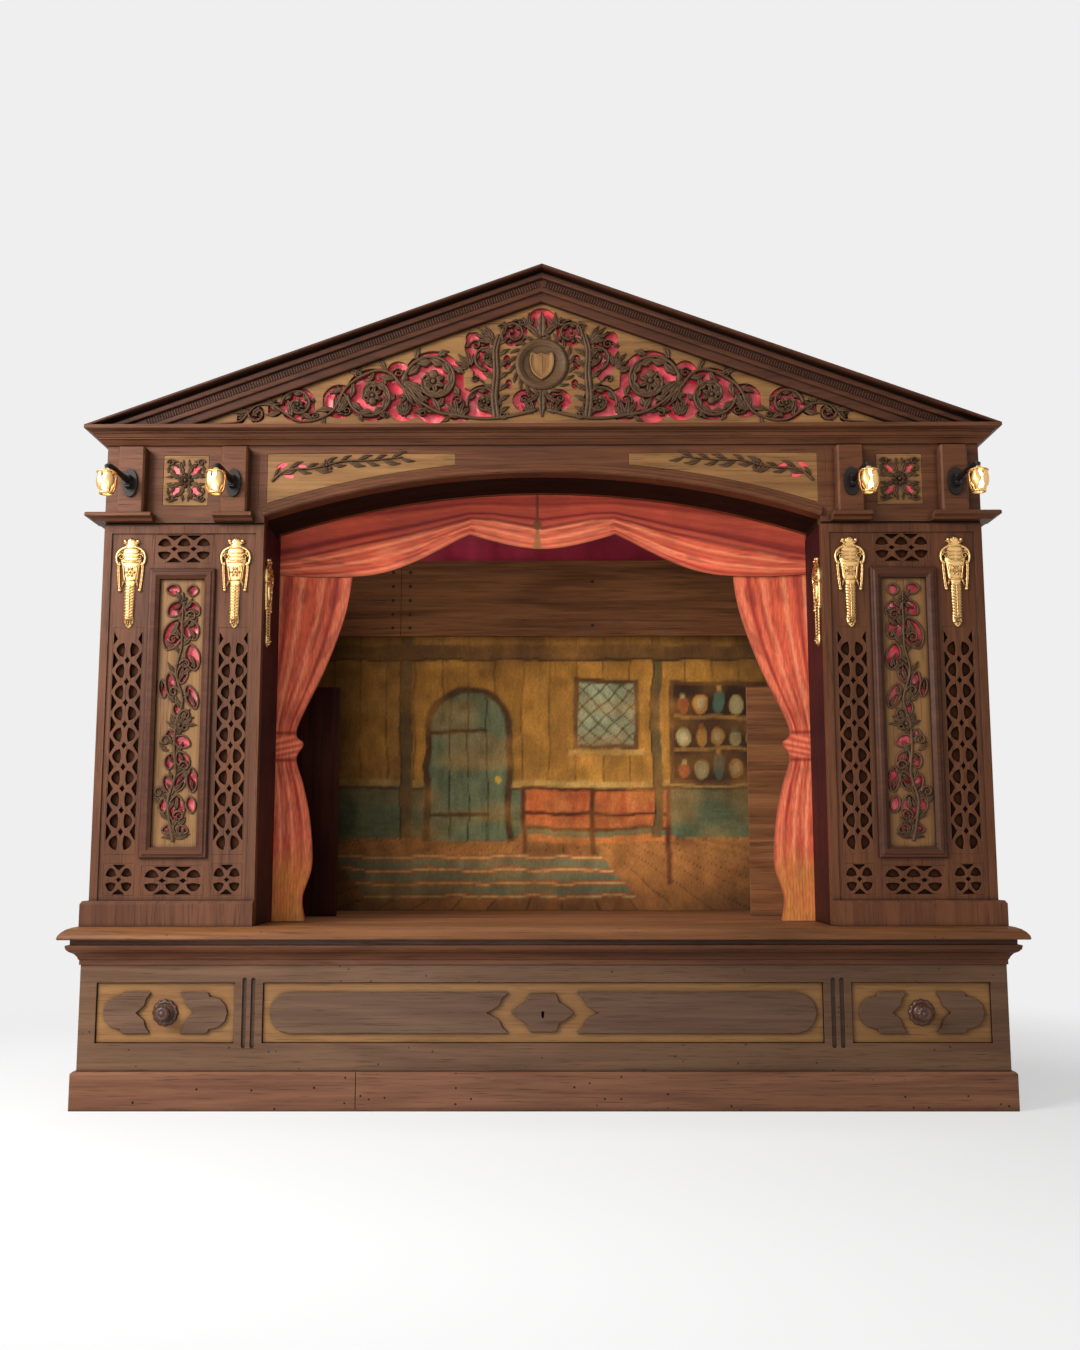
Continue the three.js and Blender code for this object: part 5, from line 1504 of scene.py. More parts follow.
    def _curtain(self) -> Surface:
        """Paint one curtain: folds that gather into a tie, and a gold hem below.

        Returns:
            The painted right curtain.
        """
        z = self.foot + self.curtain_height * np.linspace(0.0, 1.0, 301)[:, None]
        edge = smoothed(self.curtain_edge, 200)
        t = (z[:, 0] - self.foot) / self.curtain_height
        inner = np.interp(t, edge[:, 1], edge[:, 0]) * self.stage_half
        s = np.linspace(0.0, 1.0, 81)[None, :]
        xx = inner[:, None] + s * (self.half - inner[:, None])
        zz = np.broadcast_to(z, xx.shape)
        painter = Painter(xx, zz, self.mid)
        tt = np.broadcast_to(t[:, None], xx.shape)
        strands = s * float(self.half - inner.mean()) * np.ones_like(xx)
        self._dye(painter, self._folds(np.broadcast_to(s, xx.shape) * 1.2, tt * 0.8, 21, 3.1),
            strands, 0.1 * zz)
        middle, reach = self.curtain_tie
        tie = np.clip(1 - np.abs(tt - middle) / reach, 0, 1)
        bands = 0.5 + 0.5 * np.sin(2 * pi * (tt * 62 + 1.4 * s))
        tied = np.clip(3 * tie, 0, 1)
        painter.coat(tied, self.mid)
        painter.coat(tied * 0.65 * bands, self.light)
        painter.coat(tied * 0.6 * (1 - bands), self.dark)
        for place in self.curtain_cords:
            painter.coat(0.85 * np.exp(-((tt - place) / 0.005) ** 2), self.deep)
        under = (np.clip(1 - np.abs(tt - 0.38) / 0.05, 0, 1)
            + np.clip(1 - np.abs(tt - 0.52) / 0.06, 0, 1))
        painter.coat(0.35 * under, self.deep)
        hem = np.clip((0.17 - tt + 0.05 * wander(xx, zz, 40, 5)) / 0.1, 0, 1)
        painter.coat(0.75 * hem, self.gold)
        painter.dab(0.6 * hem * wander(xx, zz * 0.3, 70, 8), 222, 108, 66)
        painter.dab(0.6 * hem * np.clip(np.sin(xx * 900) - 0.5, 0, 1), 112, 66, 34)
        painter.coat(0.7 * np.exp(-(s * (self.half - inner[:, None]) / 0.004) ** 2), self.dark)
        return painted_board(xx, zz, "right_curtain", painter.colour)

    def build(self, finishes: Finishes) -> None:
        """Build the three flats in place of the plain ones.

        Args:
            finishes: The stand's finishes.
        """
        settle(self._valance().build("valance_flat", finishes.swags, False), "painted_cloth",
            "valance")
        for side, surface in self._curtain().both().items():
            settle(surface.build(f"{side}_curtain_flat", finishes.painted, False), "painted_cloth",
                f"{side}_curtain")


@dataclass
class HeaderNails:
    """Forged nail heads beside the joint in the stage's header."""

    joint_x: float = -0.377
    apart: float = 0.024
    heights: tuple = (1.112, 1.148, 1.186, 1.224, 1.262)
    others: tuple = ((0.13, 1.118), (0.13, 1.236), (-0.6, 1.15), (-0.6, 1.24), (0.61, 1.15),
        (0.61, 1.24))
    radius: float = 0.0042
    rise: float = 0.0016
    sunk: float = 0.0006

    def build(self, finishes: Finishes) -> None:
        """Build the nail heads as flattened half spheres.

        Args:
            finishes: The stand's finishes.
        """
        low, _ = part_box("stage_header")
        carver = Carver(low.y, self.sunk)
        places = [(self.joint_x + side * self.apart, z) for z in self.heights
            for side in (-0.9, 1.0)]
        for x, z in (*places, *self.others):
            carver.boss(x, z, self.radius, self.rise)
        settle(carver.surface().build("header_nails", finishes.iron), "iron")


@dataclass
class PaintedRoom:
    """The backdrop: a board painted as an ochre plank room of no special place."""

    columns: int = 320
    rows: int = 152
    seen_half: float = 0.62
    seen_top: float = 1.08
    # Heights of the floor's far and near end and of the dado, and the boards' width
    floor: float = 0.56
    near: float = 0.37
    dado: float = 0.7
    board: float = 0.072
    # The point in X that the floor boards run to, and their width as a share of the fan
    vanishing: float = 0.05
    fan_board: float = 0.09
    # The window's left, right, foot and top
    window: tuple[float, float, float, float] = (0.08, 0.255, 0.79, 0.985)

    def _paint(self, x: Array, z: Array) -> Array:
        """Lay the colours from the wall to the things that stand before it.

        Args:
            x: Each point's X.
            z: Each point's Z.

        Returns:
            Each point's red, green and blue.
        """
        p = Painter(x, z, srgb(192, 132, 54))
        for part in (self._wall, self._dado, self._floor, self._door, self._window,
                self._shelves, self._settle, self._rug, self._beams, self._wash):
            part(p)
        return p.colour

    def _wall(self, p: Painter) -> None:
        """Paint wall boards with dark joints and a shaded top.

        Args:
            p: The painter of the board.
        """
        x, z = p.x, p.z
        place = (x + 2.0) / self.board
        board = np.floor(place)
        tone = wander(board * 0.37, board * 0.11, 9.0, 31)
        p.shade(0.78 + 0.42 * tone)
        grain = wander(x * 1.0, z * 0.06, 190.0, 32)
        p.shade(0.9 + 0.2 * grain)
        joint = np.abs(place - np.round(place)) * self.board
        p.dab(0.75 * np.exp(-(joint / 0.0022) ** 2), 96, 62, 28)
        p.dab(p.rectangle(-1, 1, 1.03, 1.3, 0.02) * 0.5, 150, 104, 52)

    def _dado(self, p: Painter) -> None:
        """Paint dado of grey-green boards under a rail.

        Args:
            p: The painter of the board.
        """
        dado, x, z = self.dado, p.x, p.z
        p.dab(p.rectangle(-1, 1, 0.3, dado), 120, 124, 84)
        green = wander(x * 0.5, z * 3, 60.0, 33)
        p.dab(0.6 * green * (z < dado), 86, 96, 66)
        p.dab(p.rectangle(-1, 1, dado - 0.006, dado + 0.012), 206, 160, 84)
        p.dab(p.rectangle(-1, 1, dado - 0.014, dado - 0.007, 0.003), 74, 56, 34)

    def _floor(self, p: Painter) -> None:
        """Paint floor boards that run to a vanishing point.

        Args:
            p: The painter of the board.
        """
        floor, x, z = self.floor, p.x, p.z
        depth = np.clip((floor - z) / (floor - self.near), 0, 1)
        on_floor = (z < floor).astype(float)
        fan = (x - self.vanishing) / (0.35 + 0.75 * depth) / self.fan_board
        boards = np.floor(fan)
        p.dab(on_floor, 176, 112, 58)
        shift = wander(boards * 0.7, boards * 0.3, 7.0, 34)[..., None]
        p.colour = np.where(on_floor[..., None] > 0, p.colour * (0.62 + 0.7 * shift), p.colour)
        seam = np.abs(fan - np.round(fan))
        p.dab(on_floor * 0.8 * np.exp(-(seam / 0.03) ** 2), 74, 44, 24)

    def _door(self, p: Painter) -> None:
        """Paint a door with a round head, its two boards and hinges.

        Args:
            p: The painter of the board.
        """
        floor, x, z = self.floor, p.x, p.z
        door = np.maximum(p.rectangle(-0.3, -0.1, floor - 0.01, 0.86),
            p.round(-0.2, 0.86, 0.1, 0.085, 0.06))
        rim = np.maximum(p.rectangle(-0.318, -0.082, floor - 0.01, 0.86),
            p.round(-0.2, 0.86, 0.118, 0.103, 0.06))
        p.dab(rim, 92, 62, 34)
        p.dab(door, 128, 132, 92)
        p.dab(door * 0.5 * wander(x, z * 0.1, 150.0, 35), 92, 104, 76)
        for place in (-0.25, -0.2, -0.15):
            p.dab(door * p.line(place, 0.5, place, 1.0, 0.004), 60, 58, 38)
        for height in (0.62, 0.84):
            p.dab(p.line(-0.3, height, -0.15, height, 0.01), 50, 38, 26)
        p.dab(p.round(-0.122, 0.715, 0.009, 0.011), 220, 170, 70)

    def _window(self, p: Painter) -> None:
        """Paint a window with lozenge panes.

        Args:
            p: The painter of the board.
        """
        x, z = p.x, p.z
        p.dab(p.rectangle(*self.window), 98, 66, 34)
        glass = p.rectangle(0.094, 0.241, 0.804, 0.971, 0.003)
        p.dab(glass, 170, 172, 128)
        for way in (1, -1):
            lattice = np.abs(((x - 0.1675) + way * (z - 0.8875)) / 0.042)
            p.dab(glass * np.exp(-((lattice - np.round(lattice)) / 0.07) ** 2), 84, 62, 36)
        p.dab(p.rectangle(0.066, 0.269, 0.776, 0.792, 0.003), 210, 160, 84)

    def _shelves(self, p: Painter) -> None:
        """Paint shelves with jars and plates.

        Args:
            p: The painter of the board.
        """
        p.dab(p.rectangle(0.335, 0.6, 0.7, 0.975), 116, 74, 38)
        p.dab(p.rectangle(0.347, 0.588, 0.712, 0.963), 70, 44, 26)
        for shelf in (0.79, 0.875):
            p.dab(p.rectangle(0.347, 0.588, shelf, shelf + 0.009, 0.003), 186, 132, 66)
        colours = (srgb(186, 92, 52), srgb(204, 176, 110), srgb(96, 116, 92), srgb(214, 150, 70))
        for shelf, base in enumerate((0.716, 0.801, 0.886)):
            for number in range(5):
                across = 0.372 + 0.047 * number
                tall = 0.022 + 0.006 * ((number * 7 + shelf * 3) % 3)
                if (number + shelf) % 2:
                    p.coat(p.round(across, base + 0.026, 0.02, 0.025, 0.16),
                        colours[(number + shelf) % 4])
                    p.dab(0.6 * p.round(across, base + 0.026, 0.011, 0.014, 0.3), 232, 210, 160)
                else:
                    p.coat(p.round(across, base + tall, 0.015, tall, 0.16),
                        colours[(number + 2 * shelf) % 4])
                    p.coat(p.rectangle(across - 0.006, across + 0.006, base + 2 * tall - 0.006,
                        base + 2 * tall + 0.008, 0.003), colours[(number + 2 * shelf + 1) % 4])

    def _settle(self, p: Painter) -> None:
        """Paint a settle with an orange-red back.

        Args:
            p: The painter of the board.
        """
        x, z = p.x, p.z
        seat_back = p.rectangle(-0.05, 0.33, 0.585, 0.69)
        p.dab(seat_back, 198, 92, 46)
        p.dab(0.7 * seat_back * wander(x, z * 0.2, 70.0, 36), 226, 138, 74)
        for height in (0.585, 0.622, 0.69):
            p.dab(p.line(-0.05, height, 0.33, height, 0.009), 98, 46, 26)
        p.dab(p.rectangle(-0.066, 0.346, 0.548, 0.566, 0.003), 214, 124, 62)
        for place in (-0.05, 0.13, 0.33):
            p.dab(p.line(place, 0.44, place, 0.69, 0.013), 104, 52, 30)

    def _rug(self, p: Painter) -> None:
        """Paint a striped rug in perspective.

        Args:
            p: The painter of the board.
        """
        x, z = p.x, p.z
        rug = np.clip((0.52 - z) / 0.004, 0, 1) * np.clip((z - 0.4) / 0.004, 0, 1)
        lean = x - 0.02 + 0.9 * (z - 0.46)
        rug *= np.clip((0.36 - np.abs(lean + 0.18)) / 0.004, 0, 1)
        p.dab(0.9 * rug, 122, 128, 92)
        bands = np.sin((z - 0.4) * 2 * pi / 0.034)
        p.dab(rug * np.clip(3 * bands, 0, 1) * 0.8, 202, 92, 48)
        p.dab(rug * np.clip(6 * bands - 5, 0, 1), 226, 196, 118)

    def _beams(self, p: Painter) -> None:
        """Paint a beam across the top and two posts.

        Args:
            p: The painter of the board.
        """
        floor = self.floor
        for place, wide in ((-0.38, 0.03), (0.29, 0.024)):
            p.dab(p.rectangle(place, place + wide, floor, 1.2, 0.003), 112, 88, 50)
            p.dab(p.line(place, floor, place, 1.2, 0.004), 60, 40, 22)
        p.dab(p.rectangle(-1, 1, 1.035, 1.075, 0.004), 120, 82, 42)
        p.dab(p.line(-1, 1.035, 1, 1.035, 0.006), 62, 40, 22)

    def _wash(self, p: Painter) -> None:
        """Paint brush work, soiled patches, painted shade towards the sides and a darker foot.

        Args:
            p: The painter of the board.
        """
        x, z = p.x, p.z
        p.dab(0.35 * np.clip(2 * wander(x * 0.8, z * 1.6, 13.0, 39) - 0.7, 0, 1), 206, 140, 66)
        p.dab(0.45 * np.clip(2 * wander(x * 1.1, z * 0.9, 8.0, 40) - 1.0, 0, 1), 104, 66, 34)
        p.shade(0.74 + 0.52 * wander(x, z, 34.0, 37))
        p.shade(0.9 + 0.2 * wander(x * 1.2, z * 0.4, 120.0, 38))
        # painted shade: darker towards the sides, where the wings and pilasters shade the stage
        reach = np.clip((self.seen_half - np.abs(x - self.vanishing)) / 0.35, 0, 1)
        p.shade(0.35 + 0.65 * reach)
        # darker towards the foot
        p.shade(np.clip(0.45 + 0.55 * (z - self.near) / 0.12, 0.4, 1))

    def build(self, finishes: Finishes) -> None:
        """Build the painted board in place of the plain one.

        Args:
            finishes: The stand's finishes.
        """
        low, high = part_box("backdrop")
        across = np.interp(np.linspace(0, 1, self.columns), (0, 0.03, 0.97, 1),
            (low.x, -self.seen_half, self.seen_half, high.x))
        up = np.interp(np.linspace(0, 1, self.rows), (0, 0.93, 1), (low.z, self.seen_top, high.z))
        x, z = np.meshgrid(across, up)
        waver_x = 0.01 * (wander(x, z, 16.0, 71) - 0.5) + 0.004 * (wander(x, z, 60.0, 72) - 0.5)
        waver_z = 0.01 * (wander(x, z, 14.0, 73) - 0.5) + 0.004 * (wander(x, z, 55.0, 74) - 0.5)
        board = painted_board(x, z, "backdrop", self._paint(x + waver_x, z + waver_z))
        settle(board.build("backdrop_painted", finishes.painted_room, False), "painted_scene",
            "backdrop")


# Satin behind the fretwork and the rear cloth


@dataclass
class Satin:
    """Crumpled satin: a sheet pushed into sharp creases by ridged noise."""

    crease: float = 0.0042
    cell: float = 46.0
    step: float = 0.004
    thickness: float = 0.0004

    def sheet(self, name: str, x: tuple[float, float], z: tuple[float, float], y: float, seed: int,
            material: Material, roof: Callable[[Array], Array] | None = None) -> Object:
        """Make a crumpled sheet: the noise's ridges, at two sizes, push it away from the fret.

        Args:
            name: The object's name.
            x: From and to, across.
            z: From and to, upwards.
            y: Its front.
            seed: Which noise.
            material: Its material.
            roof: The height its top is cut to, by place across.

        Returns:
            The sheet.
        """
        columns, rows = (int((end - start) / self.step) + 2 for start, end in (x, z))
        xx, share = np.meshgrid(np.linspace(*x, columns), np.linspace(0, 1, rows))
        top = np.full_like(xx, z[1]) if roof is None else np.minimum(roof(xx), z[1])
        zz = z[0] + share * (top - z[0])
        ridge = 1 - np.abs(2 * wander(xx + 0.4 * zz, zz - 0.3 * xx, self.cell, seed) - 1)
        small = 1 - np.abs(2 * wander(xx - 0.5 * zz, zz + 0.4 * xx, 2.3 * self.cell, seed + 1) - 1)
        push = self.crease * (1 - ridge ** 1.5) + 0.35 * self.crease * (1 - small)
        points = np.stack([xx, y + push, zz], axis=2)
        sheet = Surface(points.reshape(-1, 3), grid_quads(rows, columns)).build(name, material)
        thicken(sheet, self.thickness, 1.0)
        return sheet


def thicken(obj: Object, thickness: float, offset: float) -> None:
    """Give a sheet its thickness, to one side of its faces or to both.

    Args:
        obj: The sheet.
        thickness: How thick it gets.
        offset: 1 for one side of its faces, 0 for both.
    """
    wall = obj.modifiers.new("Thickness", "SOLIDIFY")
    wall.thickness = thickness
    wall.offset = offset


def sheet_area(obj: Object) -> float:
    """Return the area of a mesh's faces."""
    return float(sum(face.area for face in obj.data.polygons))


# Fretwork, carving and tracery


@dataclass
class Tympanum:
    """The gable's golden board, pierced in chains of circles, with scrolls carved round a ring."""

    ring_z: float = 1.595
    stem_width: float = 0.008
    rise: float = 0.0052
    # Right half: middle X and Z, radius, starting angle, hand, leaves inside, leaves outside
    scrolls: tuple = ((0.6288, 1.4827, 0.0182, 0.0, -1, 4, 2), (0.5383, 1.5034, 0.0364, 0.0, 1, 7,
        4), (0.3741, 1.5242, 0.0546, 0.0, -1, 9, 6), (0.2398, 1.5562, 0.0655, 0.0, 1, 10, 7),
        (0.1214, 1.6108, 0.0309, -1.57, 1, 6, 4), (0.1274, 1.5089, 0.0382, -0.3, 1, 6, 1),
        (0.0617, 1.6654, 0.0291, -0.6, 1, 6, 4))
    # Bunches of long leaves: foot X and Z, angle of the first and of the last, count, length, width
    bunches: tuple = ((0.306, 1.556, -2.75, -1.85, 4, 0.078, 0.017),
        (0.452, 1.486, 1.35, 2.5, 4, 0.052, 0.014), (0.185, 1.474, 0.35, 2.5, 5, 0.046, 0.015),
        (0.305, 1.478, 0.9, 2.3, 4, 0.04, 0.013), (0.6, 1.5, 2.2, 3.6, 3, 0.026, 0.009),
        (0.02, 1.482, 0.5, 1.5, 3, 0.04, 0.012), (0.16, 1.592, -0.4, 2.0, 5, 0.036, 0.013),
        (0.108, 1.65, -0.1, 1.2, 4, 0.046, 0.014), (0.03, 1.683, 0.9, 2.3, 3, 0.03, 0.011),
        (0.655, 1.474, -0.2, 1.0, 3, 0.02, 0.007))
    stem: tuple = ((0.012, 1.49), (0.07, 1.476), (0.127, 1.4705), (0.19, 1.478), (0.2398, 1.4905),
        (0.3, 1.535), (0.335, 1.575), (0.3741, 1.579), (0.43, 1.545), (0.46, 1.49), (0.5, 1.468),
        (0.5383, 1.467), (0.575, 1.49), (0.6, 1.503), (0.6288, 1.501), (0.648, 1.483),
        (0.665, 1.466), (0.7, 1.461), (0.735, 1.458))
    # Thin tendrils in the openings: middle X and Z, radius, starting angle, hand
    tendrils: tuple = ((0.444, 1.514, 0.015, 2.0, 1), (0.43, 1.489, 0.009, -1.0, -1),
        (0.303, 1.497, 0.013, 1.0, -1), (0.317, 1.575, 0.0115, 0.4, 1),
        (0.262, 1.484, 0.01, 2.4, -1), (0.186, 1.512, 0.013, -0.5, 1),
        (0.586, 1.496, 0.0085, 1.6, -1), (0.146, 1.64, 0.011, 0.5, 1),
        (0.148, 1.56, 0.009, 2.8, -1), (0.345, 1.478, 0.0085, 0.2, 1),
        (0.405, 1.572, 0.008, 1.2, -1), (0.5, 1.478, 0.0075, 0.9, 1),
        (0.04, 1.516, 0.0095, 2.2, -1), (0.045, 1.69, 0.009, 1.0, 1))
    # Openings as chains of circles: middle X and Z, radius
    chains: tuple = (((0.6288, 1.4827, 0.0182),), ((0.6635, 1.4725, 0.0105),),
        ((0.5383, 1.5034, 0.0392), (0.5885, 1.4935, 0.0175)), ((0.3741, 1.5262, 0.0596),
        (0.447, 1.511, 0.0385), (0.305, 1.514, 0.048), (0.318, 1.578, 0.025),
        (0.2398, 1.5582, 0.068), (0.24, 1.503, 0.043), (0.18, 1.503, 0.039),
        (0.1294, 1.5089, 0.0388)))
    # A chain that climbs beside the ring, by height and then across
    side_chain: tuple = ((1.572, 0.136, 0.0165), (1.602, 0.132, 0.0315), (1.634, 0.143, 0.028),
        (1.656, 0.153, 0.016))
    crown_chain: tuple = ((-0.0617, 1.6654, 0.0291), (0.0, 1.692, 0.034), (0.0617, 1.6654, 0.0291))
    # Small openings round the ring: X, Z and half axes
    eyes: tuple = ((0.038, 1.5125, 0.027, 0.0255), (0.0775, 1.6, 0.0085, 0.017),
        (0.073, 1.5495, 0.008, 0.011))

    def _holes(self) -> list[Array]:
        """Return the outlines of the openings on both sides and over the ring.

        Returns:
            The outlines in X and Z.
        """
        right = [cloud(np.array(chain)) for chain in self.chains] + [oval(*eye)
            for eye in self.eyes]
        right.append(cloud(np.array(self.side_chain))[:, ::-1])
        return [*right, *(line * (-1.0, 1.0) for line in right), cloud(np.array(self.crown_chain)),
            oval(0.0, self.ring_z, 0.0436, 0.0436, count=48)]

    def _foliage(self, carver: Carver) -> None:
        """Carve the right half: the running stem, its scrolls with leaves, and the leafy pillar.

        Args:
            carver: What carves it.
        """
        carver.stem(self.stem, self.stem_width, self.rise, taper=0.5, steps=150)
        carver.sprig(self.stem[3:-3], 0.026, 0.034, 0.016, self.rise * 0.8, lean=1.0)
        for x, z, r, start, hand, inside, outside in self.scrolls:
            width = 0.0044 + 0.058 * r
            carver.scroll(x, z, r, start, hand, width, self.rise)
            carver.rim_leaves(x, z, r, start, hand, inside, 0.62 * r, 0.33 * r, self.rise * 0.9, 1)
            carver.rim_leaves(x, z, r, start + 0.5, hand, outside, 0.44 * r, 0.27 * r,
                self.rise * 0.8, -1)
            if r > 0.03:
                carver.flower(x, z, 0.38 * r, self.rise, 7, start)
        for x, z, r, start, hand in self.tendrils:
            carver.scroll(x, z, r, start, hand, 0.0042, self.rise * 0.85)
            carver.leaf(x + r * cos(start), z + r * sin(start), start - 1.2 * hand, 1.7 * r,
                0.75 * r, self.rise * 0.8, 0.5 * hand, 2)
        for x, z, first, last, count, length, width in self.bunches:
            for number, angle in enumerate(np.linspace(first, last, count)):
                reach = length * (1.0 - 0.22 * abs(2 * number / max(count - 1, 1) - 1))
                carver.leaf(x, z, angle, reach, width, self.rise, 0.5 - number / max(count - 1, 1),
                    3)
        pillar = ((0.1, 1.472), (0.105, 1.52), (0.101, 1.575), (0.103, 1.625), (0.094, 1.662))
        carver.stroke(smoothed(pillar, 60), 0.01 - 0.003 * np.linspace(0, 1, 60), 0.0062,
            LEAF_SECTION)
        for height in (1.482, 1.508, 1.534, 1.561, 1.588, 1.614, 1.64):
            for side in (-1, 1):
                carver.leaf(0.1015 + 0.005 * side, height, pi / 2 - 0.85 * side, 0.028, 0.0145,
                    self.rise, bend=-0.5 * side, lobes=2)
        carver.scroll(0.0865, 1.678, 0.0105, 0.4, 1, 0.0055, self.rise)
        carver.scroll(0.0855, 1.478, 0.01, 2.6, 1, 0.005, self.rise)

    def _middle(self, carver: Carver) -> None:
        """Carve what stands in the middle: leaves over and under the ring and its wreath.

        Args:
            carver: What carves it.
        """
        carver.leaf(0.0, 1.656, pi / 2, 0.058, 0.03, 0.006, 0.0, 3)
        carver.leaf(0.0, 1.536, -pi / 2, 0.06, 0.026, 0.006, 0.0, 3)
        for side in (-1, 1):
            carver.leaf(0.006 * side, 1.66, pi / 2 - 0.7 * side, 0.044, 0.018, 0.005, -0.7 * side,
                3)
            carver.leaf(0.006 * side, 1.53, -pi / 2 + 0.75 * side, 0.04, 0.016, 0.005, 0.6 * side,
                3)
        for angle in np.arange(20) * 2 * pi / 20:
            x, z = 0.0575 * cos(angle), self.ring_z + 0.0575 * sin(angle)
            carver.leaf(x, z, angle + 0.8, 0.024, 0.0115, 0.0046, 0.6, 1)

    def build(self, finishes: Finishes) -> None:
        """Build the pierced board and its carving.

        Args:
            finishes: The stand's finishes.
        """
        low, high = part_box("tympanum_board")
        corners = np.array([(low.x, low.z), (high.x, low.z), (0.0, high.z)])
        board = plate("tympanum_fret", [corners], self._holes(), low.y, high.y, finishes.pale_x)
        settle(board, "pale_wood", "tympanum_board")
        sides, middle = Carver(low.y, 0.007), Carver(low.y, 0.007)
        self._foliage(sides)
        self._middle(middle)
        for name, part in {**sides.surface().both(), "middle": middle.surface()}.items():
            settle(part.build(f"tympanum_carving_{name}", finishes.carved), "wood",
                "tympanum_board")


@dataclass
class Medallion:
    """The ring in the gable: a turned moulding round a dish with a bare shield."""

    z: float = 1.595
    outer: float = 0.059
    inner: float = 0.044
    proud: float = 0.006
    depth: float = 0.0123
    dish: float = 0.01
    # Share of the ring's width out from its inner edge, share of how far it stands out
    ring_shares: tuple = ((1.0, 0.0), (1.0, 0.34), (0.93, 0.52), (0.84, 0.56), (0.78, 0.84),
        (0.62, 1.0), (0.44, 0.98), (0.3, 0.74), (0.2, 0.52), (0.06, 0.5), (0.0, 0.36))
    shield_shares: tuple = ((0.0, 0.6), (0.26, 0.52), (0.5, 0.62), (0.6, 0.5), (0.62, 0.1),
        (0.5, -0.36), (0.24, -0.66), (0.0, -0.82))

    def build(self, finishes: Finishes) -> None:
        """Build the ring with its dish and the shield.

        Args:
            finishes: The stand's finishes.
        """
        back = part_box("medallion")[1].y
        plug = self.inner - 0.0008
        rows = [(0.0005, 0.0), (plug, 0.0), (plug, self.depth)]
        rows += [(self.inner + s * (self.outer - self.inner), self.depth + f * self.proud)
            for s, f in self.ring_shares]
        rows += [(0.93 * self.inner, self.dish + 0.0008), (0.88 * self.inner, self.dish),
            (0.0005, self.dish)]
        ring = lathe(np.array(rows), 0.0, back, 72, True, self.z)
        settle(merged("medallion_ring", [ring], finishes.carved), "wood", "medallion")
        right = smoothed(np.array(self.shield_shares) * self.inner, 40)
        line = np.concatenate([right, (right * (-1.0, 1.0))[-2:0:-1]])
        share = np.array([1.0, 1.0, 0.96, 0.86, 0.84, 0.5, 0.02])[:, None, None]
        lift = np.array([0.0, 0.003, 0.0042, 0.0042, 0.0032, 0.0046, 0.0052])
        flat = share * line[None]
        y = np.broadcast_to((back - self.dish - lift)[:, None], flat.shape[:2])
        shield = tube(np.stack([flat[..., 0], y, self.z + flat[..., 1]], axis=2))
        settle(merged("medallion_shield", [shield], finishes.pale_z), "pale_wood", "medallion")


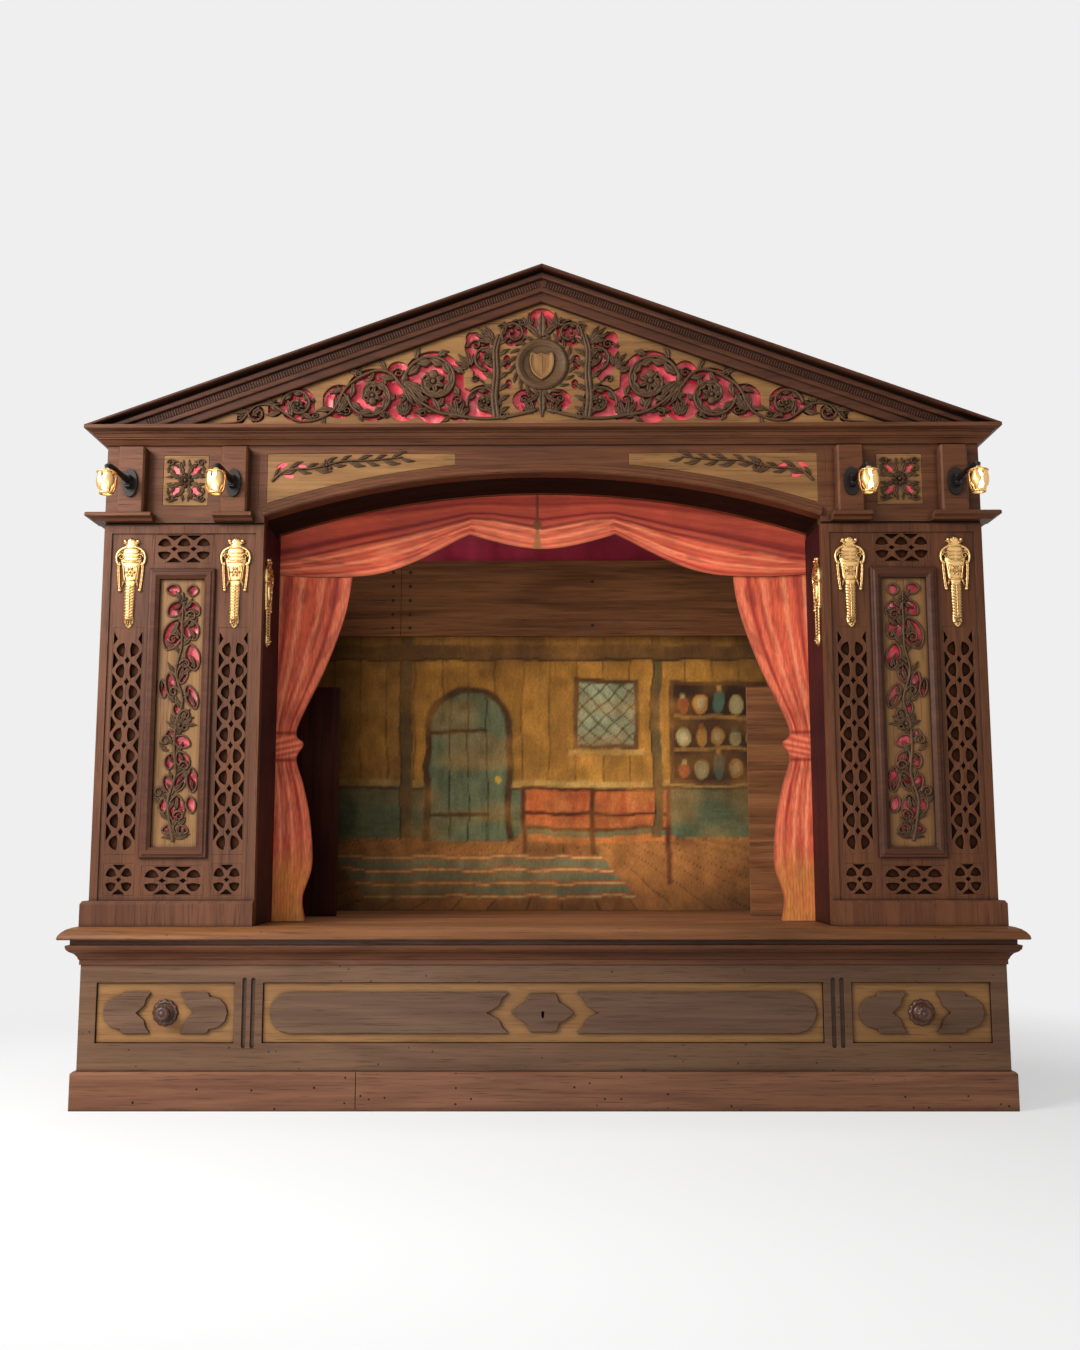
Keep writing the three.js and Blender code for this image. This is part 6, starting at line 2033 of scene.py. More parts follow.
@dataclass
class PilasterFret:
    """The tall pierced panel of a pilaster: openings in a chain behind a climbing leafy stem."""

    rise: float = 0.0046
    # Openings: from the middle across, from the top down, half length, half width, tilt
    openings: tuple = ((-0.022, 0.026, 0.0105, 0.0095, 0.0), (0.02, 0.024, 0.013, 0.0095, 0.1),
        (-0.022, 0.066, 0.018, 0.012, 0.7), (0.014, 0.066, 0.019, 0.012, 2.4),
        (-0.02, 0.112, 0.022, 0.015, 1.1), (0.018, 0.122, 0.033, 0.018, 1.9),
        (-0.026, 0.172, 0.027, 0.013, 1.35), (-0.006, 0.208, 0.019, 0.009, 1.65),
        (0.019, 0.232, 0.025, 0.0085, 1.4), (0.036, 0.24, 0.018, 0.006, 1.4),
        (-0.027, 0.258, 0.025, 0.01, 1.2), (0.002, 0.284, 0.013, 0.0075, 1.57),
        (-0.01, 0.32, 0.01, 0.0055, 0.5), (-0.01, 0.354, 0.017, 0.01, 0.4),
        (0.017, 0.342, 0.011, 0.0065, 1.4), (-0.013, 0.394, 0.019, 0.011, 1.05),
        (0.015, 0.396, 0.015, 0.0085, 1.75), (-0.034, 0.436, 0.024, 0.009, 1.5),
        (-0.008, 0.44, 0.019, 0.0095, 1.9), (0.016, 0.446, 0.019, 0.0085, 1.2),
        (-0.003, 0.497, 0.027, 0.014, 1.57), (-0.033, 0.488, 0.016, 0.008, 1.4),
        (0.026, 0.49, 0.013, 0.007, 1.57), (-0.016, 0.541, 0.011, 0.0065, 0.2),
        (0.014, 0.54, 0.011, 0.0065, 2.9))
    stem: tuple = ((0.002, 0.566), (0.01, 0.53), (0.016, 0.48), (0.002, 0.425), (0.006, 0.37),
        (0.004, 0.315), (-0.008, 0.265), (0.008, 0.205), (-0.002, 0.15), (-0.002, 0.1),
        (-0.003, 0.055), (-0.001, 0.03))

    def build(self, finishes: Finishes) -> None:
        """Build the panel and its carving on both pilasters.

        Args:
            finishes: The stand's finishes.
        """
        low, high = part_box("right_fret_panel")
        middle, top = (low.x + high.x) / 2, high.z
        holes = [oval(middle + x, top - down, 1.03 * a, 1.1 * b, tilt, 18, 1.5) for x, down, a, b,
            tilt in self.openings]
        corners = rectangle(low.x, high.x, low.z, high.z)
        carver = Carver(low.y, 0.0055)
        stem = [(middle + x, top - down) for x, down in self.stem]
        for hole in holes:
            carver.rim(hole, 0.0024, 0.7 * self.rise)
        carver.stem(stem, 0.0076, self.rise, 0.4, 150)
        carver.sprig(stem, 0.02, 0.027, 0.0118, self.rise, lean=0.85)
        for number, (x, down, long, wide, tilt) in enumerate(o for o in self.openings
                if o[2] > 0.0175):
            side = 1 if number % 2 else -1
            foot = (middle + x + side * 0.98 * long * cos(tilt), top - down + side * 0.98 * long
                * sin(tilt))
            carver.leaf(*foot, tilt + (pi if side > 0 else 0.0), 1.25 * long, 0.85 * wide,
                self.rise * 0.8, 0.5 * side, 2)
        for number, (x, z) in enumerate(stem[1:-2]):
            side = 1 if number % 2 else -1
            carver.scroll(x + 0.019 * side, z + 0.018, 0.012, pi / 2 * (1 + side), -side, 0.0058,
                self.rise)
            carver.leaf(x + 0.012 * side, z - 0.004, pi / 2 - 1.1 * side, 0.028, 0.013, self.rise,
                0.9 * side, 3)
        for turn in np.linspace(0.2, 2.9, 6):
            carver.leaf(middle - 0.006, top - 0.322, turn, 0.034, 0.013, self.rise, 0.5, 3)
            carver.leaf(middle - 0.004, top - 0.56, turn, 0.03, 0.01, self.rise, -0.4, 3)
        carver.flower(middle - 0.004, top - 0.318, 0.016, 0.006, 6)
        carver.flower(middle - 0.001, top - 0.048, 0.011, 0.006, 5)
        carving = carver.surface().both()
        for side, way in SIDES:
            lines = [line * (way, 1.0) for line in holes]
            board = plate(f"{side}_fret", [corners * (way, 1.0)], lines, low.y, high.y,
                finishes.pale_z)
            settle(board, "pale_wood", f"{side}_fret_panel")
            settle(carving[side].build(f"{side}_fret_carving", finishes.carved), "wood",
                f"{side}_fret_panel")


@dataclass
class Tracery:
    """Pierced tracery in a pilaster's windows: facing crescents, diamonds and darts, row on row."""

    pilaster_x: float = 0.78
    window: tuple = (0.1, 0.534, 1.114)
    front: float = -0.3578
    fret_back: float = -0.3532
    backing: float = -0.3482
    play: float = 0.0004
    strip_offset: float = 0.114
    strip: tuple = (0.066, 0.52, 0.486)
    squares: tuple = (0.066, 0.435, 0.066)
    foot: tuple = (0.133, 0.435, 0.062)
    head: tuple = (0.127, 1.148, 0.064)
    rows: int = 10
    crown_rows: float = 0.6
    belly: float = 0.24
    waist: float = 0.128
    tip: float = 0.345

    def _run(self, width: float, pitch: float, rows: int) -> list[Array]:
        """Return the holes of a run that climbs from nought, as across and along.

        A crescent's sides are the waist plus or minus a bow by the cosine of its height; a diamond
        and a dart narrow by a power of the distance from their middle.

        Args:
            width: The run's width.
            pitch: The height of a row.
            rows: How many rows.

        Returns:
            The outlines.
        """
        t = np.linspace(-1, 1, 15)
        bow = np.cos(t * pi / 2)
        crescent = np.concatenate([np.stack([(self.waist + self.belly * bow ** 0.62) * width,
            t * self.tip * pitch], 1), np.stack([(self.waist - 0.045 * bow) * width,
            t * self.tip * pitch], 1)[-2:0:-1]])
        narrow = (1 - np.abs(t)) ** 1.2
        diamond = np.concatenate([np.stack([0.088 * width * narrow, t * 0.19 * pitch], 1),
            np.stack([-0.088 * width * narrow, t * 0.19 * pitch], 1)[-2:0:-1]])
        dart = np.stack([(0.47 - 0.18 * (1 - np.abs(t)) ** 0.9) * width, t * 0.4 * pitch], 1)
        holes = []
        for row in range(rows):
            z = (row + 0.5) * pitch
            holes += [crescent * (side, 1) + (0, z) for side in (-1, 1)]
            if row < rows - 1:
                above = (0, z + pitch / 2)
                holes += [diamond + above, *(dart * (side, 1) + above for side in (-1, 1))]
        return holes

    def _window(self, x: float, z0: float, width: float, height: float) -> Array:
        """Return the outline of the plate in a window."""
        w, h0, h1 = width / 2 - self.play, z0 + self.play, z0 + height - self.play
        return rectangle(x - w, x + w, h0, h1)

    def build(self, finishes: Finishes) -> None:
        """Build the tracery of both pilasters with the board behind it.

        Args:
            finishes: The stand's finishes.
        """
        x = self.pilaster_x
        edges, holes = [], []
        width, z0, height = self.strip
        pitch = height / (self.rows + self.crown_rows)
        crown = np.array([(0.465, -0.28), (0.465, 0.36), (0.33, 0.02)]) * (width, pitch)
        for offset in (-self.strip_offset, self.strip_offset):
            edges.append(self._window(x + offset, z0, width, height))
            lift = (x + offset, z0 + 0.05 * pitch)
            holes += [line + lift for line in self._run(width, pitch, self.rows)]
            holes += [crown * (side, 1) + (0, self.rows * pitch) + lift for side in (-1, 1)]
        lying = [(x - self.strip_offset, *self.squares, 2), (x + self.strip_offset, *self.squares,
            2), (x, *self.foot, 3), (x, *self.head, 3)]
        for middle, long, base, tall, count in lying:
            edges.append(self._window(middle, base, long, tall))
            run = self._run(tall, long / count, count)
            holes += [line[:, ::-1] + (middle - long / 2, base + tall / 2) for line in run]
        low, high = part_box("right_tracery")
        wide, base, top = self.window
        outer = rectangle(low.x, high.x, low.z, high.z)
        inner = rectangle(x - wide / 2, x + wide / 2, base, top)
        for side, way in SIDES:
            turn = (way, 1.0)
            layers = (("fret", edges, holes, self.front, self.fret_back, finishes.wood_z, 0.0),
                ("board", [outer], [inner, *edges], low.y, self.backing, finishes.shadow, EASED),
                ("backing", [outer], [inner], self.backing, high.y, finishes.shadow, EASED))
            for name, outlines, openings, *rest in layers:
                piece = plate(f"{side}_tracery_{name}", [e * turn for e in outlines],
                    [h * turn for h in openings], *rest)
                settle(piece, "wood", f"{side}_tracery")


@dataclass
class FriezeFrets:
    """The frieze's sunk squares and spandrels: thin pierced boards with sprays carved on them."""

    face: float = -0.3612
    plate_back: float = -0.3601
    satin_y: float = -0.3599
    square_x: float = 0.78
    square_z: float = 1.332
    square_half: tuple = (0.0494, 0.0564)
    arch_radius: float = 1.9416
    crown_z: float = 1.347
    # The spandrel's inner and outer end and its top, and where its spray grows from
    spandrel: tuple[float, float, float] = (0.1904, 0.6016, 1.3916)
    spray_root: tuple = (0.556, 1.352)
    # Each satin's reach in X, on the right, and in Z
    square_satin: tuple = ((0.745, 0.815), (1.296, 1.368))
    spandrel_satin: tuple = ((0.505, 0.588), (1.336, 1.374))

    def _square(self) -> tuple[list[Array], Surface]:
        """Return the square's openings and its carving: crossed boughs of leaves round a flower.

        Returns:
            The outlines of the openings, and the carving.
        """
        x, z = self.square_x, self.square_z
        carver = Carver(self.face, 0.001)
        holes = [oval(x + 0.021 * sx, z + 0.024 * sz, 0.0085, 0.01, count=14) for sx in (-1, 1)
            for sz in (-1, 1)]
        carver.flower(x, z, 0.016, 0.006, 8)
        for number in range(8):
            turn = (number + 0.5) * pi / 4
            reach = 0.03 if number % 2 else 0.027
            dx, dz = cos(turn), 1.16 * sin(turn)
            carver.leaf(x + 0.012 * dx, z + 0.012 * dz, turn, reach, 0.014, 0.0046, 0.4, 3)
            for way in (-1, 1):
                carver.leaf(x + 0.026 * dx, z + 0.026 * dz, turn + 0.75 * way, 0.019, 0.0085, 0.004,
                    -0.6 * way, 2)
        for sx in (-1, 1):
            for sz in (-1, 1):
                carver.scroll(x + 0.033 * sx, z + 0.04 * sz, 0.0085, pi / 2 * (1 - sx), sx * sz,
                    0.0042, 0.0044)
                carver.leaf(x + 0.016 * sx, z + 0.043 * sz, 0.0 if sx > 0 else pi, 0.02, 0.008,
                    0.004, 0.8 * sx * sz, 2)
                carver.leaf(x + 0.039 * sx, z + 0.016 * sz, pi / 2 * sz, 0.02, 0.008, 0.004,
                    0.7 * sx * sz, 2)
        return holes, carver.surface()

    def _spandrel(self) -> tuple[Array, list[Array], Surface]:
        """Return the right spandrel's outline, its openings and its carved spray.

        Returns:
            The board's outline, the openings' outlines and the carving.
        """
        inner, outer, top = self.spandrel
        centre = self.crown_z - self.arch_radius
        x = np.linspace(inner, outer, 24)
        low = centre + np.sqrt((self.arch_radius + 0.0274) ** 2 - x ** 2)
        edge = np.concatenate([np.stack([x, low], 1), [(outer, top), (inner, top)]])
        rx, rz = self.spray_root
        holes = [oval(rx + 0.003, rz - 0.006, 0.016, 0.0075, 0.5, 16),
            oval(rx + 0.014, rz + 0.013, 0.012, 0.005, -0.4, 14),
            oval(rx - 0.032, rz + 0.01, 0.012, 0.005, 0.35, 14)]
        carver = Carver(self.face, 0.001)
        stem = ((rx + 0.036, rz - 0.022), (rx + 0.004, rz + 0.002), (rx - 0.06, rz + 0.008),
            (rx - 0.12, rz + 0.022), (rx - 0.18, rz + 0.024), (rx - 0.25, rz + 0.031))
        carver.stem(stem, 0.0062, 0.0046, 0.65, 90)
        carver.sprig(stem, 0.019, 0.034, 0.0115, 0.0042, lean=0.55)
        carver.flower(rx - 0.085, rz + 0.013, 0.013, 0.005, 5)
        return edge, holes, carver.surface()

    def build(self, finishes: Finishes) -> None:
        """Build both squares and both spandrels with satin in their openings.

        Args:
            finishes: The stand's finishes.
        """
        x, z = self.square_x, self.square_z
        a, b = self.square_half
        square = rectangle(x - a, x + a, z - b, z + b)
        square_holes, square_carving = self._square()
        spandrel, spandrel_holes, spray = self._spandrel()
        jobs = (
            ("square", square, square_holes, square_carving, "frieze_end", *self.square_satin),
            ("spandrel", spandrel, spandrel_holes, spray, None, *self.spandrel_satin))
        for name, edge, holes, carved, node, span, reach in jobs:
            carving = carved.both()
            for side, way in SIDES:
                carrier = f"{side}_{node}" if node else "arch_header"
                board = plate(f"{side}_{name}_fret", [edge * (way, 1.0)],
                    [h * (way, 1.0) for h in holes], self.face, self.plate_back, finishes.pale_x)
                settle(board, "pale_wood")
                settle(carving[side].build(f"{side}_{name}_carving", finishes.carved), "wood")
                x0, x1 = sorted((way * span[0], way * span[1]))
                cloth = Satin(crease=0.0005).sheet(f"{side}_{name}_satin", (x0, x1), reach,
                    self.satin_y, 51 if way > 0 else 52, finishes.silk)
                settle(cloth, "silk")
                declare_sheet(cloth, reach[1] - reach[0], "stretched", carrier)


def declare_sheet(obj: Object, length: float, held: str, *rests_on: str,
        cut: float | None = None) -> None:
    """Log the area of a sheet of cloth.

    Args:
        obj: The sheet.
        length: Its length; not used.
        held: How it is held; not used.
        *rests_on: What holds it; not used.
        cut: Its width where it isn't cut as a rectangle; not used.
    """
    area = sheet_area(obj)
    LOG.info("%s: %.3f square metres of cloth", obj.name, area)


@dataclass
class SatinBacking:
    """The satin behind the gable's and the pilasters' frets."""

    gable_half: float = 0.995
    gable_z: float = 1.447
    rise: float = 0.364
    margin: float = 0.024

    def build(self, finishes: Finishes) -> None:
        """Build the three sheets.

        Args:
            finishes: The stand's finishes.
        """
        low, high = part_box("tympanum_silk")
        slope = self.rise / self.gable_half

        def roof(x: Array) -> Array:
            """Return the height that the gable's sheet is cut to."""
            return self.gable_z + (self.gable_half - np.abs(x)) * slope - self.margin

        satin = Satin()
        span = (low.x, high.x)
        cloth = satin.sheet("gable_satin", span, (low.z, high.z), low.y, 41, finishes.silk, roof)
        settle(cloth, "silk", "tympanum_silk")
        area = sheet_area(cloth)
        share = area / ((high.x - low.x) * (high.z - low.z))
        wide = (high.x - low.x) * max(1.0, share)
        declare_sheet(cloth, high.z - low.z, "stretched", "tympanum_board", cut=1.04 * wide)
        for number, side in enumerate(("left", "right")):
            low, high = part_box(f"{side}_panel_silk")
            cloth = satin.sheet(f"{side}_satin", (low.x, high.x), (low.z, high.z), low.y + 0.0002,
                43 + number, finishes.silk)
            settle(cloth, "silk", f"{side}_panel_silk")
            declare_sheet(cloth, high.z - low.z, "stretched", f"{side}_fret_panel")


@dataclass
class RearCloth:
    """The cloth hung in pleats from the rail at the rear."""

    pleats: int = 14
    columns: int = 337
    rows: int = 41
    thickness: float = 0.0009

    def build(self, finishes: Finishes) -> None:
        """Build the cloth: a sine across whose depth grows downwards, with a slow wander.

        Args:
            finishes: The stand's finishes.
        """
        low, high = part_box("rear_cloth")
        s, t = np.meshgrid(np.linspace(0, 1, self.columns), np.linspace(0, 1, self.rows))
        x = low.x + 0.001 + s * (high.x - low.x - 0.002)
        z = low.z + t * (high.z - low.z - 0.0005) + 0.0005
        middle, reach = (low.y + high.y) / 2, (high.y - low.y) / 2 - 0.001
        depth = reach * (1.0 - 0.45 * t)
        drift = 0.9 * (wander(x * 0.6, z * 1.4, 9.0, 61) - 0.5)
        wave = np.sin(2 * pi * self.pleats * s + drift * (1 - 0.5 * t))
        y = middle + depth * np.tanh(1.5 * wave) / np.tanh(1.5)
        surface = Surface(np.stack([x, y, z], axis=2).reshape(-1, 3),
            grid_quads(self.rows, self.columns))
        cloth = surface.build("rear_drape", finishes.crimson)
        thicken(cloth, self.thickness, 0.0)
        settle(cloth, "crimson_cloth", "rear_cloth")
        declare_sheet(cloth, high.z - low.z, "hung", "rear_frame")


# Metalwork


@dataclass
class GiltMount:
    """A gilt term: a crest, shoulders with drops, a body with a boss and a tapering tail."""

    half: float = 0.033
    height: float = 0.199
    proud: float = 0.0072
    reveal_x: float = 0.606
    reveal_y: float = -0.305
    # Down the body: share of the height, share of the half width, share of how far it stands out
    body_shares: tuple = ((0.0, 0.1, 0.4), (0.03, 0.34, 0.7), (0.06, 0.3, 0.7), (0.09, 0.46, 0.8),
        (0.13, 0.56, 0.8), (0.18, 0.66, 0.86), (0.24, 0.7, 0.92), (0.3, 0.66, 0.92),
        (0.35, 0.56, 0.86), (0.4, 0.52, 0.86), (0.45, 0.5, 0.8), (0.49, 0.4, 0.72),
        (0.52, 0.3, 0.6), (0.56, 0.33, 0.66), (0.7, 0.31, 0.6), (0.84, 0.28, 0.6), (0.9, 0.32, 0.7),
        (0.95, 0.31, 0.7), (0.98, 0.18, 0.5), (1.0, 0.05, 0.3))

    def surface(self) -> Surface:
        """Return the mount about its top middle: X across, Y below nought towards the viewer.

        Returns:
            The mount.
        """
        carver = Carver(0.0, 0.0004)
        table = np.array(self.body_shares)
        t = np.linspace(0, 1, 90)
        path = np.stack([np.zeros(90), -t * self.height], axis=1)
        half = self.half * np.interp(t, table[:, 0], table[:, 1])
        lift = 0.8 * self.proud * np.interp(t, table[:, 0], table[:, 2])
        carver.stroke(path, half, lift)
        w, h, p = self.half, self.height, self.proud
        for side in (-1, 1):
            def line(*points: tuple[float, float]) -> list[tuple[float, float]]:
                """Return points given as shares of the half width and of the height."""
                return [(side * s * w, -d * h) for s, d in points]

            carver.stem(line((0.26, 0.1), (0.62, 0.125), (0.86, 0.165), (0.94, 0.225),
                (0.86, 0.285), (0.66, 0.3)), 0.0066, 0.78 * p, 0.25, 50)
            carver.stroke(smoothed(line((0.78, 0.27), (0.79, 0.36), (0.74, 0.47), (0.68, 0.565)),
                40), 0.003 + 0.0004 * np.sin(np.linspace(0, 40, 40)), 0.62 * p, LEAF_SECTION)
            carver.boss(*line((0.665, 0.58))[0], 0.0042, 0.85 * p)
            carver.boss(*line((0.42, 0.035))[0], 0.004, 0.8 * p)
            carver.leaf(*line((0.1, 0.085))[0], pi / 2 - side * 1.0, 0.017, 0.0085, 0.85 * p,
                -0.6 * side, 2)
            carver.leaf(*line((0.5, 0.15))[0], -side * 0.35 + (pi if side < 0 else 0), 0.016, 0.008,
                0.9 * p, -0.8 * side, 2)
            carver.leaf(*line((0.3, 0.45))[0], -pi / 2 + side * 0.5, 0.02, 0.006, 0.7 * p,
                -0.4 * side, 1)
            carver.scroll(*line((0.6, 0.215))[0], 0.0075, pi / 2 * (1 - side), side, 0.0032,
                0.95 * p)
        carver.leaf(0.0, -0.045 * h, pi / 2, 0.0088, 0.01, 0.9 * p, 0.0, 1)
        carver.flower(0.0, -0.385 * h, 0.0115, 1.15 * p, 6)
        for down, reach in ((0.115, 0.4), (0.275, 0.5), (0.475, 0.32), (0.895, 0.27)):
            band = np.array([(-reach * w, -down * h), (0.0, -down * h), (reach * w, -down * h)])
            carver.stroke(band, 0.0015, 1.02 * p)
        tail = np.stack([np.zeros(40), -np.linspace(0.52, 0.89, 40) * h], axis=1)
        carver.stroke(tail, 0.0013, 0.92 * p)
        for down in np.linspace(0.53, 0.86, 11):
            for side in (-1, 1):
                carver.stem(((0.0, -(down + 0.022) * h), (side * 0.16 * w, -(down + 0.008) * h),
                    (side * 0.3 * w, -down * h)), 0.0026, 0.86 * p, 0.3, 8)
        for down, lift in ((0.15, 1.0), (0.19, 1.02), (0.23, 1.04)):
            for side in (-1, 1):
                carver.stem(((side * 0.06 * w, -(down + 0.02) * h), (side * 0.3 * w,
                    -(down + 0.024) * h), (side * 0.56 * w, -down * h)), 0.003, lift * p, 0.4, 12)
        for place in np.linspace(-0.42, 0.42, 7):
            carver.boss(place * w, -0.315 * h - 0.004 * (1 - (place / 0.42) ** 2), 0.0016, 1.05 * p)
        for side in (-1, 1):
            carver.stem(((side * 0.44 * w, -0.33 * h), (side * 0.4 * w, -0.4 * h),
                (side * 0.3 * w, -0.47 * h)), 0.0036, 1.0 * p, 0.4, 16)
        carver.flower(0.0, -0.935 * h, 0.0088, 1.1 * p, 6, 0.5)
        return carver.surface()

    def build(self, finishes: Finishes) -> None:
        """Set a mount on each tracery strip's head and on each reveal.

        Args:
            finishes: The stand's finishes.
        """
        mount = self.surface()
        for side in ("left", "right"):
            for place in ("inner", "outer"):
                name = f"{side}_{place}_mount"
                low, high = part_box(name)
                piece = mount.moved((low.x + high.x) / 2, high.y, high.z)
                settle(piece.build(f"{name}_gilt", finishes.gilt), "gilt", name)
        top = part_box("right_outer_mount")[1].z - 0.034
        x, y, z = mount.points.T
        turned = Surface(np.stack([y + self.reveal_x, self.reveal_y - x, z + top], 1), mount.quads,
            mount.tris)
        for side, piece in turned.both().items():
            settle(piece.build(f"{side}_reveal_mount_gilt", finishes.gilt), "gilt")


@dataclass
class PilasterCase:
    """The boards behind a pilaster's front: the inner one painted dark, the others plain."""

    inner: float = 0.606
    outer: float = 0.954
    front: float = -0.3397
    back: float = -0.181
    board: float = 0.014

    def build(self, finishes: Finishes) -> None:
        """Build both cases.

        Args:
            finishes: The stand's finishes.
        """
        low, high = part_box("right_pilaster_case")
        z0, z1, t = low.z, high.z, self.board
        reveal = block(self.inner, self.inner + t, self.front, self.back, z0, z1)
        rest = Surface.joined([block(self.outer - t, self.outer, self.front, self.back, z0, z1),
            block(self.inner + t, self.outer - t, self.back - t, self.back, z0, z1),
            block(self.inner + t, self.outer - t, self.front, self.back - t, z1 - t, z1)]).both()
        for side, board in reveal.both().items():
            settle(board.build(f"{side}_reveal_board", finishes.maroon, False), "wood",
                f"{side}_pilaster_case")
            settle(rest[side].build(f"{side}_case_boards", finishes.wood_z, False), "wood",
                f"{side}_pilaster_case")


@dataclass
class Lamps:
    """Four swinging lamps: a black arm on a pin, a gilt petalled cage and a frosted bulb."""

    pin_y: float = -0.4083
    z: float = 1.318
    reach: float = 0.134
    drop: float = 0.012
    radius: float = 0.0058
    cage: float = 0.022
    cage_height: float = 0.054
    petals: int = 5
    # The arm's line: share of its reach, share of its drop
    arm_shares: tuple = ((0.03, 0.0), (0.25, -0.05), (0.5, -0.05), (0.78, 0.0), (0.93, 0.22),
        (0.985, 0.62), (1.0, 1.15))
    bulb_shares: tuple = ((0.04, 0.0), (0.5, 0.0), (0.53, 0.12), (0.6, 0.2), (0.82, 0.33),
        (0.96, 0.45), (1.0, 0.56), (0.96, 0.68), (0.84, 0.8), (0.6, 0.91), (0.3, 0.98), (0.03, 1.0))
    # Turned profiles as radius and height: the eye on the pin, the cage's cap and the ring below
    eye: tuple = ((0.004, -0.01), (0.0066, -0.01), (0.0078, -0.0088), (0.0078, -0.007),
        (0.0064, -0.0056), (0.0068, 0.0), (0.0064, 0.0056), (0.0078, 0.007), (0.0078, 0.0088),
        (0.0066, 0.01), (0.004, 0.01))
    cap: tuple = ((0.0004, 0.001), (0.0046, 0.0008), (0.006, -0.0006), (0.0066, -0.0022),
        (0.011, -0.0042), (0.0178, -0.0064), (0.0206, -0.0078), (0.021, -0.0088),
        (0.0196, -0.0094), (0.0004, -0.009))
    ring: tuple = ((0.0106, 0.0006), (0.014, 0.0006), (0.0146, -0.0014), (0.0138, -0.0034),
        (0.0106, -0.0036))

    def _arm(self, x: float) -> list[Surface]:
        """Return the arm: a round section carried along its line, an eye on the pin and collars.

        Args:
            x: The lamp's X.

        Returns:
            The arm's surfaces.
        """
        line = np.array([(self.pin_y - s * self.reach, self.z - d * self.drop)
            for s, d in self.arm_shares])
        path = smoothed(line, 50)
        run = np.gradient(path, axis=0)
        run /= np.linalg.norm(run, axis=1, keepdims=True)
        around = np.linspace(0, 2 * pi, 15)[:-1]
        t = np.linspace(0, 1, 50)
        swell = np.exp(-((t - 0.12) / 0.03) ** 2) + np.exp(-((t - 0.8) / 0.022) ** 2)
        r = (self.radius * (1.06 - 0.22 * t + 0.24 * swell))[:, None]
        y = path[:, :1] - run[:, 1:] * r * np.sin(around)
        z = path[:, 1:] + run[:, :1] * r * np.sin(around)
        arm = tube(np.stack([x + r * np.cos(around), y, z], axis=2))
        return [arm, lathe(np.array(self.eye) + (0.0, self.z), x, self.pin_y, 28)]

    def _cage(self, x: float) -> list[Surface]:
        """Return the cap, the petals that bulge round the bulb, and the ring at their feet.

        Args:
            x: The lamp's X.

        Returns:
            The cage's surfaces.
        """
        y, top = self.pin_y - self.reach, self.z - self.drop
        made = [lathe(np.array(self.cap) + (0.0, top), x, y, 40)]
        s, a = np.meshgrid(np.linspace(0, 1, 19), np.linspace(-1, 1, 9), indexing="ij")
        bulge = np.interp(s, [0, 0.15, 0.35, 0.55, 0.75, 0.9, 1.0],
            [0.86, 0.95, 1.0, 0.99, 0.88, 0.72, 0.66])
        wide = 0.1 + 0.4 * np.sin(pi * np.clip(0.06 + 0.94 * s, 0, 1)) ** 0.9
        wide *= 1 + 0.16 * np.cos(4 * pi * s)
        height = top - 0.0072 - s * (self.cage_height - 0.0088)
        for number in range(self.petals):
            angle = number * 2 * pi / self.petals + pi / 2 + a * wide
            ridge = 0.0012 * (1 - np.abs(a)) ** 2 - 0.0006
            sides = []
            for inset in (0.0, 0.0011):
                r = self.cage * bulge - inset + ridge - 0.0008
                sides.append(np.stack([x + r * np.cos(angle), y + r * np.sin(angle), height],
                    axis=2))
            made.append(panel(sides[0], sides[1]))
        ring = np.array(self.ring) + (0.0, top - self.cage_height + 0.0036)
        loop = np.concatenate([ring, ring[:1]])
        around = np.linspace(0, 2 * pi, 41)[:-1]
        rings = np.stack([x + loop[None, :-1, 0] * np.cos(around)[:, None],
            y + loop[None, :-1, 0] * np.sin(around)[:, None],
            np.broadcast_to(loop[None, :-1, 1], (40, 5))], axis=2)
        made.append(tube(rings, looped=True))
        return made

    def build(self, finishes: Finishes) -> None:
        """Build the four lamps.

        Args:
            finishes: The stand's finishes.
        """
        for number in range(1, 5):
            low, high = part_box(f"lamp_bulb_{number}")
            x, y = (low.x + high.x) / 2, (low.y + high.y) / 2
            wide, down = np.transpose(self.bulb_shares)
            radii, heights = wide * (high.x - low.x) / 2, high.z - down * (high.z - low.z)
            profile = smoothed(np.stack([radii, heights], 1), 50)
            for name, parts, finish, slot, node in (
                    ("arm", self._arm(x), finishes.iron, "iron", "arm"),
                    ("cage", self._cage(x), finishes.gilt, "iron", "arm"),
                    ("bulb", [lathe(profile, x, y, 36)], finishes.bulb, "bulb_glass", "bulb")):
                settle(merged(f"lamp_{number}_{name}", parts, finish), slot,
                    f"lamp_{node}_{number}", body=f"lamp_{number}")


# Turned and moulded pieces


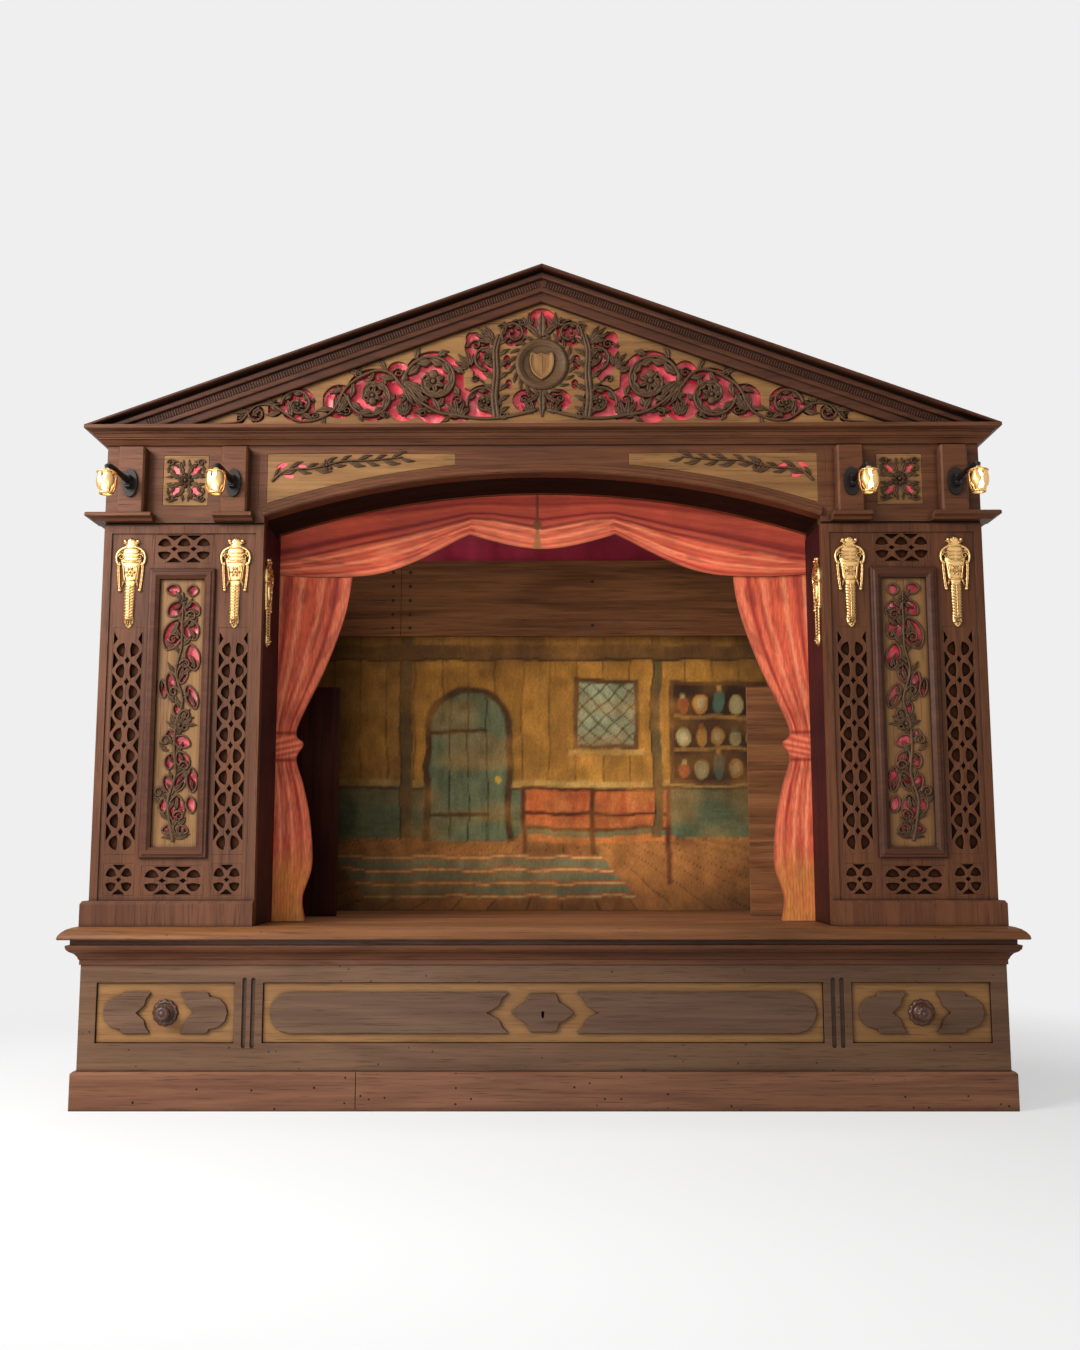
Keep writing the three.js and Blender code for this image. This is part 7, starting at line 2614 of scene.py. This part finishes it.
@dataclass
class DrawerKnobs:
    """Turned knobs on petalled rosettes."""

    radius: float = 0.0275
    height: float = 0.032
    # Share of the radius, share of the height, how deep the petals are there
    shares: tuple = ((0.02, 0.0, 0.0), (0.94, 0.0, 0.05), (0.96, 0.05, 0.05), (0.92, 0.11, 0.05),
        (0.84, 0.15, 0.05), (0.72, 0.15, 0.04), (0.64, 0.12, 0.02), (0.6, 0.13, 0.0),
        (0.58, 0.19, 0.0), (0.5, 0.22, 0.0), (0.32, 0.24, 0.0), (0.27, 0.32, 0.0),
        (0.26, 0.42, 0.0), (0.36, 0.5, 0.0), (0.52, 0.57, 0.03), (0.6, 0.66, 0.05),
        (0.61, 0.74, 0.05), (0.57, 0.84, 0.04), (0.46, 0.93, 0.02), (0.3, 0.97, 0.0),
        (0.26, 0.94, 0.0), (0.18, 0.95, 0.0), (0.12, 1.0, 0.0), (0.02, 1.0, 0.0))

    def build(self, finishes: Finishes) -> None:
        """Build both knobs.

        Args:
            finishes: The stand's finishes.
        """
        table = np.array(self.shares)
        profile = table[:, :2] * (self.radius, self.height)
        for side in ("left", "right"):
            low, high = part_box(f"{side}_drawer_knob")
            knob = lathe(profile, (low.x + high.x) / 2, high.y, 72, True, (low.z + high.z) / 2, 12,
                table[:, 2])
            settle(merged(f"{side}_knob_turned", [knob], finishes.knob), "wood",
                f"{side}_drawer_knob", body=f"{side}_drawer")


@dataclass
class RakingCornice:
    """The gable's raking moulding: a thin top over a shadow, a ribbed fascia, a bead, a flat."""

    half: float = 0.995
    foot_z: float = 1.4473
    ridge_z: float = 1.811
    rise: float = 0.364
    height: float = 0.071
    face_y: float = -0.361
    step: float = 0.041
    pitch: float = 0.006
    rib: float = 0.0036
    proud: float = 0.0022
    # Share of the height from the top, share of how far it stands out
    profile_shares: tuple = ((0.0, 0.0), (0.0, 0.985), (0.012, 1.0), (0.055, 1.0), (0.068, 0.985),
        (0.072, 0.93), (0.088, 0.9), (0.092, 0.48), (0.11, 0.36), (0.145, 0.32), (0.178, 0.36),
        (0.19, 0.56), (0.205, 0.605), (0.29, 0.6), (0.325, 0.575), (0.343, 0.51), (0.35, 0.43),
        (0.362, 0.395), (0.575, 0.37), (0.58, 0.43), (0.6, 0.475), (0.66, 0.49), (0.72, 0.475),
        (0.742, 0.43), (0.747, 0.33), (0.955, 0.3), (0.985, 0.27), (1.0, 0.22), (1.0, 0.0))
    fascia_shares: tuple = ((0.372, 0.392), (0.566, 0.371))

    def _ribs(self, tilt: float) -> Surface:
        """Return the ribs: one small bar repeated at a fixed pitch down the slope.

        Args:
            tilt: The slope's angle.

        Returns:
            The ribs of both slopes.
        """
        down = np.array([-sin(tilt), -cos(tilt)])
        run = np.array([cos(tilt), -sin(tilt)])
        (s0, f0), (s1, f1) = self.fascia_shares
        length = (self.ridge_z - self.foot_z - s1 * self.height) / sin(tilt) - 0.004
        places = np.arange(0.022, length, self.pitch)
        bar = np.array([(-0.5, 0.0), (-0.25, 1.0), (0.25, 1.0), (0.5, 0.0)])
        along = places[:, None] + self.rib * bar[:, 0]
        rows = []
        for share, out in ((s0, f0), (s1, f1)):
            x = along * run[0] + share * self.height * down[0]
            z = self.ridge_z + along * run[1] + share * self.height * down[1]
            y = np.broadcast_to(self.face_y - out * self.step - self.proud * bar[:, 1], along.shape)
            rows.append(np.stack([x, y, z], axis=2))
        points = np.stack(rows, axis=1).reshape(-1, 3)
        face = np.array([(0, 1, 5, 4), (1, 2, 6, 5), (2, 3, 7, 6), (3, 0, 4, 7), (3, 2, 1, 0),
            (4, 5, 6, 7)])
        quads = (face[None] + 8 * np.arange(len(places))[:, None, None]).reshape(-1, 4)
        return Surface(points, quads).outward()

    def build(self, finishes: Finishes) -> None:
        """Build the moulding, carried down both slopes to the flat cornice, and its ribs.

        Args:
            finishes: The stand's finishes.
        """
        tilt = atan2(self.rise, self.half)
        table = np.array(self.profile_shares)
        y = self.face_y - table[:, 1] * self.step
        top = self.ridge_z - table[:, 0] * self.height / cos(tilt)
        reach = (top - self.foot_z) / tan(tilt)
        t = np.linspace(-1.0, 1.0, 25)[:, None]
        x = t * reach
        rings = np.stack([x, np.broadcast_to(y, x.shape), top - np.abs(x) * tan(tilt)], axis=2)
        settle(merged("raking_moulding", [tube(rings)], finishes.raking, False), "wood",
            "raking_cornices")
        settle(merged("raking_ribs", list(self._ribs(tilt).both().values()), finishes.raking,
            False), "wood", "raking_cornices")


# The stand


def paint(nodes: Mapping[str, Object], material: Material, names: Iterable[str]) -> None:
    """Give nodes of the frame one material.

    Args:
        nodes: The frame's nodes.
        material: Their material.
        names: Which nodes take it.
    """
    for name in names:
        mesh = nodes[name].data
        mesh.materials.clear()
        mesh.materials.append(material)


def pairs(*names: str) -> list[str]:
    """Return the left and the right name of each piece."""
    return [f"{side}_{name}" for name in names for side in ("left", "right")]


def main() -> None:
    """Build the studio and dress the frame."""
    logging.basicConfig(level=logging.INFO, format="%(name)s: %(message)s")
    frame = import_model()
    nodes = frame["nodes"]
    effects = SharedEffects()
    finishes = Finishes(effects)
    Studio().build()
    dressed = (
        (finishes.base, ["base_front_frame", "base_carcass"]),
        (finishes.plinth, ["plinth"]),
        (finishes.ledge, ["ledge_top"]),
        (finishes.wood_z, pairs("pilaster_front")),
        (finishes.wood_x, ["ledge_moulding", "arch_header", "cornice", "rear_frame",
            *pairs("frieze_end")]),
        (finishes.raking, pairs("panel_frame")),
        (finishes.drawer, ["centre_drawer_front", *pairs("drawer_front")]),
        (finishes.shell, ["gable_shell"]),
        # the left side wall is painted darker than the right as painted shade
        (finishes.rough_z_shaded, ["left_side_wall"]),
        (finishes.rough_x, ["stage_floor", "stage_header", "centre_drawer_box",
            "right_side_wall", *pairs("drawer_box")]),
        (finishes.iron, [f"lamp_plate_{number}" for number in range(1, 5)]))
    for material, names in dressed:
        paint(nodes, material, names)
    for part in (Tympanum(), Medallion(), PilasterFret(), Tracery(), FriezeFrets(), SatinBacking(),
            RearCloth(), GiltMount(), PilasterCase(), Lamps(), DrawerKnobs(), RakingCornice(),
            PaintedDrapery(), HeaderNails(), PaintedRoom()):
        part.build(finishes)


if __name__ == "__main__":
    main()
